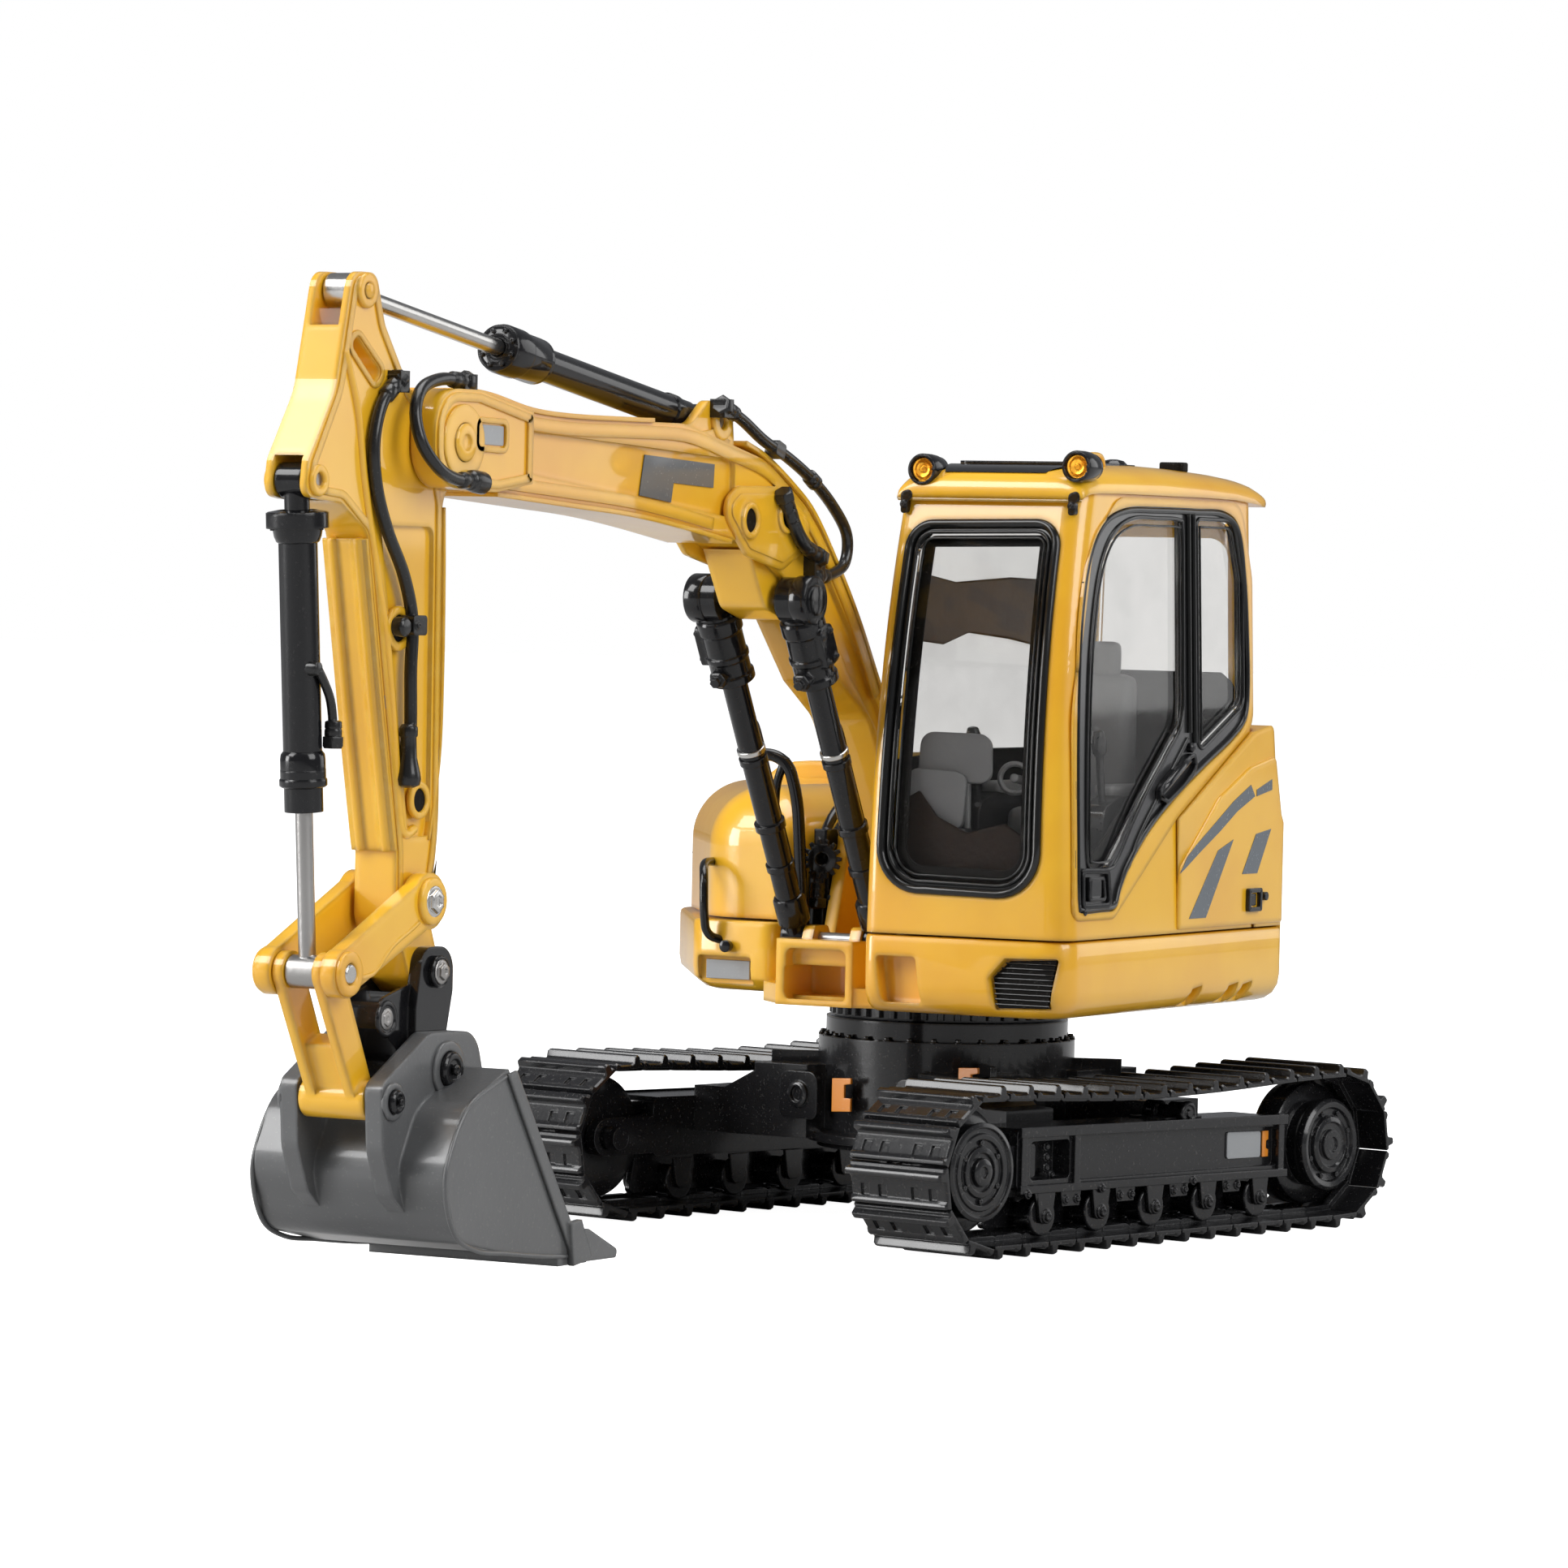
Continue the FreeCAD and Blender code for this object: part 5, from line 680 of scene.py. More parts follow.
beams = {
    "rims": (((-14.6, 7.72), (-14.6, 8.42), (14.7, 8.02), (14.7, 7.32)),
             ((-14.6, 3.98), (-14.6, 4.52), (14.7, 4.24), (14.7, 3.7))),
    "posts": (-14.2, -8.6, 14.0),
    "box": ((-13.3, 4.9, 0.3), (-13.3, 7.2, 0.3), (-11.9, 7.2, 0.3), (-11.9, 4.9, 0.3)),
    "bolts": ((-10.6, 6.9), (-10.6, 6.2), (-10.6, 5.5), (-10.0, 5.0), (-13.9, 3.95), (-6.0, 3.95),
              (4.0, 3.95)),
    "fork": ((-20.6, 5.0, 0.5), (-20.6, 6.45, 0.5), (-14.0, 7.3), (-14.0, 4.3)),
    "rod": ((-18, 5.72), (-14, 5.9)), "pad": ((-1.6, 2.0, 8.0), (1.6, 6.0, 8.25)),
    "plate": ((8.6, 5.15, 0.2), (8.6, 7.0, 0.2), (12.4, 6.9, 0.2), (12.4, 5.1, 0.2)),
    "mark": ((12.62, 5.1), (12.62, 6.9), (13.3, 6.9), (13.3, 6.3), (13.05, 6.2), (13.05, 5.7), (13.3, 5.6),
             (13.3, 5.1)),
}


def hanging(y, wide, narrow, top, foot, soft):
    return rounded(((y - wide, top), (y + wide, top), (y + narrow, foot, soft), (y - narrow, foot, soft)))


for side, word in sides:
    build = bmesh.new()
    centre = side * track["centre"]
    for i in range(5):
        y, z = rollers["spacing"] * (i - 2), rollers["high"]
        lathe(build, rollers["lower"], (centre, y, z), (side, 0, 0), 28)
        for s in (-1, 1):
            sidePlate(build, hanging(y, *rollers["fork"]), centre + s * 2.3 - 0.12, 0.24)
        bolt(build, (centre + side * 2.42, y, z), (side, 0, 0), 0.34, 0.3)
    for i in range(4):
        y = rollers["spacing"] * (i - 1.5)
        sidePlate(build, hanging(y, *rollers["hanger"]), centre - 0.5, 1.0)
        sidePlate(build, hanging(y, *rollers["cheek"]), centre + side * 2.05 - 0.1, 0.2)
        for s in (-0.6, 0.6):
            bolt(build, (centre + side * 2.15, y + s, 3.35), (side, 0, 0), 0.22, 0.22)
    lathe(build, rollers["carrier"], (centre, *rollers["carrierPlace"]), (side, 0, 0), 28)
    chunk(build, *[across * centre + Vector(corner) for corner in rollers["seat"]])
    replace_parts(addParked("roller_group_" + word, build, bevel=0.04), "rollers_" + word)
    build = bmesh.new()
    flank(build, rounded(rollers["guard"]), side, 15.6, 0.5)
    addParked("roller_guard_" + word, build, bevel=0.06)

    build = bmesh.new()
    face = track["centre"] + 2.2
    for outline in beams["rims"]:
        flank(build, outline, side, face, 0.32)
    for y in beams["posts"]:
        flank(build, ((y - 0.3, 4.2), (y - 0.3, 8.1), (y + 0.3, 8.1), (y + 0.3, 4.2)), side, face - 0.02, 0.3)
    flank(build, rounded(beams["box"]), side, face - 1.5, 0.8)
    for y, z in beams["bolts"]:
        bolt(build, (side * (face - (0.9 if z > 4 else -0.3)), y, z), (side, 0, 0), 0.22, 0.26)
    # fork between the beam and the idler, tensioner rod, pad under the loop
    for s in (-1, 1):
        sidePlate(build, rounded(beams["fork"]), centre + s * 1.75 - 0.2, 0.4)
    tubeMesh(build, [(centre, y, z) for y, z in beams["rod"]], 0.8, 20)
    chunk(build, *[across * centre + Vector(corner) for corner in beams["pad"]])
    addParked("beam_trim_" + word, build, bevel=0.07)
    build = bmesh.new()
    flank(build, rounded(beams["plate"]), side, face - 0.46, 0.14)
    addParked("beam_plate_" + word, build, "plate grey", 0.03)
    build = bmesh.new()
    flank(build, beams["mark"], side, face - 0.46, 0.12)
    addParked("beam_mark_" + word, build, "orange part", 0.02)

carTrims = {
    "bosses": ((-5.2, -9.9), (5.2, -9.9), (-5.2, 9.9), (5.2, 9.9)), "bossHigh": 8.9,
    "boss": ((-1.7, -1.7, 0.6), (1.7, -1.7, 0.6), (1.7, 1.6, 0.8), (-1.7, 1.6, 0.8)),
    "bossRing": ((0.55, 0.3), (0.9, 0.45), (0.9, 0.62), (0.75, 0.7), (0.55, 0.7), (0.5, 0.3)),
    "bolts": 32, "boltRing": 8.66, "boltHigh": 12.86,
    "webs": (35, 145, 215, 325), "web": ((8.0, -0.2), (12.2, -0.2), (12.2, 0.2), (8.0, 0.2)),
    "lip": ((9.0, 5.9), (9.6, 5.6), (9.6, 6.2), (9.0, 6.5)),
    # tags: place, distance to the front
    "tags": ((-1.9, 7.9, -9.75), (9.2, 9.3, -9.6)),
    "tag": ((0, 0), (1.7, 0.1), (1.7, 1.0), (1.1, 1.0), (1.1, 1.9), (1.7, 2.0), (1.7, 2.4), (0, 2.3)),
}
build = bmesh.new()
ring = carTrims["boltRing"]
for turn in turnsOf(carTrims["bolts"]):
    spot = (ring * math.cos(turn), ring * math.sin(turn), carTrims["boltHigh"])
    bolt(build, spot, (0, 0, 1), 0.2, 0.3)
for x, y in carTrims["bosses"]:
    place, out = (x, y * 0.93, carTrims["bossHigh"]), (0, math.copysign(1, y), 0)
    slab(build, rounded(carTrims["boss"]), 0.45, standing(place, out, (0, 0, 1)))
    lathe(build, carTrims["bossRing"], place, out, 24)
for turn in carTrims["webs"]:
    spin = Matrix.Rotation(math.radians(turn), 4, "Z")
    slab(build, carTrims["web"], 3.2, spin @ Matrix.Translation((0, 0, 8.4)))
lathe(build, carTrims["lip"], (0, 0, 0), (0, 0, 1), 64)
addParked("car_trim", build, bevel=0.05)
build = bmesh.new()
for x, z, y in carTrims["tags"]:
    frontPlate(build, [(x + u, z + v) for u, v in carTrims["tag"]], y, 0.2)
addParked("car_tags", build, "orange part", 0.03)

ringTeeth = {
    "count": 44, "high": 14.42, "thick": 0.75,
    "tooth": ((7.85, -0.28), (8.2, -0.16), (8.2, 0.16), (7.85, 0.28)),
    "lip": ((7.85, 15.3), (8.35, 15.35), (8.35, 15.8), (7.85, 15.84)),
}
build = bmesh.new()
for turn in turnsOf(ringTeeth["count"]):
    place = Matrix.Rotation(turn, 4, "Z") @ Matrix.Translation((0, 0, ringTeeth["high"]))
    slab(build, ringTeeth["tooth"], ringTeeth["thick"], place)
lathe(build, ringTeeth["lip"], (0, 0, 0), (0, 0, 1), 64)
addPiece("ring_teeth", build, "track black", "house")
print("undercarriage trims made")


# cab: gasket, door beads, fittings, dark inside panels that are mostly painted shade
cab = {
    "foot": 21.07, "top": 50.5, "front": -23.66, "lean": 3.4, "power": 2.6, "half": 21.02,
    "window": ((6.9, 24.0, 3), (7.4, 48.4, 1.8), (18.6, 48.6, 1.8), (18.9, 23.8, 3)),
    "door": ((-22.4, 22.8, 0.5), (-22.2, 36.0, 12), (-19.3, 46.8, 4), (-15.6, 49.9, 2.5), (3.0, 49.9, 1.6),
             (4.5, 45.0, 3), (4.5, 35.2, 1.4), (-7.1, 29.4, 8), (-17.0, 22.8, 0.6)),
    "rearPane": ((-3.4, 48.9, 0.4), (2.2, 48.9, 1.4), (3.5, 45.0, 2), (3.5, 36.4, 1), (-3.4, 33.4, 0.5)),
    # smooth curves through these points
    "doorCurve": ((-22.15, 23.6), (-22.2, 28.0), (-22.15, 33.0), (-21.9, 38.0), (-21.35, 42.6), (-20.1, 46.3),
                  (-17.9, 48.6), (-14.6, 49.55), (-10.0, 49.7), (-4.0, 49.7), (0.6, 49.6), (3.0, 48.4),
                  (3.95, 45.0), (4.3, 41.0), (4.35, 37.6), (3.8, 35.4), (1.6, 34.0), (-2.6, 32.3),
                  (-7.0, 30.4), (-11.2, 28.2), (-14.2, 26.0), (-15.7, 24.4), (-16.6, 23.1), (-18.6, 22.95),
                  (-21.5, 22.95)),
    "paneCurve": ((-20.3, 26.6), (-20.35, 31.0), (-20.1, 36.0), (-19.6, 40.5), (-18.4, 44.9), (-16.4, 47.6),
                  (-13.4, 48.75), (-9.5, 48.85), (-6.2, 48.8), (-5.8, 48.2), (-5.8, 44.0), (-5.85, 39.0),
                  (-6.1, 35.4), (-8.2, 33.4), (-11.2, 31.0), (-13.8, 28.6), (-16.0, 26.4), (-17.2, 25.85),
                  (-19.6, 25.85)),
    # thin line of the inner card behind the glass; twin rails between the panes: y, lower end
    "card": ((-15.2, 24.6), (-13.2, 27.4), (-9.8, 30.4), (-6.4, 33.2), (-5.2, 34.2)),
    "rails": ((-5.0, 34.6), (-4.2, 33.9)),
    # beads of the front window: inset, lift, radius, points round; beads of the panes: inset, radius
    "gasket": ((0.2, 0.02, 0.30, 12), (0.75, -0.06, 0.13, 10), (1.16, -0.22, 0.09, 8)),
    "beads": (("pane", -0.1, 0.15), ("rearPane", -0.12, 0.15), ("pane", 0.42, 0.08),
              ("rearPane", 0.42, 0.08)),
}


def shareAt(z):
    return min(max((z - cab["foot"]) / (cab["top"] - cab["foot"]), 0), 1)


def frontAt(z):
    return cab["front"] + cab["lean"] * shareAt(z) ** cab["power"]


def sideAt(z):
    return cab["half"] - shareAt(z)


# the closed outline with its long runs divided
def dense(outline, step=0.8):
    result = []
    for a, b in zip(outline, outline[1:] + outline[:1]):
        count = max(1, round(math.dist(a, b) / step))
        result += [(a[0] + (b[0] - a[0]) * k / count, a[1] + (b[1] - a[1]) * k / count) for k in range(count)]
    return result


# closed outline moved in by gap, point for point
def inward(outline, gap):
    area = sum(a[0] * b[1] - b[0] * a[1] for a, b in zip(outline, outline[1:] + outline[:1]))
    turn = 1 if area > 0 else -1
    count = len(outline)
    result = []
    for i, here in enumerate(outline):
        back, ahead = Vector(outline[i - 1]), Vector(outline[(i + 1) % count])
        along = (ahead - back).normalized()
        result.append((here[0] - along.y * gap * turn, here[1] + along.x * gap * turn))
    return result


# flat ring between two outlines; place(u, v, lift) gives the point
def ribbon(build, outer, inner, place, thick):
    skin(build, [[build.verts.new(place(u, v, lift)) for u, v in outline]
                 for outline, lift in ((outer, 0), (outer, thick), (inner, thick), (inner, 0))], True)


def onFront(u, v, lift=0.0):
    return Vector((u, frontAt(v) - lift, v))


def onSide(u, v, lift=0.0):
    return Vector((sideAt(v) + lift, u, v))


# closed smooth outline through the points; a repeated point makes a sharper corner
def smoothLoop(points, step=8):
    path = curve(points[-2:] + points + points[:2], step)
    return path[2 * step:(len(points) + 2) * step]


# the closed outline as count points evenly along it, beginning nearest to start
def resample(outline, count, start):
    first = min(range(len(outline)), key=lambda i: math.dist(outline[i], start))
    ring = outline[first:] + outline[:first + 1]
    total = sum(math.dist(a, b) for a, b in zip(ring, ring[1:]))
    result, run, k = [], 0.0, 0
    for i in range(count):
        goal = total * i / count
        while run + math.dist(ring[k], ring[k + 1]) < goal:
            run += math.dist(ring[k], ring[k + 1])
            k += 1
        share = (goal - run) / max(math.dist(ring[k], ring[k + 1]), 1e-9)
        result.append((ring[k][0] + (ring[k + 1][0] - ring[k][0]) * share,
                       ring[k][1] + (ring[k + 1][1] - ring[k][1]) * share))
    return result


window = dense(rounded(cab["window"], 8))
build = bmesh.new()
for gap, lift, radius, count in cab["gasket"]:
    tubeMesh(build, [onFront(u, v, lift) for u, v in inward(window, gap)], radius, count, True)
addPiece("front_gasket", build, "gasket", "house", smooth=80)
build = bmesh.new()
ribbon(build, inward(window, 1.0), inward(window, 1.75), lambda u, v, lift: onFront(u, v, lift - 0.85), 0.1)
addPiece("front_border", build, "deep black", "house", smooth=80)

build = bmesh.new()
door = smoothLoop(cab["doorCurve"])
panes = {"pane": smoothLoop(cab["paneCurve"]), "rearPane": dense(rounded(cab["rearPane"], 8))}
tubeMesh(build, [onSide(u, v) for u, v in inward(door, 0.25)], 0.2, 10, True)
for name, gap, radius in cab["beads"]:
    tubeMesh(build, [onSide(u, v, -0.1) for u, v in inward(panes[name], gap)], radius, 10, True)
tubeMesh(build, [onSide(u, v, -0.02) for u, v in curve(cab["card"])], 0.14, 8)
for y, low in cab["rails"]:
    tubeMesh(build, smoothPath([onSide(y, z) for z in (49.3, 46, 42, 38, low)], 4), 0.2, 10)
addPiece("door_beads", build, "gasket", "house", smooth=80)

# painted surround that gives the door opening its smooth edge
build = bmesh.new()
outer = inward(dense(rounded(cab["door"], 8), 0.6), -0.35)
corner, count = (-22.3, 22.9), 220
ribbon(build, resample(outer, count, corner), resample(door, count, corner),
       lambda u, v, lift: onSide(u, v, lift - 0.08), 0.2)
addPiece("door_surround", build, "yellow", "house", 0.05, 50)

fittings = {
    "grip": ((-10.1, 30.2), (-10.0, 31.0), (-7.6, 32.3), (-5.2, 33.2), (-4.6, 32.9), (-4.7, 32.0),
             (-6.6, 30.9), (-9.0, 29.9)),
    "grab": ((-9.7, 30.6), (-9.0, 31.3), (-7.0, 32.3), (-5.3, 32.7)),
    "latch": ((-21.6, 23.2, 0.5), (-21.6, 25.9, 0.5), (-17.6, 25.8, 0.5), (-17.3, 23.2, 0.5)),
    "latchIn": ((-20.9, 23.7, 0.3), (-20.9, 25.3, 0.3), (-18.6, 25.3, 0.3), (-18.4, 23.7, 0.3)),
    "hinges": (26.5, 31.0, 36.0, 44.0),
}
build = bmesh.new()
grip = curve(fittings["grip"], 4)
ribbon(build, grip, inward(grip, 0.28), lambda u, v, lift: onSide(u, v, lift - 0.06), 0.42)
tubeMesh(build, smoothPath([onSide(u, v, 0.38 if 0 < i < 3 else 0.05)
                            for i, (u, v) in enumerate(fittings["grab"])], 6), 0.27, 12)
for name, gap, lift in (("latch", 0.35, 0.28), ("latchIn", 0.22, 0.4)):
    outline = dense(rounded(fittings[name]), 0.5)
    ribbon(build, outline, inward(outline, gap), lambda u, v, h: onSide(u, v, h - 0.05), lift)
pad(build, 0.75, 0.6, 0.2, 0.3, standing(onSide(-19.8, 24.5), (1, 0, 0), (0, 0, 1)))
bolt(build, onSide(-21.2, 23.0, 0.02), (1, 0, 0), 0.22, 0.22)
for z in fittings["hinges"]:
    y = frontAt(z) + 1.15
    tubeMesh(build, (onSide(y, z - 0.6), onSide(y, z + 0.6)), 0.13, 10)
lathe(build, ((0.34, -0.2), (0.34, 0.25), (0.2, 0.36), (0, 0.36)), onSide(-5.0, 33.6), (1, 0, 0), 16)
addPiece("door_fittings", build, "gloss black", "house", 0.05)

# dark panels inside the cab: painted shade over the floor, inner wall, rear wall and ceiling, with the door
# card; blind and kick panel
cabInside = {
    "floor": ((7.2, -21.8, 22.15), (20.0, 4.6, 22.6)),
    "inner": ((-21.4, 22.4), (-21.3, 32.6), (-13.0, 33.2), (4.6, 33.2), (4.6, 22.4)),
    "ceiling": ((7.3, -19.4, 49.2), (19.4, 4.6, 49.5)),
    "blind": ((-21.0, 45.2), (-21.2, 38.6), (-20.0, 38.2), (-18.6, 40.4), (-15.6, 40.2), (-12.0, 41.0),
              (-6.0, 40.6), (4.8, 39.4), (4.8, 44.6), (-6.0, 44.8), (-14.0, 44.4)),
    "kick": ((7.3, 22.4), (7.3, 29.8), (8.8, 30.6), (10.2, 28.9), (12.4, 27.9), (15.2, 28.6), (17.6, 27.2),
             (19.2, 28.2), (19.2, 22.4)),
    "rear": ((7.2, 22.4), (7.2, 37.6), (9.2, 38.6), (18.0, 38.6), (19.2, 37.6), (19.2, 22.4)),
    "card": ((-20.9, 22.5), (-20.7, 26.4), (-17.2, 26.2), (-12.0, 30.0), (-6.2, 34.6), (4.6, 36.0),
             (4.6, 22.5)),
}
build = bmesh.new()
# floor, inner wall, door card, rear wall and ceiling in deep black: apart from the door card, painted shade
# for the inside of the closed cab
chunk(build, *cabInside["floor"])
sidePlate(build, cabInside["inner"], 6.95, 0.3)
sidePlate(build, cabInside["card"], 19.05, 0.2)
frontPlate(build, cabInside["rear"], 4.95, 0.35)
chunk(build, *cabInside["ceiling"])
addPiece("cabInside", build, "deep black", "house", 0.1)
build = bmesh.new()
sidePlate(build, cabInside["blind"], 7.15, 0.25)
addPiece("side_blind", build, "lining brown", "house", 0.1)
build = bmesh.new()
frontPlate(build, cabInside["kick"], -21.2, 0.25)
addPiece("kick_panel", build, "dark brown", "house", 0.1)

seat = {
    # blocks: two corners and the rounding of the edges
    "cushions": (((9.9, -11.2, 27.2), (16.3, -4.6, 29.4), 0.9),
                 ((10.2, -5.6, 28.6), (16.0, -3.6, 38.4), 0.95),
                 ((11.4, -5.2, 38.2), (14.8, -3.9, 40.6), 0.6), ((8.2, -11.6, 30.2), (9.7, -5.2, 31.1), 0.4),
                 ((16.5, -11.6, 30.2), (18.0, -5.2, 31.1), 0.4)),
    "foot": ((10.8, -10, 22.4), (15.6, -5, 27.3), 0.3),
}


def softBlock(build, low, high, soft):
    part = bmesh.new()
    chunk(part, low, high)
    bmesh.ops.bevel(part, geom=part.edges[:], offset=soft, segments=5, profile=0.6, affect="EDGES")
    mesh = bpy.data.meshes.new("part")
    part.to_mesh(mesh)
    part.free()
    build.from_mesh(mesh)
    bpy.data.meshes.remove(mesh)


build = bmesh.new()
for low, high, soft in seat["cushions"]:
    softBlock(build, low, high, soft)
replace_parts(addPiece("seat_cushions", build, "seat plastic", "house", smooth=60), "seat")
build = bmesh.new()
softBlock(build, *seat["foot"])
addPiece("seat_foot", build, "deep black", "house", smooth=60)

console = {
    "boxes": ((7.6, 9.6), (16.9, 18.7)),
    "box": ((-14.2, 22.5), (-14.4, 29.6, 1.2), (-11.5, 30.4, 0.8), (-6.0, 30.2, 0.4), (-6.0, 22.5)),
    "lever": ((0, -12.8, 30.0), (0, -13.1, 31.8), (0.1, -13.5, 33.4)),
    "knob": ((0.3, 0), (0.5, 0.3), (0.52, 1.2), (0.36, 1.7), (0, 1.8)), "knobPlace": (0.1, -13.5, 33.0),
    "dash": ((-21.0, 22.5), (-20.6, 27.5, 0.6), (-18.8, 28.3, 0.6), (-17.8, 26.5), (-17.4, 22.5)),
    "dial": ((0, 0), (0.9, 0), (1.0, 0.12), (0.9, 0.3), (0, 0.3)),
    "pedals": (13.2, 15.6), "pedal": ((-0.8, -20.6, 22.5), (0.8, -18.0, 23.1)),
}
build = bmesh.new()
for left, right in console["boxes"]:
    sidePlate(build, rounded(console["box"]), left, right - left)
    middle = across * (left + right) / 2
    tubeMesh(build, smoothPath([middle + Vector(p) for p in console["lever"]], 4), 0.26, 12)
    lathe(build, console["knob"], middle + Vector(console["knobPlace"]), (0, -0.15, 1), 16)
sidePlate(build, rounded(console["dash"]), 8.2, 3.2)
lathe(build, console["dial"], (9.4, -19.6, 29.6), (0.2, -0.9, 0.5), 28)
for x in console["pedals"]:
    tubeMesh(build, ((x, -18.6, 22.5), (x, -19.2, 27.6)), 0.2, 10)
    chunk(build, *[across * x + Vector(corner) for corner in console["pedal"]])
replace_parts(addPiece("console_set", build, "gloss black", "house", 0.08), "controls")

# screens at the front corner, fan on its stalk
screens = {
    # corners with their rounding, then the place
    "sets": ((((-2.5, -1.6, 0.8), (2.5, -1.7, 0.8), (2.4, 1.6, 0.9), (-2.3, 1.7, 0.9)), (9.85, -18.2, 32.7)),
             (((-1.9, -2.0, 0.6), (1.8, -2.1, 0.7), (2.0, 1.8, 0.8), (-2.0, 2.0, 0.7)), (9.25, -19.6, 30.0))),
    "facing": (0.35, -1, 0.12), "thick": 0.7, "floor": 22.6,
    "fan": (12.7, -15.2, 31.4), "fanHub": ((0, -0.1), (0.3, -0.1), (0.3, 0.45), (0, 0.55)),
    "fanRing": ((0.9, -0.2), (1.15, 0), (1.15, 0.35), (0.95, 0.5), (0.8, 0.35), (0.8, 0), (0.9, -0.2)),
    "fanStalk": ((12.7, -15.2, 31.4), (13.2, -14.6, 31.2), (14.6, -13.2, 30.4)),
}
build = bmesh.new()
for corners, place in screens["sets"]:
    x, y, z = place
    slab(build, rounded(corners), screens["thick"], standing(place, screens["facing"], (0, 0, 1)))
    tubeMesh(build, ((x + 0.4, y + 0.6, z), (x + 0.4, y + 0.9, screens["floor"])), 0.35, 12)
lathe(build, screens["fanRing"], screens["fan"], screens["facing"], 32, hollow=True)
lathe(build, screens["fanHub"], screens["fan"], screens["facing"], 20)
tubeMesh(build, smoothPath(screens["fanStalk"], 4), 0.3, 12)
addPiece("cab_screens", build, "screen grey", "house", 0.1, 60)

# roof: arched shell with a lip at the rear
roofShell = {
    # y, top, share of the width, bottom
    "ribs": ((-20.95, 49.85, 0.955, 49.75), (-21.0, 50.6, 0.965, 49.9), (-20.75, 51.2, 0.975, 50.1),
             (-20.1, 51.75, 0.985, 50.3), (-18.8, 52.1, 0.995, 50.4), (-15.0, 52.4, 1.0, 50.45),
             (-9.0, 52.5, 1.0, 50.45), (-3.0, 52.4, 1.0, 50.45), (2.0, 52.2, 1.0, 50.4),
             (5.0, 52.0, 1.0, 50.2), (6.2, 51.85, 0.998, 50.05), (6.75, 51.65, 0.99, 50.0),
             (7.0, 51.2, 0.98, 50.2)),
    # the rounding of the long edges: its height, and its width as a multiple of that
    "middle": 13.25, "half": 7.1, "round": 1.75, "spread": 2.2,
}


def roofRib(top, share, bottom):
    half, middle = roofShell["half"] * share, roofShell["middle"]
    soft = min(roofShell["round"], (top - bottom) * 0.92)
    wide = roofShell["spread"] * soft
    points = [(middle - half, bottom)]
    for x, first in ((middle - half + wide, math.pi), (middle + half - wide, math.pi / 2)):
        for k in range(9):
            turn = first - math.pi / 2 * k / 8
            points.append((x + wide * math.cos(turn), top - soft + soft * math.sin(turn)))
    points.append((middle + half, bottom))
    return points


build = bmesh.new()
skin(build, [[build.verts.new((x, y, z)) for x, z in roofRib(top, share, bottom)]
             for y, top, share, bottom in roofShell["ribs"]])
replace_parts(addPiece("roof_shell", build, "yellow", "house", smooth=70), "cab_roof")

roofTop = {
    "hatch": ((8.8, -17.4, 0.9), (9.2, -7.2, 0.9), (17.4, -7.2, 0.9), (17.8, -17.4, 0.9)),
    # dark band over the front edge: (y, z) of each line across
    "band": ((-20.28, 51.64), (-19.8, 51.88), (-19.3, 52.02), (-18.8, 52.12), (-17.6, 52.24)),
    "brackets": (7.1, 19.5),
    "bracket": ((-0.4, 48.9, 0.2), (-0.4, 50.3, 0.3), (0.45, 50.6, 0.3), (0.4, 49.9, 0.2), (0.1, 49.7),
                (0.1, 48.9, 0.2)),
    "lamps": ((8.2, 51.8), (19.6, 52.1)),
    "housing": ((0, -1.6), (0.5, -1.5), (0.85, -1.2), (1.0, -0.6), (1.05, 0), (1.06, 0.9), (1.0, 1.06),
                (0.84, 1.08), (0.8, 0.8), (0.5, 0.62), (0, 0.62)),
    "lampFoot": ((0.5, 0), (0.5, 0.35), (0.3, 0.5), (0.3, 1.0), (0, 1.0)),
    "bowl": ((0.2, 0.66), (0.55, 0.72), (0.76, 0.82), (0.76, 0.78), (0.2, 0.6)),
    "bulb": ((0, 0.6), (0.2, 0.62), (0.2, 0.84), (0, 0.84)),
    "screws": 3, "screwRing": 0.9, "screw": ((0, 0), (0.09, 0), (0.09, 0.12), (0, 0.12)),
    "vent": ((1.0, -0.3), (0.95, 0.25), (0.7, 0.5), (0.25, 0.6), (0, 0.6)), "ventPlace": (13.0, -2.2, 52.4),
    "boxes": ((10.6, 0.6), (16.2, 0.6)),
    "rail": ((17.9, -17.0, 52.2), (17.9, -16.6, 52.85), (17.9, -14.2, 52.95), (17.9, -13.6, 52.2)),
}
build = bmesh.new()
slab(build, rounded(roofTop["hatch"], 6), 0.2, Matrix.Translation((0, 0, 52.3)))
band = [[build.verts.new((x, y, z + 0.05)) for x in (9.6 - 0.25 * i, 13.3, 17.0 + 0.3 * i)]
        for i, (y, z) in enumerate(roofTop["band"])]
for low, high in zip(band, band[1:]):
    for i in range(2):
        build.faces.new((low[i], low[i + 1], high[i + 1], high[i]))
for x in roofTop["brackets"]:
    frontPlate(build, rounded([(x + corner[0], *corner[1:]) for corner in roofTop["bracket"]]), -20.55, 0.5)
    bolt(build, (x - 0.15, -21.1, 49.5), (0, -1, 0), 0.18, 0.2)
for x, z in roofTop["lamps"]:
    lathe(build, roofTop["housing"], (x, -20.0, z), (0, -1, 0), 36)
    lathe(build, roofTop["lampFoot"], (x, -19.4, 51.3), (0, 0, 1), 20)
    ring = roofTop["screwRing"]
    for turn in turnsOf(roofTop["screws"]):
        spot = (x + ring * math.cos(turn), -21.05, z + ring * math.sin(turn))
        lathe(build, roofTop["screw"], spot, (0, -1, 0), 8)
lathe(build, roofTop["vent"], roofTop["ventPlace"], (0, 0, 1), 32)
addPiece("roof_fittings", build, "gloss black", "house", 0.06)
build = bmesh.new()
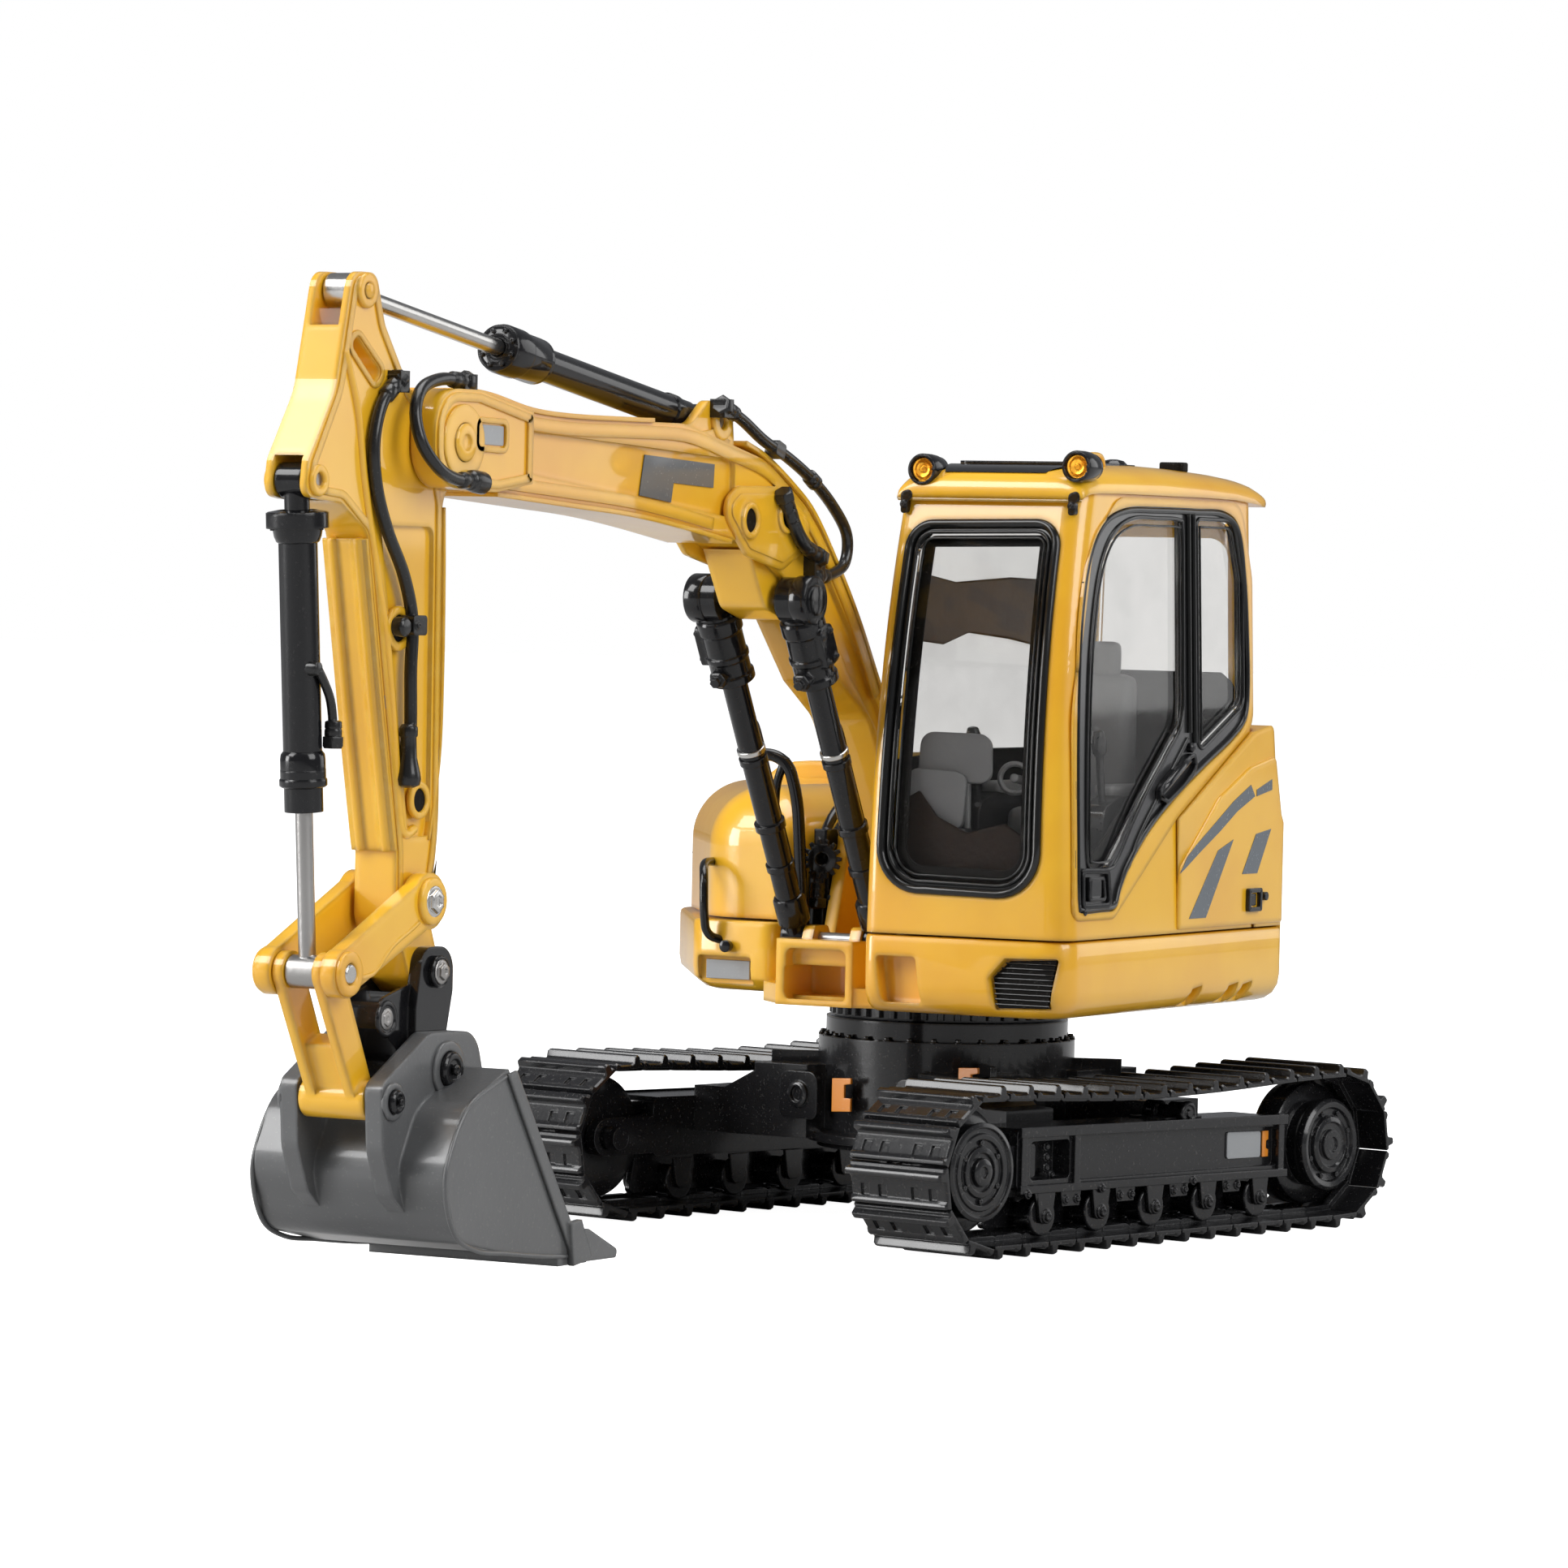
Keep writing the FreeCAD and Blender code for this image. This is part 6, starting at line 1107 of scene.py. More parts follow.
for x, z in roofTop["lamps"]:
    lathe(build, roofTop["bowl"], (x, -20.0, z), (0, -1, 0), 36)
    lathe(build, roofTop["bulb"], (x, -20.0, z), (0, -1, 0), 16)
addPiece("lamp_bowls", build, "amber bowl", "house")
build = bmesh.new()
for x, y in roofTop["boxes"]:
    pad(build, 0.9, 0.6, 0.3, 0.7, Matrix.Translation((x, y, 52.2)))
addPiece("roof_boxes", build, "deep black", "house", 0.12)
build = bmesh.new()
tubeMesh(build, smoothPath(roofTop["rail"], 6), 0.2, 12)
addPiece("roof_rails", build, "yellow", "house", smooth=80)
print("cab made")


# x of the plane that the boom, the arm and the bucket stand on
armPlane = 0.6


# bar from x0 to x1 along a path of (y, z) points; thick goes to the left of the way the path runs
def strip(build, path, x0, x1, thick):
    points = [Vector(p) for p in path]
    rings = []
    for i, here in enumerate(points):
        along = (points[min(i + 1, len(points) - 1)] - points[max(i - 1, 0)]).normalized()
        other = here + Vector((-along.y, along.x)) * thick
        section = ((x0, here), (x1, here), (x1, other), (x0, other))
        rings.append([build.verts.new((x, p.x, p.y)) for x, p in section])
    skin(build, rings)


# bar across the whole width of the boom or the arm
def coverStrip(build, path, half, thick):
    strip(build, path, armPlane - half, armPlane + half, thick)


# x and outward sign of the two flanks of a part half as wide as given
def bothSides(half):
    return ((armPlane + half, 1), (armPlane - half, -1))


# point function of a flank for ribbon, sunk a little into it
def onFlank(x, sign, sunk):
    return lambda u, v, lift: Vector((x + sign * (lift - sunk), u, v))


def ringOn(build, x, sign, y, z, outer, inner, high, count=36):
    profile = ((inner, -0.1), (outer, -0.1), (outer, high * 0.7), (outer - high * 0.35, high),
               (inner + high * 0.3, high), (inner, high * 0.6), (inner, -0.1))
    lathe(build, profile, (x, y, z), (sign, 0, 0), count)


# boom
boomParts = {
    "rimTop": ((-16.4, 36.9), (-19.4, 41.2), (-22.4, 44.7), (-25.9, 48.1), (-29.0, 50.0), (-32.4, 51.75),
               (-37.5, 52.8), (-43.0, 53.75), (-50, 53.8), (-57.0, 53.75), (-62, 53.95), (-64.6, 54.35)),
    "rimLow": ((-64.6, 49.4), (-57.0, 49.0), (-50.0, 48.6), (-44.0, 48.0), (-39.4, 47.4)),
    "top": ((-69.2, 55.15), (-66.5, 54.9), (-62, 54.2), (-57.0, 53.98), (-50, 54.0), (-47.2, 54.03)),
    "topRear": ((-35.4, 52.95), (-32.6, 52.1), (-29.0, 50.4), (-26.0, 48.55), (-22.5, 45.0), (-19.5, 41.45),
                (-16.0, 36.6), (-11.5, 30.9)),
    "low": ((-37.0, 46.85), (-44.0, 47.75), (-50.0, 48.35), (-57.0, 48.75), (-66.0, 49.25)),
    "boss": ((-38.6, 48.9, 1.2), (-36.3, 50.3, 1.4), (-30.4, 50.4, 1.8), (-27.0, 48.4, 1.6),
             (-26.6, 46.6, 1.2), (-30.3, 44.9, 1.4), (-35.0, 45.8, 1.4)),
    "holes": ((-35.05, 48.1, 0.78), (-30.2, 48.5, 0.78)),
    "badge": ((-70.0, 51.95, 0.25), (-70.0, 53.35, 0.25), (-66.9, 53.3, 0.25), (-66.9, 51.9, 0.25)),
    "block": ((-47.6, 52.0), (-38.7, 51.62), (-38.8, 50.1), (-43.9, 50.3), (-44.2, 49.05), (-48.2, 49.42)),
    "nose": ((-74.5, 49.6, 2.3), (-74.5, 55.1, 2.4), (-69.8, 55.1, 1.5), (-63.7, 54.0, 0.3),
             (-63.7, 49.9, 0.3), (-67.5, 49.4, 1)),
    "ear": ((-42.6, 53.4), (-38.9, 53.9), (-36.9, 53.2), (-37.6, 52.4), (-42.6, 52.4)),
    "ridge": ((-33.4, 52.75), (-30, 51.4), (-26.4, 49.2), (-22.8, 45.7), (-19.6, 42.1), (-16.2, 37.5),
              (-12.6, 33.0)),
    "cap": ((1.15, 0), (1.15, 0.28), (1.0, 0.38), (0.52, 0.38), (0.46, 0.22), (0, 0.22)),
    "noseHalf": 3.3, "earHalf": 1.9, "half": 2.2, "capHalf": 2.42,
}
build = bmesh.new()
for name in ("top", "topRear", "low"):
    coverStrip(build, curve(boomParts[name]), boomParts["capHalf"], 0.3)
boss = dense(rounded(boomParts["boss"], 8), 0.5)
for x, sign in bothSides(boomParts["half"]):
    for gap, low, high in ((0.0, -0.1, 0.24), (0.5, 0.2, 0.36)):
        slab(build, inward(boss, gap), high - low, sidePlane(x + sign * low, sign))
    for y, z, radius in boomParts["holes"]:
        ringOn(build, x + sign * 0.32, sign, y, z, radius + 0.4, radius, 0.3)
    ringOn(build, x - sign * 0.04, sign, -9.5, 26.5, 1.9, 0.9, 0.14)
    for name, width in (("rimTop", 0.85), ("rimLow", 0.8)):
        strip(build, curve(boomParts[name]), x - sign * 0.06, x + sign * 0.16, width)
nose = dense(rounded(boomParts["nose"]), 0.5)
badge = dense(rounded(boomParts["badge"]), 0.5)
for x, sign in bothSides(boomParts["noseHalf"]):
    ribbon(build, nose, inward(nose, 0.55), onFlank(x, sign, 0.05), 0.2)
    ringOn(build, x, sign, -71.6, 52.1, 2.3, 1.15, 0.2, 48)
    lathe(build, boomParts["cap"], (x, -71.6, 52.1), (sign, 0, 0), 32)
    ribbon(build, inward(badge, -0.35), badge, onFlank(x, sign, 0.02), 0.22)
for x, sign in bothSides(boomParts["earHalf"]):
    ringOn(build, x, sign, -38.0, 54.4, 1.25, 0.5, 0.3)
    sidePlate(build, boomParts["ear"], x - 0.16, 0.32)
addPiece("boom_trim", build, "yellow", "boom", 0.09)

# deep black discs down in the bosses' holes: painted shade inside the holes
build = bmesh.new()
for x, sign in bothSides(boomParts["half"]):
    for y, z, radius in boomParts["holes"]:
        lathe(build, ((0, 0.39), (radius, 0.39), (radius, 0.1), (0, 0.1)), (x, y, z), (sign, 0, 0), 28)
addPiece("boom_hole_shade", build, "deep black", "boom")
build = bmesh.new()
for x, sign in bothSides(0.9):
    tubeMesh(build, smoothPath([(x, y, z) for y, z in boomParts["ridge"]], 6), 0.42, 12)
addPiece("boom_ridges", build, "yellow", "boom", smooth=80)

# blank plate on the nose and block of colour on the flank: x where each starts
for word, plateAt, blockAt in (("left", 3.9, 2.49), ("right", -2.77, -1.35)):
    build = bmesh.new()
    sidePlate(build, inward(badge, 0.1), plateAt, 0.07)
    addPiece("boom_badge_" + word, build, "plate grey", "boom", 0.02)
    build = bmesh.new()
    sidePlate(build, boomParts["block"], blockAt, 0.06)
    addPiece("boom_decal_" + word, build, "decal grey", "boom")


# the line of a cylinder from start to end, both (y, z): a function that gives its points, and its direction
def alongLine(start, end, x):
    first, last = Vector((x, *start)), Vector((x, *end))
    way = (last - first).normalized()
    return (lambda t, side=(0, 0, 0): first + way * t + Vector(side)), way


# bolts on a circle about a cylinder's axis
def boltCircle(build, middle, way, count, ring, radius, high):
    up = across.cross(way).normalized()
    for turn in turnsOf(count, 0.5):
        spot = middle + (up * math.cos(turn) + across * math.sin(turn)) * ring
        bolt(build, spot, way, radius, high, False)


lift = {
    "foot": (-17.0, 20.2), "pin": (-29.6, 43.0), "places": (3.75, -2.55),
    "sleeve": ((1.32, 19.9), (1.5, 20.0), (1.5, 20.5), (1.36, 20.65), (1.36, 21.6), (1.46, 21.7),
               (1.46, 22.0), (1.36, 22.1), (1.36, 23.6), (1.5, 23.75), (1.5, 24.6), (1.36, 24.8),
               (1.3, 24.8)),
    "ring": ((0.84, 14.4), (0.97, 14.45), (0.97, 14.75), (0.84, 14.8)),
    "root": ((0.84, 1.3), (1.1, 1.35), (1.1, 3.1), (0.98, 3.3), (0.84, 3.35)),
    "block": ((-0.85, -1.3, 0.3), (0.85, -1.3, 0.3), (0.85, 1.5, 0.5), (-0.85, 1.5, 0.5)),
    "blockBolts": ((-0.5, -0.9), (0.5, -0.9), (0.5, 1.0), (-0.5, 1.0)),
    "eye": ((1.55, -0.62), (1.62, -0.5), (1.62, 0.5), (1.55, 0.62), (0.95, 0.62), (0.95, 0.85), (0.5, 0.9),
            (0, 0.9)),
    "fitting": ((0.62, 0), (0.62, 1.0), (0.5, 1.12), (0.36, 1.12), (0.36, 1.5), (0, 1.5)),
    # feed pipe: way along the barrel, distance from its axis; its clips
    "pipe": ((3.2, 0.9), (3.6, 1.32), (6, 1.36), (12, 1.36), (15.6, 1.36), (16.1, 0.85)),
    "clips": (5.4, 13.6),
    "clip": ((-0.3, -0.25), (0.3, -0.25), (0.3, 0.25), (-0.3, 0.25)),
}
sleeves, roots, rings = bmesh.new(), bmesh.new(), bmesh.new()
for x in lift["places"]:
    at, way = alongLine(lift["foot"], lift["pin"], x)
    outward = 1 if x > 0 else -1
    lathe(sleeves, lift["sleeve"], at(0), way, 32, True)
    # valve block with its bolts, the eye on the pin and the fitting in front
    base = standing(at(22.6, (outward, 0, 0)), (outward, 0, 0), way)
    slab(sleeves, rounded(lift["block"]), 0.62, base)
    for u, v in lift["blockBolts"]:
        bolt(sleeves, base @ Vector((u, v, 0.6)), (outward, 0, 0), 0.16, 0.22)
    lathe(sleeves, lift["eye"], at(26.05, (outward * 0.8, 0, 0)), (outward, 0, 0), 36)
    front = way.cross(across)
    if front.y > 0:
        front = -front
    lathe(sleeves, lift["fitting"], at(20.9) + front * 0.9, front, 6)
    lathe(rings, lift["ring"], at(0), way, 32, True)
    lathe(roots, lift["root"], at(0), way, 32, True)
    tubeMesh(roots, smoothPath([at(t) - front * away for t, away in lift["pipe"]], 6), 0.2, 10)
    for t in lift["clips"]:
        lathe(roots, ((0.84, t), (0.98, t + 0.04), (0.98, t + 0.5), (0.84, t + 0.54)), at(0), way, 28, True)
        slab(roots, lift["clip"], 0.35, standing(at(t + 0.27) - front * 1.15, front, way))
addPiece("lift_heads", sleeves, "gloss black", "boom_rods", 0.05)
addPiece("lift_rings", rings, "bright steel", "boom_barrels")
addPiece("lift_roots", roots, "gloss black", "boom_barrels", 0.03)

reach = {
    "foot": (-38.0, 54.4), "pin": (-79.8, 60.8),
    "head": ((1.04, 20.0), (1.3, 20.1), (1.46, 20.5), (1.46, 22.6), (1.55, 22.7), (1.55, 24.3), (1.45, 24.6),
             (1.1, 24.72), (0.8, 24.74), (0.72, 24.5), (0.6, 24.5)),
    "foot ring": ((1.04, 2.9), (1.12, 3.0), (1.12, 3.8), (1.04, 3.95)),
    # pipe: way along the barrel, distance from its axis
    "pipe": ((4.4, 1.4), (6.0, 1.5), (12, 1.5), (17.6, 1.5), (19.0, 1.4)), "clamps": (4.4, 19.0),
}
build = bmesh.new()
at, way = alongLine(reach["foot"], reach["pin"], armPlane)
lathe(build, reach["head"], at(0), way, 40, True)
lathe(build, reach["foot ring"], at(0), way, 36, True)
boltCircle(build, at(24.66), way, 8, 1.13, 0.16, 0.22)
for t in reach["clamps"]:
    pad(build, 0.42, 0.5, 0.12, 0.62, standing(at(t, (-0.9, 0, 0)), (-1, 0, 0), way))
tubeMesh(build, smoothPath([at(t, (-away, 0, 0)) for t, away in reach["pipe"]], 6), 0.2, 10)
addPiece("reach_head", build, "gloss black", "arm_barrel", 0.04)

curl = {
    "foot": (-84.6, 49.5), "pin": (-82.4, 20.6),
    "cap": ((1.2, 1.75), (1.76, 1.85), (1.82, 2.0), (1.82, 2.55), (1.76, 2.7), (1.5, 2.74), (1.4, 3.3),
            (1.28, 3.6), (1.14, 3.7)),
    "gland": ((1.14, 15.9), (1.3, 16.1), (1.34, 16.4), (1.34, 17.5), (1.42, 17.6), (1.42, 17.95),
              (1.3, 18.05), (1.1, 18.1), (1.06, 19.4), (0.98, 19.52), (0.62, 19.52)),
}
build = bmesh.new()
at, way = alongLine(curl["foot"], curl["pin"], armPlane)
lathe(build, curl["cap"], at(0), way, 40, True)
lathe(build, curl["gland"], at(0), way, 40, True)
boltCircle(build, at(2.7), way, 6, 1.66, 0.15, 0.2)
addPiece("curl_heads", build, "gloss black", "bucket_barrel", 0.03)
print("boom and cylinders made")


# arm: raised rims and folds, rings, painted shade in the ring bores, tags
armParts = {
    # outline of the side plates, corner by corner
    "outline": ((-81.0, 61.7, 1.1), (-78.8, 61.7, 0.9), (-77.8, 58.9, 2), (-74.9, 55.1, 1.5),
                (-72.6, 53.2, 1), (-71.0, 48.5, 2), (-70.75, 27.4, 16), (-71.9, 24.2, 2.4),
                (-74.9, 23.8, 1.0), (-75.05, 27.6, 3), (-78.8, 46.5, 1.5), (-81.9, 48.5, 1),
                (-85.6, 48.8, 0.9), (-85.3, 50.5, 0.8), (-82.6, 54.9, 4)),
    "shin": ((-79.15, 46.2), (-78.2, 41.5), (-77.0, 35.5), (-75.6, 29.0), (-75.25, 27.6)),
    "back": ((-71.75, 28.2), (-70.75, 33.0), (-70.55, 38.0), (-70.6, 44.0), (-70.75, 48.2)),
    "fold": ((-81.9, 57.2), (-80.4, 53.6), (-79.6, 49.8), (-78.4, 45.6), (-76.8, 40.4), (-75.8, 35.2),
             (-74.9, 29.6), (-74.2, 28.6), (-73.2, 28.9)),
    "tags": (((-77.6, 41.2), (-77.2, 41.25), (-76.4, 37.5), (-76.8, 37.4)),
             ((-76.9, 36.9), (-76.5, 37.0), (-75.6, 32.6), (-76.0, 32.5))),
    # rings: place, outer and inner radius, height; shadedBores: place, radius, depth of the black disc that
    # paints the shade in a ring's bore
    "rings": ((-79.8, 60.8, 1.05, 0.45, 0.3), (-84.6, 49.5, 0.95, 0.45, 0.28), (-72.9, 30.6, 1.15, 0.7, 0.24),
              (-73.4, 24.6, 1.3, 0.5, 0.3), (-75.6, 40.9, 1.35, 0.8, 0.26)),
    "shadedBores": ((-75.6, 40.9, 0.8, 0.03, 0.1), (-72.9, 30.6, 0.7, 0.02, 0.06)),
    "pinCap": ((0.45, 0), (0.45, 0.36), (0.3, 0.44), (0, 0.44)), "capPlace": (-79.8, 60.8),
    "slot": ((-81.4, 57.6, 0.35), (-80.6, 58.1, 0.35), (-77.9, 56.1, 0.35), (-78.6, 55.4, 0.35)),
    "half": 1.45, "capHalf": 1.58,
}
build = bmesh.new()
for name in ("shin", "back"):
    coverStrip(build, curve(armParts[name])[::-1], armParts["capHalf"], 0.2)
for x, sign in bothSides(0.9):
    tubeMesh(build, [(x, y - 0.1, z) for y, z in curve(armParts["shin"])], 0.34, 12)
rim = dense(rounded(armParts["outline"], 8), 0.6)
slot = dense(rounded(armParts["slot"]), 0.4)
for x, sign in bothSides(armParts["half"]):
    tubeMesh(build, [(x - sign * 0.05, y, z) for y, z in curve(armParts["fold"], 8)], 0.3, 12)
    ribbon(build, rim, inward(rim, 0.5), onFlank(x, sign, 0.05), 0.17)
    ribbon(build, inward(slot, -0.42), inward(slot, -0.06), onFlank(x, sign, 0.02), 0.16)
    for ring in armParts["rings"]:
        ringOn(build, x, sign, *ring)
    lathe(build, armParts["pinCap"], (x, *armParts["capPlace"]), (sign, 0, 0), 20)
addPiece("arm_trim", build, "yellow", "arm", 0.07)
# deep black discs in the bores of two rings: painted shade
build = bmesh.new()
for x, sign in bothSides(armParts["half"]):
    for y, z, radius, low, high in armParts["shadedBores"]:
        lathe(build, ((0, low), (radius, low), (radius, high), (0, high)), (x, y, z), (sign, 0, 0), 28)
addPiece("arm_hole_shade", build, "deep black", "arm")
build = bmesh.new()
for x, sign in bothSides(armParts["half"]):
    for tag in armParts["tags"]:
        sidePlate(build, tag, x - (0.06 if sign < 0 else 0), 0.06)
addPiece("arm_tags", build, "plate grey", "arm")

# hoses with crimped ends; the line to the bucket cylinder
hoses = {
    "arm": ((-76.9, 55.5), (-78.5, 54.1), (-79.25, 51.8), (-78.85, 49.2), (-77.6, 46.7), (-75.7, 44.1),
            (-74.65, 41.4), (-74.7, 38.3), (-74.6, 35.1), (-74.8, 32.2)),
    "nose": ((2.95, -70.0, 55.8), (2.95, -72.6, 55.85), (3.1, -75.0, 55.2), (3.5, -76.3, 53.7),
             (4.0, -76.3, 51.9), (4.35, -75.0, 50.5), (4.35, -73.1, 49.9), (4.35, -71.0, 49.8)),
    "top": ((-38.8, 55.3), (-36.4, 54.5), (-33.6, 53.3), (-30.4, 52.3), (-27.2, 51.0), (-24.2, 49.3),
            (-22.1, 47.4), (-22.3, 45.5), (-24.3, 44.7), (-26.3, 44.6)),
    "side": ((-31.2, 49.6), (-30.0, 48.0), (-28.6, 46.7), (-26.6, 45.9)),
    "feed": ((-84.0, 38.4), (-83.3, 37.6), (-82.7, 36.7), (-82.4, 35.6), (-82.3, 34.4)),
    "radius": 0.39,
    # coupling at the lower end of the arm's hose, pipe stub, elbow at the nose, elbow of the feed
    "coupling": ((0.4, -0.6), (0.56, -0.4), (0.56, 0.1), (0.48, 0.2), (0.52, 1.4), (0.72, 2.3), (0.78, 2.7),
                 (0.7, 3.05), (0.35, 3.2), (0, 3.2)),
    "stub": ((0, 0), (0.6, 0), (0.6, 0.9), (0.45, 1.05), (0, 1.05)),
    "elbow": ((0.42, -0.6), (0.62, -0.4), (0.7, 0.3), (0.7, 1.0), (0.5, 1.3), (0, 1.35)),
    "feedElbow": ((0, 0), (0.45, 0), (0.5, 0.3), (0.4, 0.9), (0, 1.0)),
}


# ferrule, nut and collar at the end of a hose
def crimp(build, place, out, size=1.0, nut=True):
    radius = hoses["radius"]
    sleeve = ((0.9, -1.5), (1.3, -1.4), (1.35, -0.9), (1.22, -0.8), (1.35, -0.7), (1.35, -0.2), (1.1, 0))
    lathe(build, [(radius * wide, high * size) for wide, high in sleeve], place, out, 18)
    if nut:
        lathe(build, ((0, -0.1), (radius * 1.75, -0.1), (radius * 1.75, 0.45), (radius * 1.5, 0.6), (0, 0.6)),
              place, out, 6)


# hose through the points; sizes of the crimps at its ends, of which 0 leaves one out
def hose(build, points, radius, sizes=(1.0, 1.0), step=8, count=14, back=3):
    path = smoothPath(points, step)
    tubeMesh(build, path, radius, count)
    for end, inner, size in ((path[0], path[back], sizes[0]), (path[-1], path[-1 - back], sizes[1])):
        if size:
            crimp(build, end, end - inner, size)
    return path


build = bmesh.new()
radius = hoses["radius"]
beside = 2.05 + radius + 0.06
hose(build, [(beside, y, z) for y, z in hoses["arm"]], radius, (1.0, 0))
lathe(build, hoses["coupling"], (beside, -74.8, 34.6), (0.0, 0.02, -1), 20)
pad(build, 0.75, 0.6, 0.25, 1.15, standing((2.0, -74.7, 41.1), (1, 0, 0), (0, 0, 1)))
bolt(build, (3.14, -75.1, 41.1), (1, 0, 0), 0.2, 0.2)
lathe(build, hoses["stub"], (2.05, -76.1, 41.0), (1, 0, 0), 20)
chunk(build, (1.9, -77.2, 54.9), (3.0, -76.2, 56.2))
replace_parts(addPiece("arm_hose_line", build, "hose rubber", "arm", 0.04, 60), "arm_hoses")

build = bmesh.new()
beside = 2.8 + radius + 0.06
path = hose(build, [(beside, y, z) for y, z in hoses["top"]], radius)
crimp(build, path[34], path[36] - path[33], 0.8, False)
hose(build, [(beside + 0.35, y, z) for y, z in hoses["side"]], radius * 1.25, (1.2, 1.2))
hose(build, hoses["nose"], radius)
# end block on top, clamps on the flank, end block and elbow at the nose
chunk(build, (2.5, -39.4, 54.6), (3.6, -38.2, 55.8))
pad(build, 0.7, 1.1, 0.3, 0.95, standing((2.75, -26.4, 45.3), (1, 0, 0), (0, 0, 1)))
for z in (46.0, 44.6):
    bolt(build, (3.68, -26.4, z), (1, 0, 0), 0.2, 0.2)
pad(build, 0.6, 0.5, 0.2, 0.9, standing((2.75, -31.9, 52.75), (1, 0, 0), (0, 0.35, 1)))
chunk(build, (2.5, -70.6, 55.2), (3.4, -69.2, 56.25))
lathe(build, hoses["elbow"], (4.35, -71.0, 49.8), (0, 1, -0.1), 20)
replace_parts(addPiece("boom_hose_line", build, "hose rubber", "boom", 0.04, 60), "boom_hoses")

build = bmesh.new()
path = smoothPath([(2.0, y, z) for y, z in hoses["feed"]], 6)
tubeMesh(build, path, 0.28, 12)
crimp(build, path[-1], (0, 0, -1), 0.7)
lathe(build, hoses["feedElbow"], (1.2, -84.1, 38.5), (1, 0, 0), 16)
addPiece("curl_feed", build, "hose rubber", "bucket_barrel", 0.03)

# rocker and coupler with their pins and bolts: places on the side view
linkage = {
    "armPin": (-73.4, 24.6), "rodPin": (-82.4, 20.6), "upper": (-71.7, 20.3), "lower": (-76.2, 17.6),
    "bucketPin": (-72.4, 14.5), "rockerHalf": 2.8, "couplerHalf": 2.25, "webHalf": 1.64,
    "bead": ((-81.0, 20.3), (-79.4, 20.6), (-77.6, 22.0), (-75.4, 23.0), (-74.6, 23.4)),
    "nut": ((0.74, 0.1), (0.74, 0.5), (0.66, 0.62), (0.4, 0.66), (0.34, 0.52), (0, 0.5)),
    "washer": ((0, 0), (0.98, 0), (0.98, 0.3), (0.9, 0.38), (0, 0.38)),
    "pinEnd": ((0.6, -0.1), (0.6, 0.2), (0.5, 0.3), (0, 0.3)),
    "web": ((-76.4, 18.7, 0.4), (-73.9, 19.4), (-73.0, 17.4), (-75.2, 16.3, 0.4)), "webs": (-1.0, 1.6),
}


def couplerBoss(build, x, sign, place, wide, high):
    profile = ((0, -0.1), (wide, -0.1), (wide, high - 0.1), (wide - 0.1, high), (0.85, high),
               (0.8, high - 0.08), (0, high - 0.08))
    lathe(build, profile, (x, *place), (sign, 0, 0), 36)


build = bmesh.new()
for x, sign in bothSides(linkage["rockerHalf"]):
    ringOn(build, x, sign, *linkage["armPin"], 1.45, 0.75, 0.34)
    ringOn(build, x, sign, *linkage["rodPin"], 1.35, 0.62, 0.3)
    tubeMesh(build, smoothPath([(x - sign * 0.1, y, z) for y, z in linkage["bead"]], 6), 0.2, 10)
addPiece("rocker_trim", build, "yellow", "rocker", 0.06)
build = bmesh.new()
for x, sign in bothSides(linkage["rockerHalf"]):
    lathe(build, linkage["nut"], (x, *linkage["armPin"]), (sign, 0, 0), 6)
    lathe(build, linkage["washer"], (x, *linkage["armPin"]), (sign, 0, 0), 32)
    lathe(build, linkage["pinEnd"], (x, *linkage["rodPin"]), (sign, 0, 0), 24)
addPiece("rocker_bolts", build, "bright steel", "rocker", 0.03)

build = bmesh.new()
for x, sign in bothSides(linkage["couplerHalf"]):
    couplerBoss(build, x, sign, linkage["upper"], 1.0, 0.4)
    couplerBoss(build, armPlane + sign * linkage["webHalf"], sign, linkage["lower"], 1.15, 0.1)
    ringOn(build, x, sign, *linkage["bucketPin"], 1.5, 0.75, 0.1)
for x in linkage["webs"]:
    sidePlate(build, rounded(linkage["web"]), x, 0.4)
addPiece("coupler_bosses", build, "gloss black", "arm", 0.07)
build = bmesh.new()
for x, sign in bothSides(linkage["couplerHalf"]):
    bolt(build, (x + sign * 0.28, *linkage["upper"]), (sign, 0, 0), 0.52, 0.42)
    bolt(build, (armPlane + sign * (linkage["webHalf"] + 0.02), *linkage["lower"]), (sign, 0, 0), 0.46, 0.1)
addPiece("coupler_bolts", build, "pin steel", "arm", 0.03)

# bucket: side cutters, beads along its edges, rings and caps of its pins
bucketParts = {
    "left": 7.4, "right": -6.2,
    "cutter": ((-70.9, 14.3), (-69.9, 14.5), (-61.7, 2.7), (-62.7, 2.3)),
    "corner": ((-63.6, 4.9), (-62.3, 5.0), (-60.9, 2.5), (-63.2, 2.2)),
    "bead": ((-70.9, 14.2), (-75.0, 12.6), (-77.2, 9.6), (-77.5, 7.4), (-76.3, 5.0), (-73.8, 3.9),
             (-70.5, 3.5), (-66.5, 3.05), (-63.4, 2.8)),
    # pins: place, radius of the cap, outer and inner radius of the ring round it
    "pins": ((-72.4, 14.5, 1.1, 1.75, 1.1), (-78.5, 12.9, 0.72, 1.15, 0.7)), "half": 3.6,
}
build = bmesh.new()
for x, sign in ((bucketParts["left"], 1), (bucketParts["right"], -1)):
    for name, thick in (("cutter", 0.22), ("corner", 0.42)):
        sidePlate(build, bucketParts[name], x if sign > 0 else x - thick, thick)
    tubeMesh(build, [(x, y, z) for y, z in curve(bucketParts["bead"], 8)], 0.16, 10)
for x, sign in bothSides(bucketParts["half"]):
    for y, z, wide, outer, inner in bucketParts["pins"]:
        ringOn(build, x, sign, y, z, outer, inner, 0.22)
addPiece("bucket_trim", build, "bucket grey", "bucket", 0.07)
build = bmesh.new()
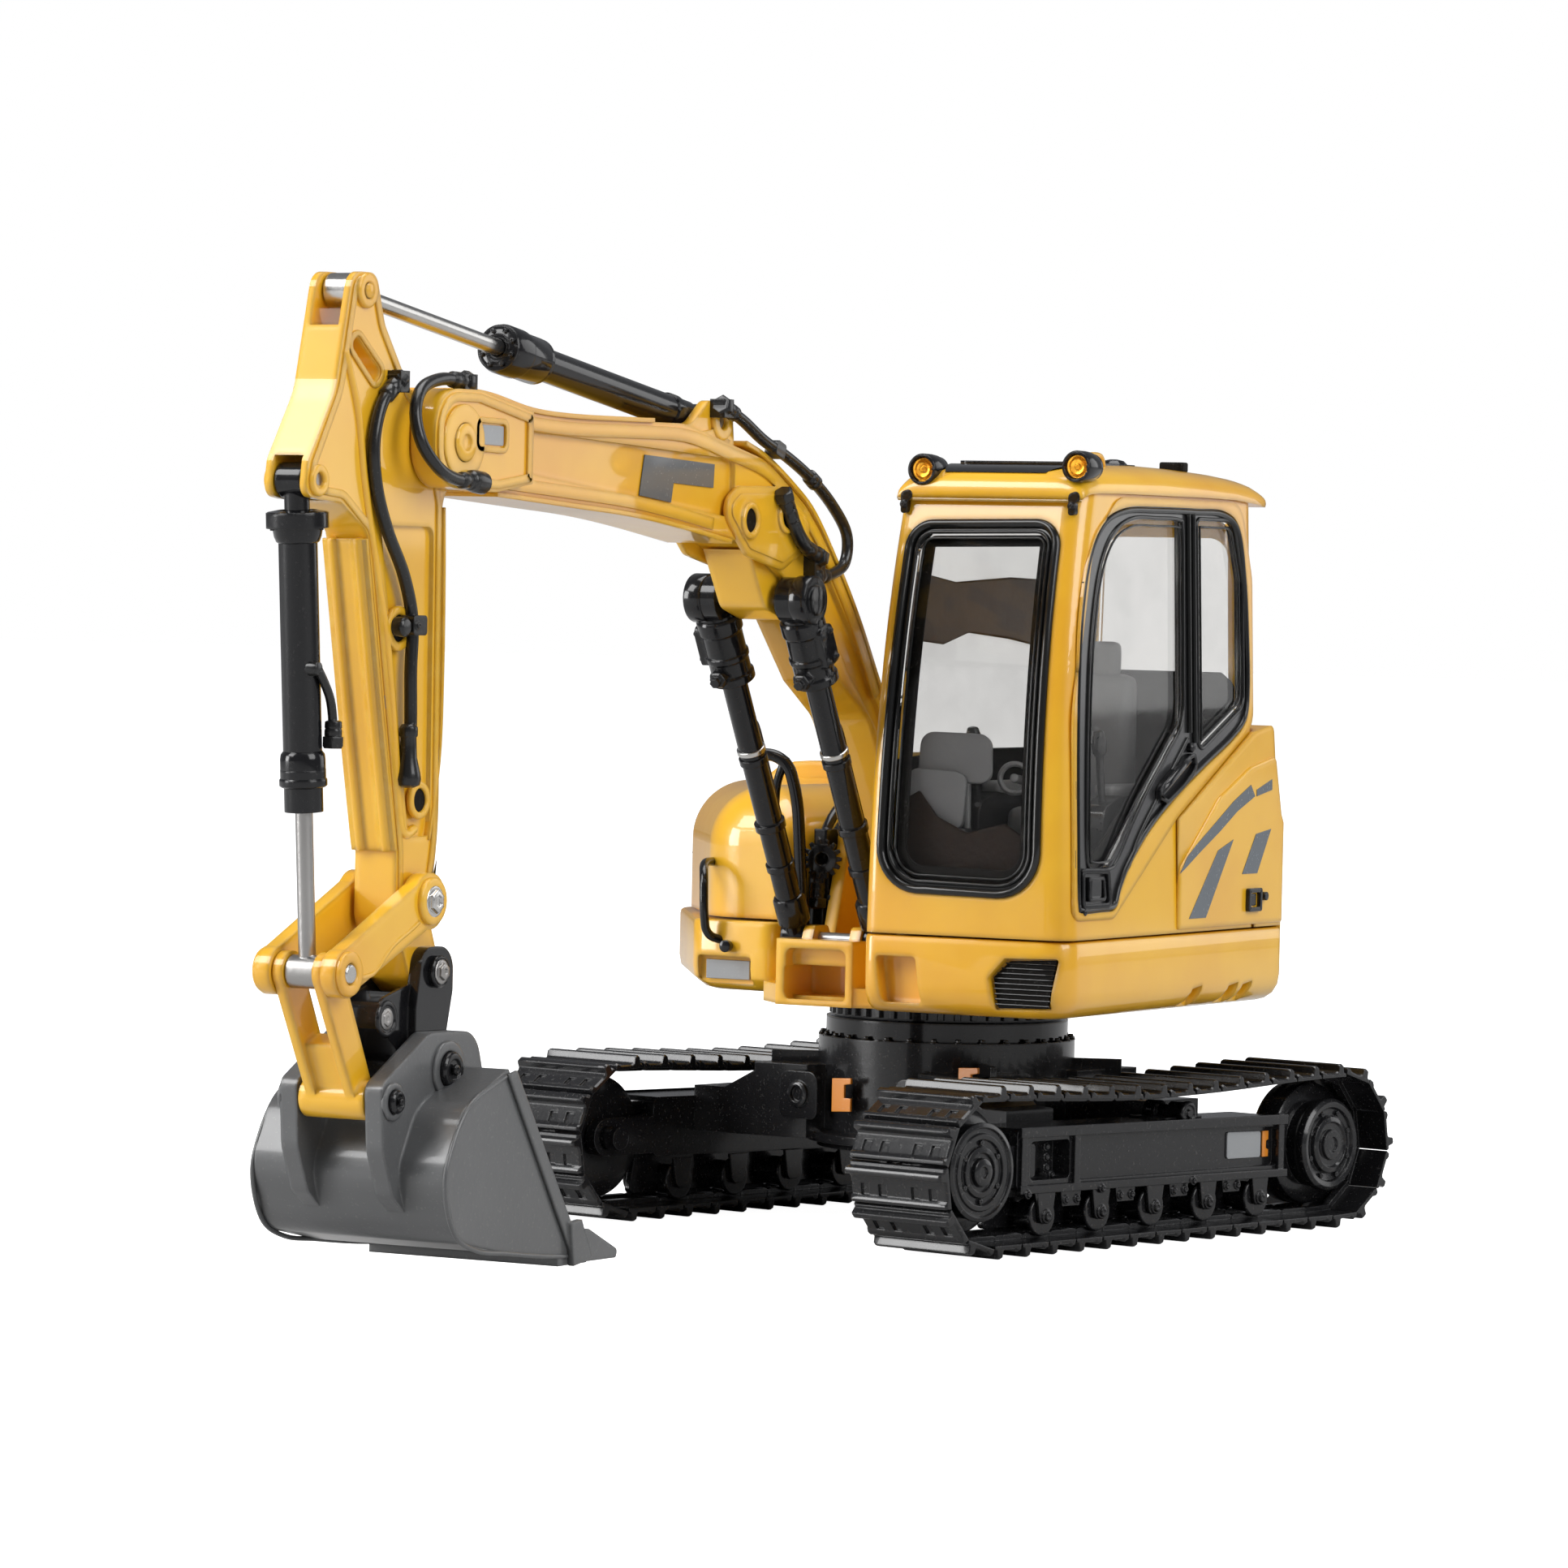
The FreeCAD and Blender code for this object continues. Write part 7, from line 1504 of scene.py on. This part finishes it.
for x, sign in bothSides(bucketParts["half"]):
    for y, z, wide, outer, inner in bucketParts["pins"]:
        lathe(build, ((0, -0.1), (wide, -0.1), (wide, 0.42), (wide - 0.14, 0.56), (wide * 0.62, 0.56),
                      (wide * 0.56, 0.44), (0, 0.44)), (x, y, z), (sign, 0, 0), 32)
        bolt(build, (x + sign * 0.42, y, z), (sign, 0, 0), wide * 0.32, 0.34, False)
addPiece("bucket_bolts", build, "gloss black", "bucket", 0.04)
print("arm, linkage and bucket made")


# the shape with every cutter taken out of it
def carved(build, *cutters):
    made = []
    for shape in (build, *cutters):
        bmesh.ops.recalc_face_normals(shape, faces=shape.faces)
        mesh = bpy.data.meshes.new("rough")
        shape.to_mesh(mesh)
        shape.free()
        thing = bpy.data.objects.new("rough", mesh)
        scene.collection.objects.link(thing)
        made.append(thing)
    for cutter in made[1:]:
        step = made[0].modifiers.new("cut", "BOOLEAN")
        step.operation = "DIFFERENCE"
        step.solver = "EXACT"
        step.object = cutter
    graph = bpy.context.evaluated_depsgraph_get()
    result = bmesh.new()
    result.from_object(made[0], graph)
    for thing in made:
        bpy.data.objects.remove(thing)
    return result


# outline stacked in levels (z, inset); the inset moves points towards the anchor
def layered(build, outline, levels, anchor):
    left, front = anchor
    wide = max(abs(x - left) for x, y in outline)
    deep = max(abs(y - front) for x, y in outline)
    rings = []
    for z, inset in levels:
        rings.append([build.verts.new((left + (x - left) * (wide - inset) / wide,
                                       front + (y - front) * (deep - inset) / deep, z)) for x, y in outline])
    skin(build, rings)


# arc of the tail between its straight sides, start being where it begins along Y
def tailOutline(radius, start=9.32, count=48):
    edge = math.asin(start / radius)
    turns = [edge + (math.pi - 2 * edge) * i / count for i in range(count + 1)]
    return [(radius * math.cos(t), radius * math.sin(t)) for t in turns]


body = {
    "left": ((5.9, -23.66, 0.8), (21.02, -23.66, 2.0), (21.02, 9.2), (5.9, 9.2)),
    "right": ((-5.1, -15.8, 1.0), (-11.7, -15.2, 2.0), (-20.52, -2.0, 4), (-20.52, 9.2), (-5.1, 9.2)),
    "levels": ((15.87, 2.4), (15.92, 1.8), (16.1, 1.1), (16.5, 0.5), (17.1, 0.12), (17.8, 0.0), (20.7, 0.0),
               (20.95, 0.06), (21.05, 0.22)),
    "pocket": ((7.3, 16.6, 0.3), (6.9, 19.7, 0.3), (9.9, 19.7, 0.3), (10.3, 16.6, 0.3)),
    "mouth": ((15.7, 16.5, 0.15), (15.3, 18.6, 0.2), (16.5, 19.9, 0.2), (20.3, 20.0, 0.2),
              (19.7, 16.6, 0.15)),
    "plate": ((-11.4, 16.7, 0.2), (-11.4, 18.6, 0.2), (-7.0, 18.6, 0.2), (-7.0, 16.7, 0.2)),
    "notches": (-5.3, 0.4, 2.6), "notch": ((0, 15.4), (0.9, 17.3), (2.4, 17.5), (2.0, 15.4)),
}
build = bmesh.new()
layered(build, rounded(body["left"], 8), body["levels"], (5.9, 9.2))
cutters = [bmesh.new() for i in range(5)]
frontPlate(cutters[0], rounded(body["pocket"]), -22.4, 2.0)
frontPlate(cutters[1], rounded(body["mouth"]), -22.9, 2.0)
for cutter, y in zip(cutters[2:], body["notches"]):
    sidePlate(cutter, [(y + u, z) for u, z in body["notch"]], 19.8, 2.0)
build = carved(build, *cutters)
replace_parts(addPiece("skirt_left_skin", build, "yellow", "house", 0.14, 30, 3), "skirt_left")

build = bmesh.new()
levels = [(z + 0.3, inset) if z < 17 else (z, inset) for z, inset in body["levels"]]
layered(build, rounded(body["right"], 8), levels, (-5.1, 9.2))
cutter = bmesh.new()
frontPlate(cutter, rounded(body["plate"]), -14.6, 2.0)
build = carved(build, cutter)
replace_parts(addPiece("skirt_right_skin", build, "yellow", "house", 0.14, 30, 3), "skirt_right")

tail = {
    "weight": 22.945, "hood": 22.645,
    "weightLevels": ((16.07, 2.4), (16.12, 1.8), (16.3, 1.1), (16.7, 0.5), (17.3, 0.12), (18.0, 0.0),
                     (24.3, 0.0), (24.6, 0.08), (24.75, 0.25)),
    "hoodLevels": ((25.0, 0.25), (25.15, 0.06), (25.4, 0.0), (28.4, 0.0), (29.4, 0.25), (30.3, 0.8),
                   (30.95, 1.7), (31.3, 2.9), (31.4, 4.2)),
    "slots": 9, "slotPitch": 1.5, "slot": ((-9.5, 21.0, 26.2), (-8.8, 24.0, 29.0)),
}
build = bmesh.new()
layered(build, tailOutline(tail["weight"]), tail["weightLevels"], (0, 9.32))
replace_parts(addPiece("counterweight_skin", build, "yellow", "house", 0.1, 30, 2), "counterweight")
build = bmesh.new()
layered(build, tailOutline(tail["hood"]), tail["hoodLevels"], (0, 9.32))
cutters = [bmesh.new() for i in range(tail["slots"])]
for i, cutter in enumerate(cutters):
    chunk(cutter, *[across * i * tail["slotPitch"] + Vector(corner) for corner in tail["slot"]])
build = carved(build, *cutters)
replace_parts(addPiece("engine_hood_skin", build, "yellow", "house", 0.1, 30, 2), "engine_hood")

# louvres behind the mouth, each as wide as the mouth is at its height
louvres = {"count": 9, "first": 16.85, "pitch": 0.34, "front": -23.3, "deep": 0.4, "thick": 0.06, "lean": -24}
build = bmesh.new()
for i in range(louvres["count"]):
    z = louvres["first"] + i * louvres["pitch"]
    left = 15.75 - 0.2 * min((z - 16.6) / 2, 1) + max(z - 18.6, 0) * 0.92
    right = 19.6 + (z - 16.6) * 0.18
    lean = Matrix.Rotation(math.radians(louvres["lean"]), 4, "X")
    slat = ((left, 0), (right, 0), (right, louvres["deep"]), (left, louvres["deep"]))
    slab(build, slat, louvres["thick"], Matrix.Translation((0, louvres["front"], z)) @ lean)
addPiece("louvres", build, "gloss black", "house")
build = bmesh.new()
frontPlate(build, ((-10.9, 17.0), (-10.9, 18.3), (-7.5, 18.3), (-7.5, 17.0)), -14.66, 0.2)
addPiece("front_plate", build, "plate grey", "house", 0.04)

covers = {
    "panel": ((-7.25, 21.4, 0.2), (-7.25, 25.4, 1.2), (-1.2, 30.2, 3), (3.6, 32.2, 2), (7.6, 32.9, 0.5),
              (8.7, 28.9, 0.5), (9.1, 28.3, 0.3), (9.1, 21.4, 0.2)),
    "strip": ((-7.27, 25.21), (-6.2, 26.3), (-4.98, 27.01), (-2.02, 28.48), (0.8, 29.9), (3.5, 30.98),
              (4.2, 30.19), (1.4, 29.2), (-1.23, 27.91), (-4.33, 26.55), (-6.66, 25.46)),
    "dash": ((4.44, 30.63), (6.89, 31.32), (6.93, 30.59), (4.46, 30.18)),
    "longBar": ((-5.8, 22.1), (-3.2, 22.1), (0.9, 27.3), (-1.5, 26.6)),
    "shortBar": ((2.4, 24.9), (4.8, 24.9), (6.9, 27.9), (4.5, 27.6)),
    "latch": ((3.1, 22.3, 0.2), (3.1, 23.9, 0.2), (5.2, 23.9, 0.2), (5.2, 22.3, 0.2)),
    "decals": ("strip", "dash", "longBar", "shortBar"),
    "latchPlate": ((3.5, 22.7), (3.5, 23.5), (4.6, 23.5), (4.6, 22.7)),
    "hoodLatch": ((6.9, 23.0, 0.3), (6.9, 24.2, 0.3), (8.4, 24.2, 0.3), (8.4, 23.0, 0.3)),
    "hoodHinges": (1.8, 6.2),
}
build = bmesh.new()
sidePlate(build, rounded(covers["panel"], 8), 20.9, 0.3)
addPiece("side_panel", build, "yellow", "house", 0.14, 30, 3)
build = bmesh.new()
for name in covers["decals"]:
    sidePlate(build, covers[name], 21.19, 0.05)
    if name != "dash":
        sidePlate(build, [(y * 0.72 + 3.7, z * 0.86 + 3.2) for y, z in covers[name]], -19.87, 0.05)
addPiece("side_decals", build, "decal grey", "house")
build = bmesh.new()
outline = dense(rounded(covers["latch"]), 0.4)
ribbon(build, outline, inward(outline, 0.3), onFlank(21.2, 1, 0), 0.3)
sidePlate(build, covers["latchPlate"], 21.15, 0.15)
lathe(build, ((0.3, 0), (0.3, 0.35), (0, 0.35)), (21.15, 5.9, 23.3), (1, 0, 0), 16)
# rear: tail lamp frames, latch, tow eye, exhaust
rear = {
    "lampTurns": (55, 125), "lampFrame": (1.6, 0.7, 0.3, 0.35, 22.9), "lamp": (1.3, 0.45, 0.2, 0.2, 23.2),
    "eye": ((0.6, 0), (0.95, 0.1), (0.95, 0.8), (0.75, 0.9), (0.6, 0.8)),
    "exhaust": ((0, 0), (0.62, 0), (0.62, 1.6), (0.5, 1.7), (0.42, 1.5), (0, 1.4)),
}


# both pads of the tail lamps: half sizes, rounding, thickness, distance from the middle
def lampPads(build, wide, high, soft, thick, away):
    for turn in rear["lampTurns"]:
        spin = Matrix.Rotation(math.radians(turn), 4, "Z")
        pad(build, wide, high, soft, thick, spin @ standing((away, 0, 22.6), (1, 0, 0), (0, 0, 1)))


lampPads(build, *rear["lampFrame"])
pad(build, 1.1, 0.45, 0.2, 0.35, standing((7.6, 21.2, 26.6), (0.34, 0.94, 0), (0, 0, 1)))
lathe(build, rear["eye"], (0, 22.7, 18.6), (0, 1, 0), 28)
lathe(build, rear["exhaust"], (-13.5, 14.0, 31.2), (0, 0, 1), 24)
# right hood: latch, hinges, handle; mirror foot
sidePlate(build, rounded(covers["hoodLatch"]), -20.05, 0.3)
for y in covers["hoodHinges"]:
    tubeMesh(build, ((-19.9, y - 0.7, 21.5), (-19.9, y + 0.7, 21.5)), 0.3, 12)
lathe(build, ((0.3, -0.2), (0.42, 0.1), (0.42, 0.5), (0, 0.6)), (-8.8, -15.6, 19.3), (0, -1, 0), 16)
lathe(build, ((0.62, -0.1), (0.62, 0.25), (0.5, 0.4), (0, 0.4)), (-8.0, 4.0, 30.2), (0, 0, 1), 24)
addPiece("house_fittings", build, "gloss black", "house", 0.05)
build = bmesh.new()
lampPads(build, *rear["lamp"])
addPiece("tail_lamps", build, "orange part", "house", 0.05)

# hoses and valve block beside the boom's foot
lines = {
    "hoses": (((4.4, -3.0, 27.6), (4.5, -5.2, 28.0), (4.7, -7.0, 26.4), (4.6, -7.6, 23.6), (4.4, -7.2, 20.4)),
              ((5.2, -3.0, 26.2), (5.3, -5.6, 26.6), (5.3, -7.8, 24.9), (5.2, -8.2, 22.2), (5.1, -7.8, 19.0)),
              ((4.5, -3.0, 24.4), (4.5, -4.8, 24.6), (4.6, -5.9, 23.0), (4.6, -5.6, 19.4)),
              ((-3.4, -3.2, 26.6), (-3.5, -6.0, 27.2), (-3.5, -8.4, 28.0), (-3.4, -10.6, 26.8),
               (-3.4, -11.6, 24.0)),
              ((-3.5, -2.6, 28.8), (-3.4, -5.4, 29.4), (-3.5, -9.2, 29.2), (-3.5, -12.2, 26.6),
               (-3.4, -12.9, 22.6))),
    "ports": ((-12.0, 20.4), (-12.0, 22.6), (-9.6, 21.4), (-7.0, 22.4), (-4.6, 21.0)),
    "port": ((0, 0), (0.7, 0), (0.7, 0.3), (0.45, 0.4), (0.45, 0.75), (0, 0.75)),
    "coils": (-11.6, -8.0, -5.0),
    "bracket": ((-4.1, 19.0, 0.3), (-4.1, 25.6, 0.6), (-2.95, 25.6, 0.3), (-2.95, 19.0, 0.3)),
    "rungs": (20.6, 24.2),
    "rail": ((-4.6, -15.6, 32.3), (-5.4, -15.4, 30.2), (-5.6, -15.0, 27.0), (-5.3, -14.7, 24.0),
             (-5.2, -14.6, 20.2)),
    "gear": (-3.0, -13.0, 25.4), "gearTeeth": 14, "gearFacing": (0.3, -1, 0),
    "gearTooth": ((0.9, -0.2), (1.35, -0.12), (1.35, 0.12), (0.9, 0.2)),
    "gearRing": ((0.4, 0), (1.0, 0), (1.0, 0.34), (0.5, 0.4), (0.4, 0.34), (0.4, 0)),
}
build = bmesh.new()
for points in lines["hoses"]:
    hose(build, points, 0.36, (0.8, 0.8), 6, 12, 2)
for y, z in lines["ports"]:
    lathe(build, lines["port"], (-2.85, y, z), (1, 0, 0), 16)
for y in lines["coils"]:
    chunk(build, (-4.0, y - 0.9, 26.2), (-3.0, y + 0.9, 27.4))
frontPlate(build, rounded(lines["bracket"]), -12.4, 0.5)
# rungs between the hood and the guard frame
for z in lines["rungs"]:
    tubeMesh(build, ((-5.3, -14.4, z), (-3.9, -14.2, z)), 0.26, 10)
tubeMesh(build, smoothPath(lines["rail"], 6), 0.3, 12)
addPiece("valve_lines", build, "gloss black", "house", 0.04, 60)
build = bmesh.new()
for turn in turnsOf(lines["gearTeeth"]):
    spin = standing(lines["gear"], lines["gearFacing"], (0, 0, 1)) @ Matrix.Rotation(turn, 4, "Z")
    slab(build, lines["gearTooth"], 0.3, spin)
lathe(build, lines["gearRing"], lines["gear"], lines["gearFacing"], 32)
addPiece("gear_disc", build, "gloss black", "house", 0.03)
print("house made")
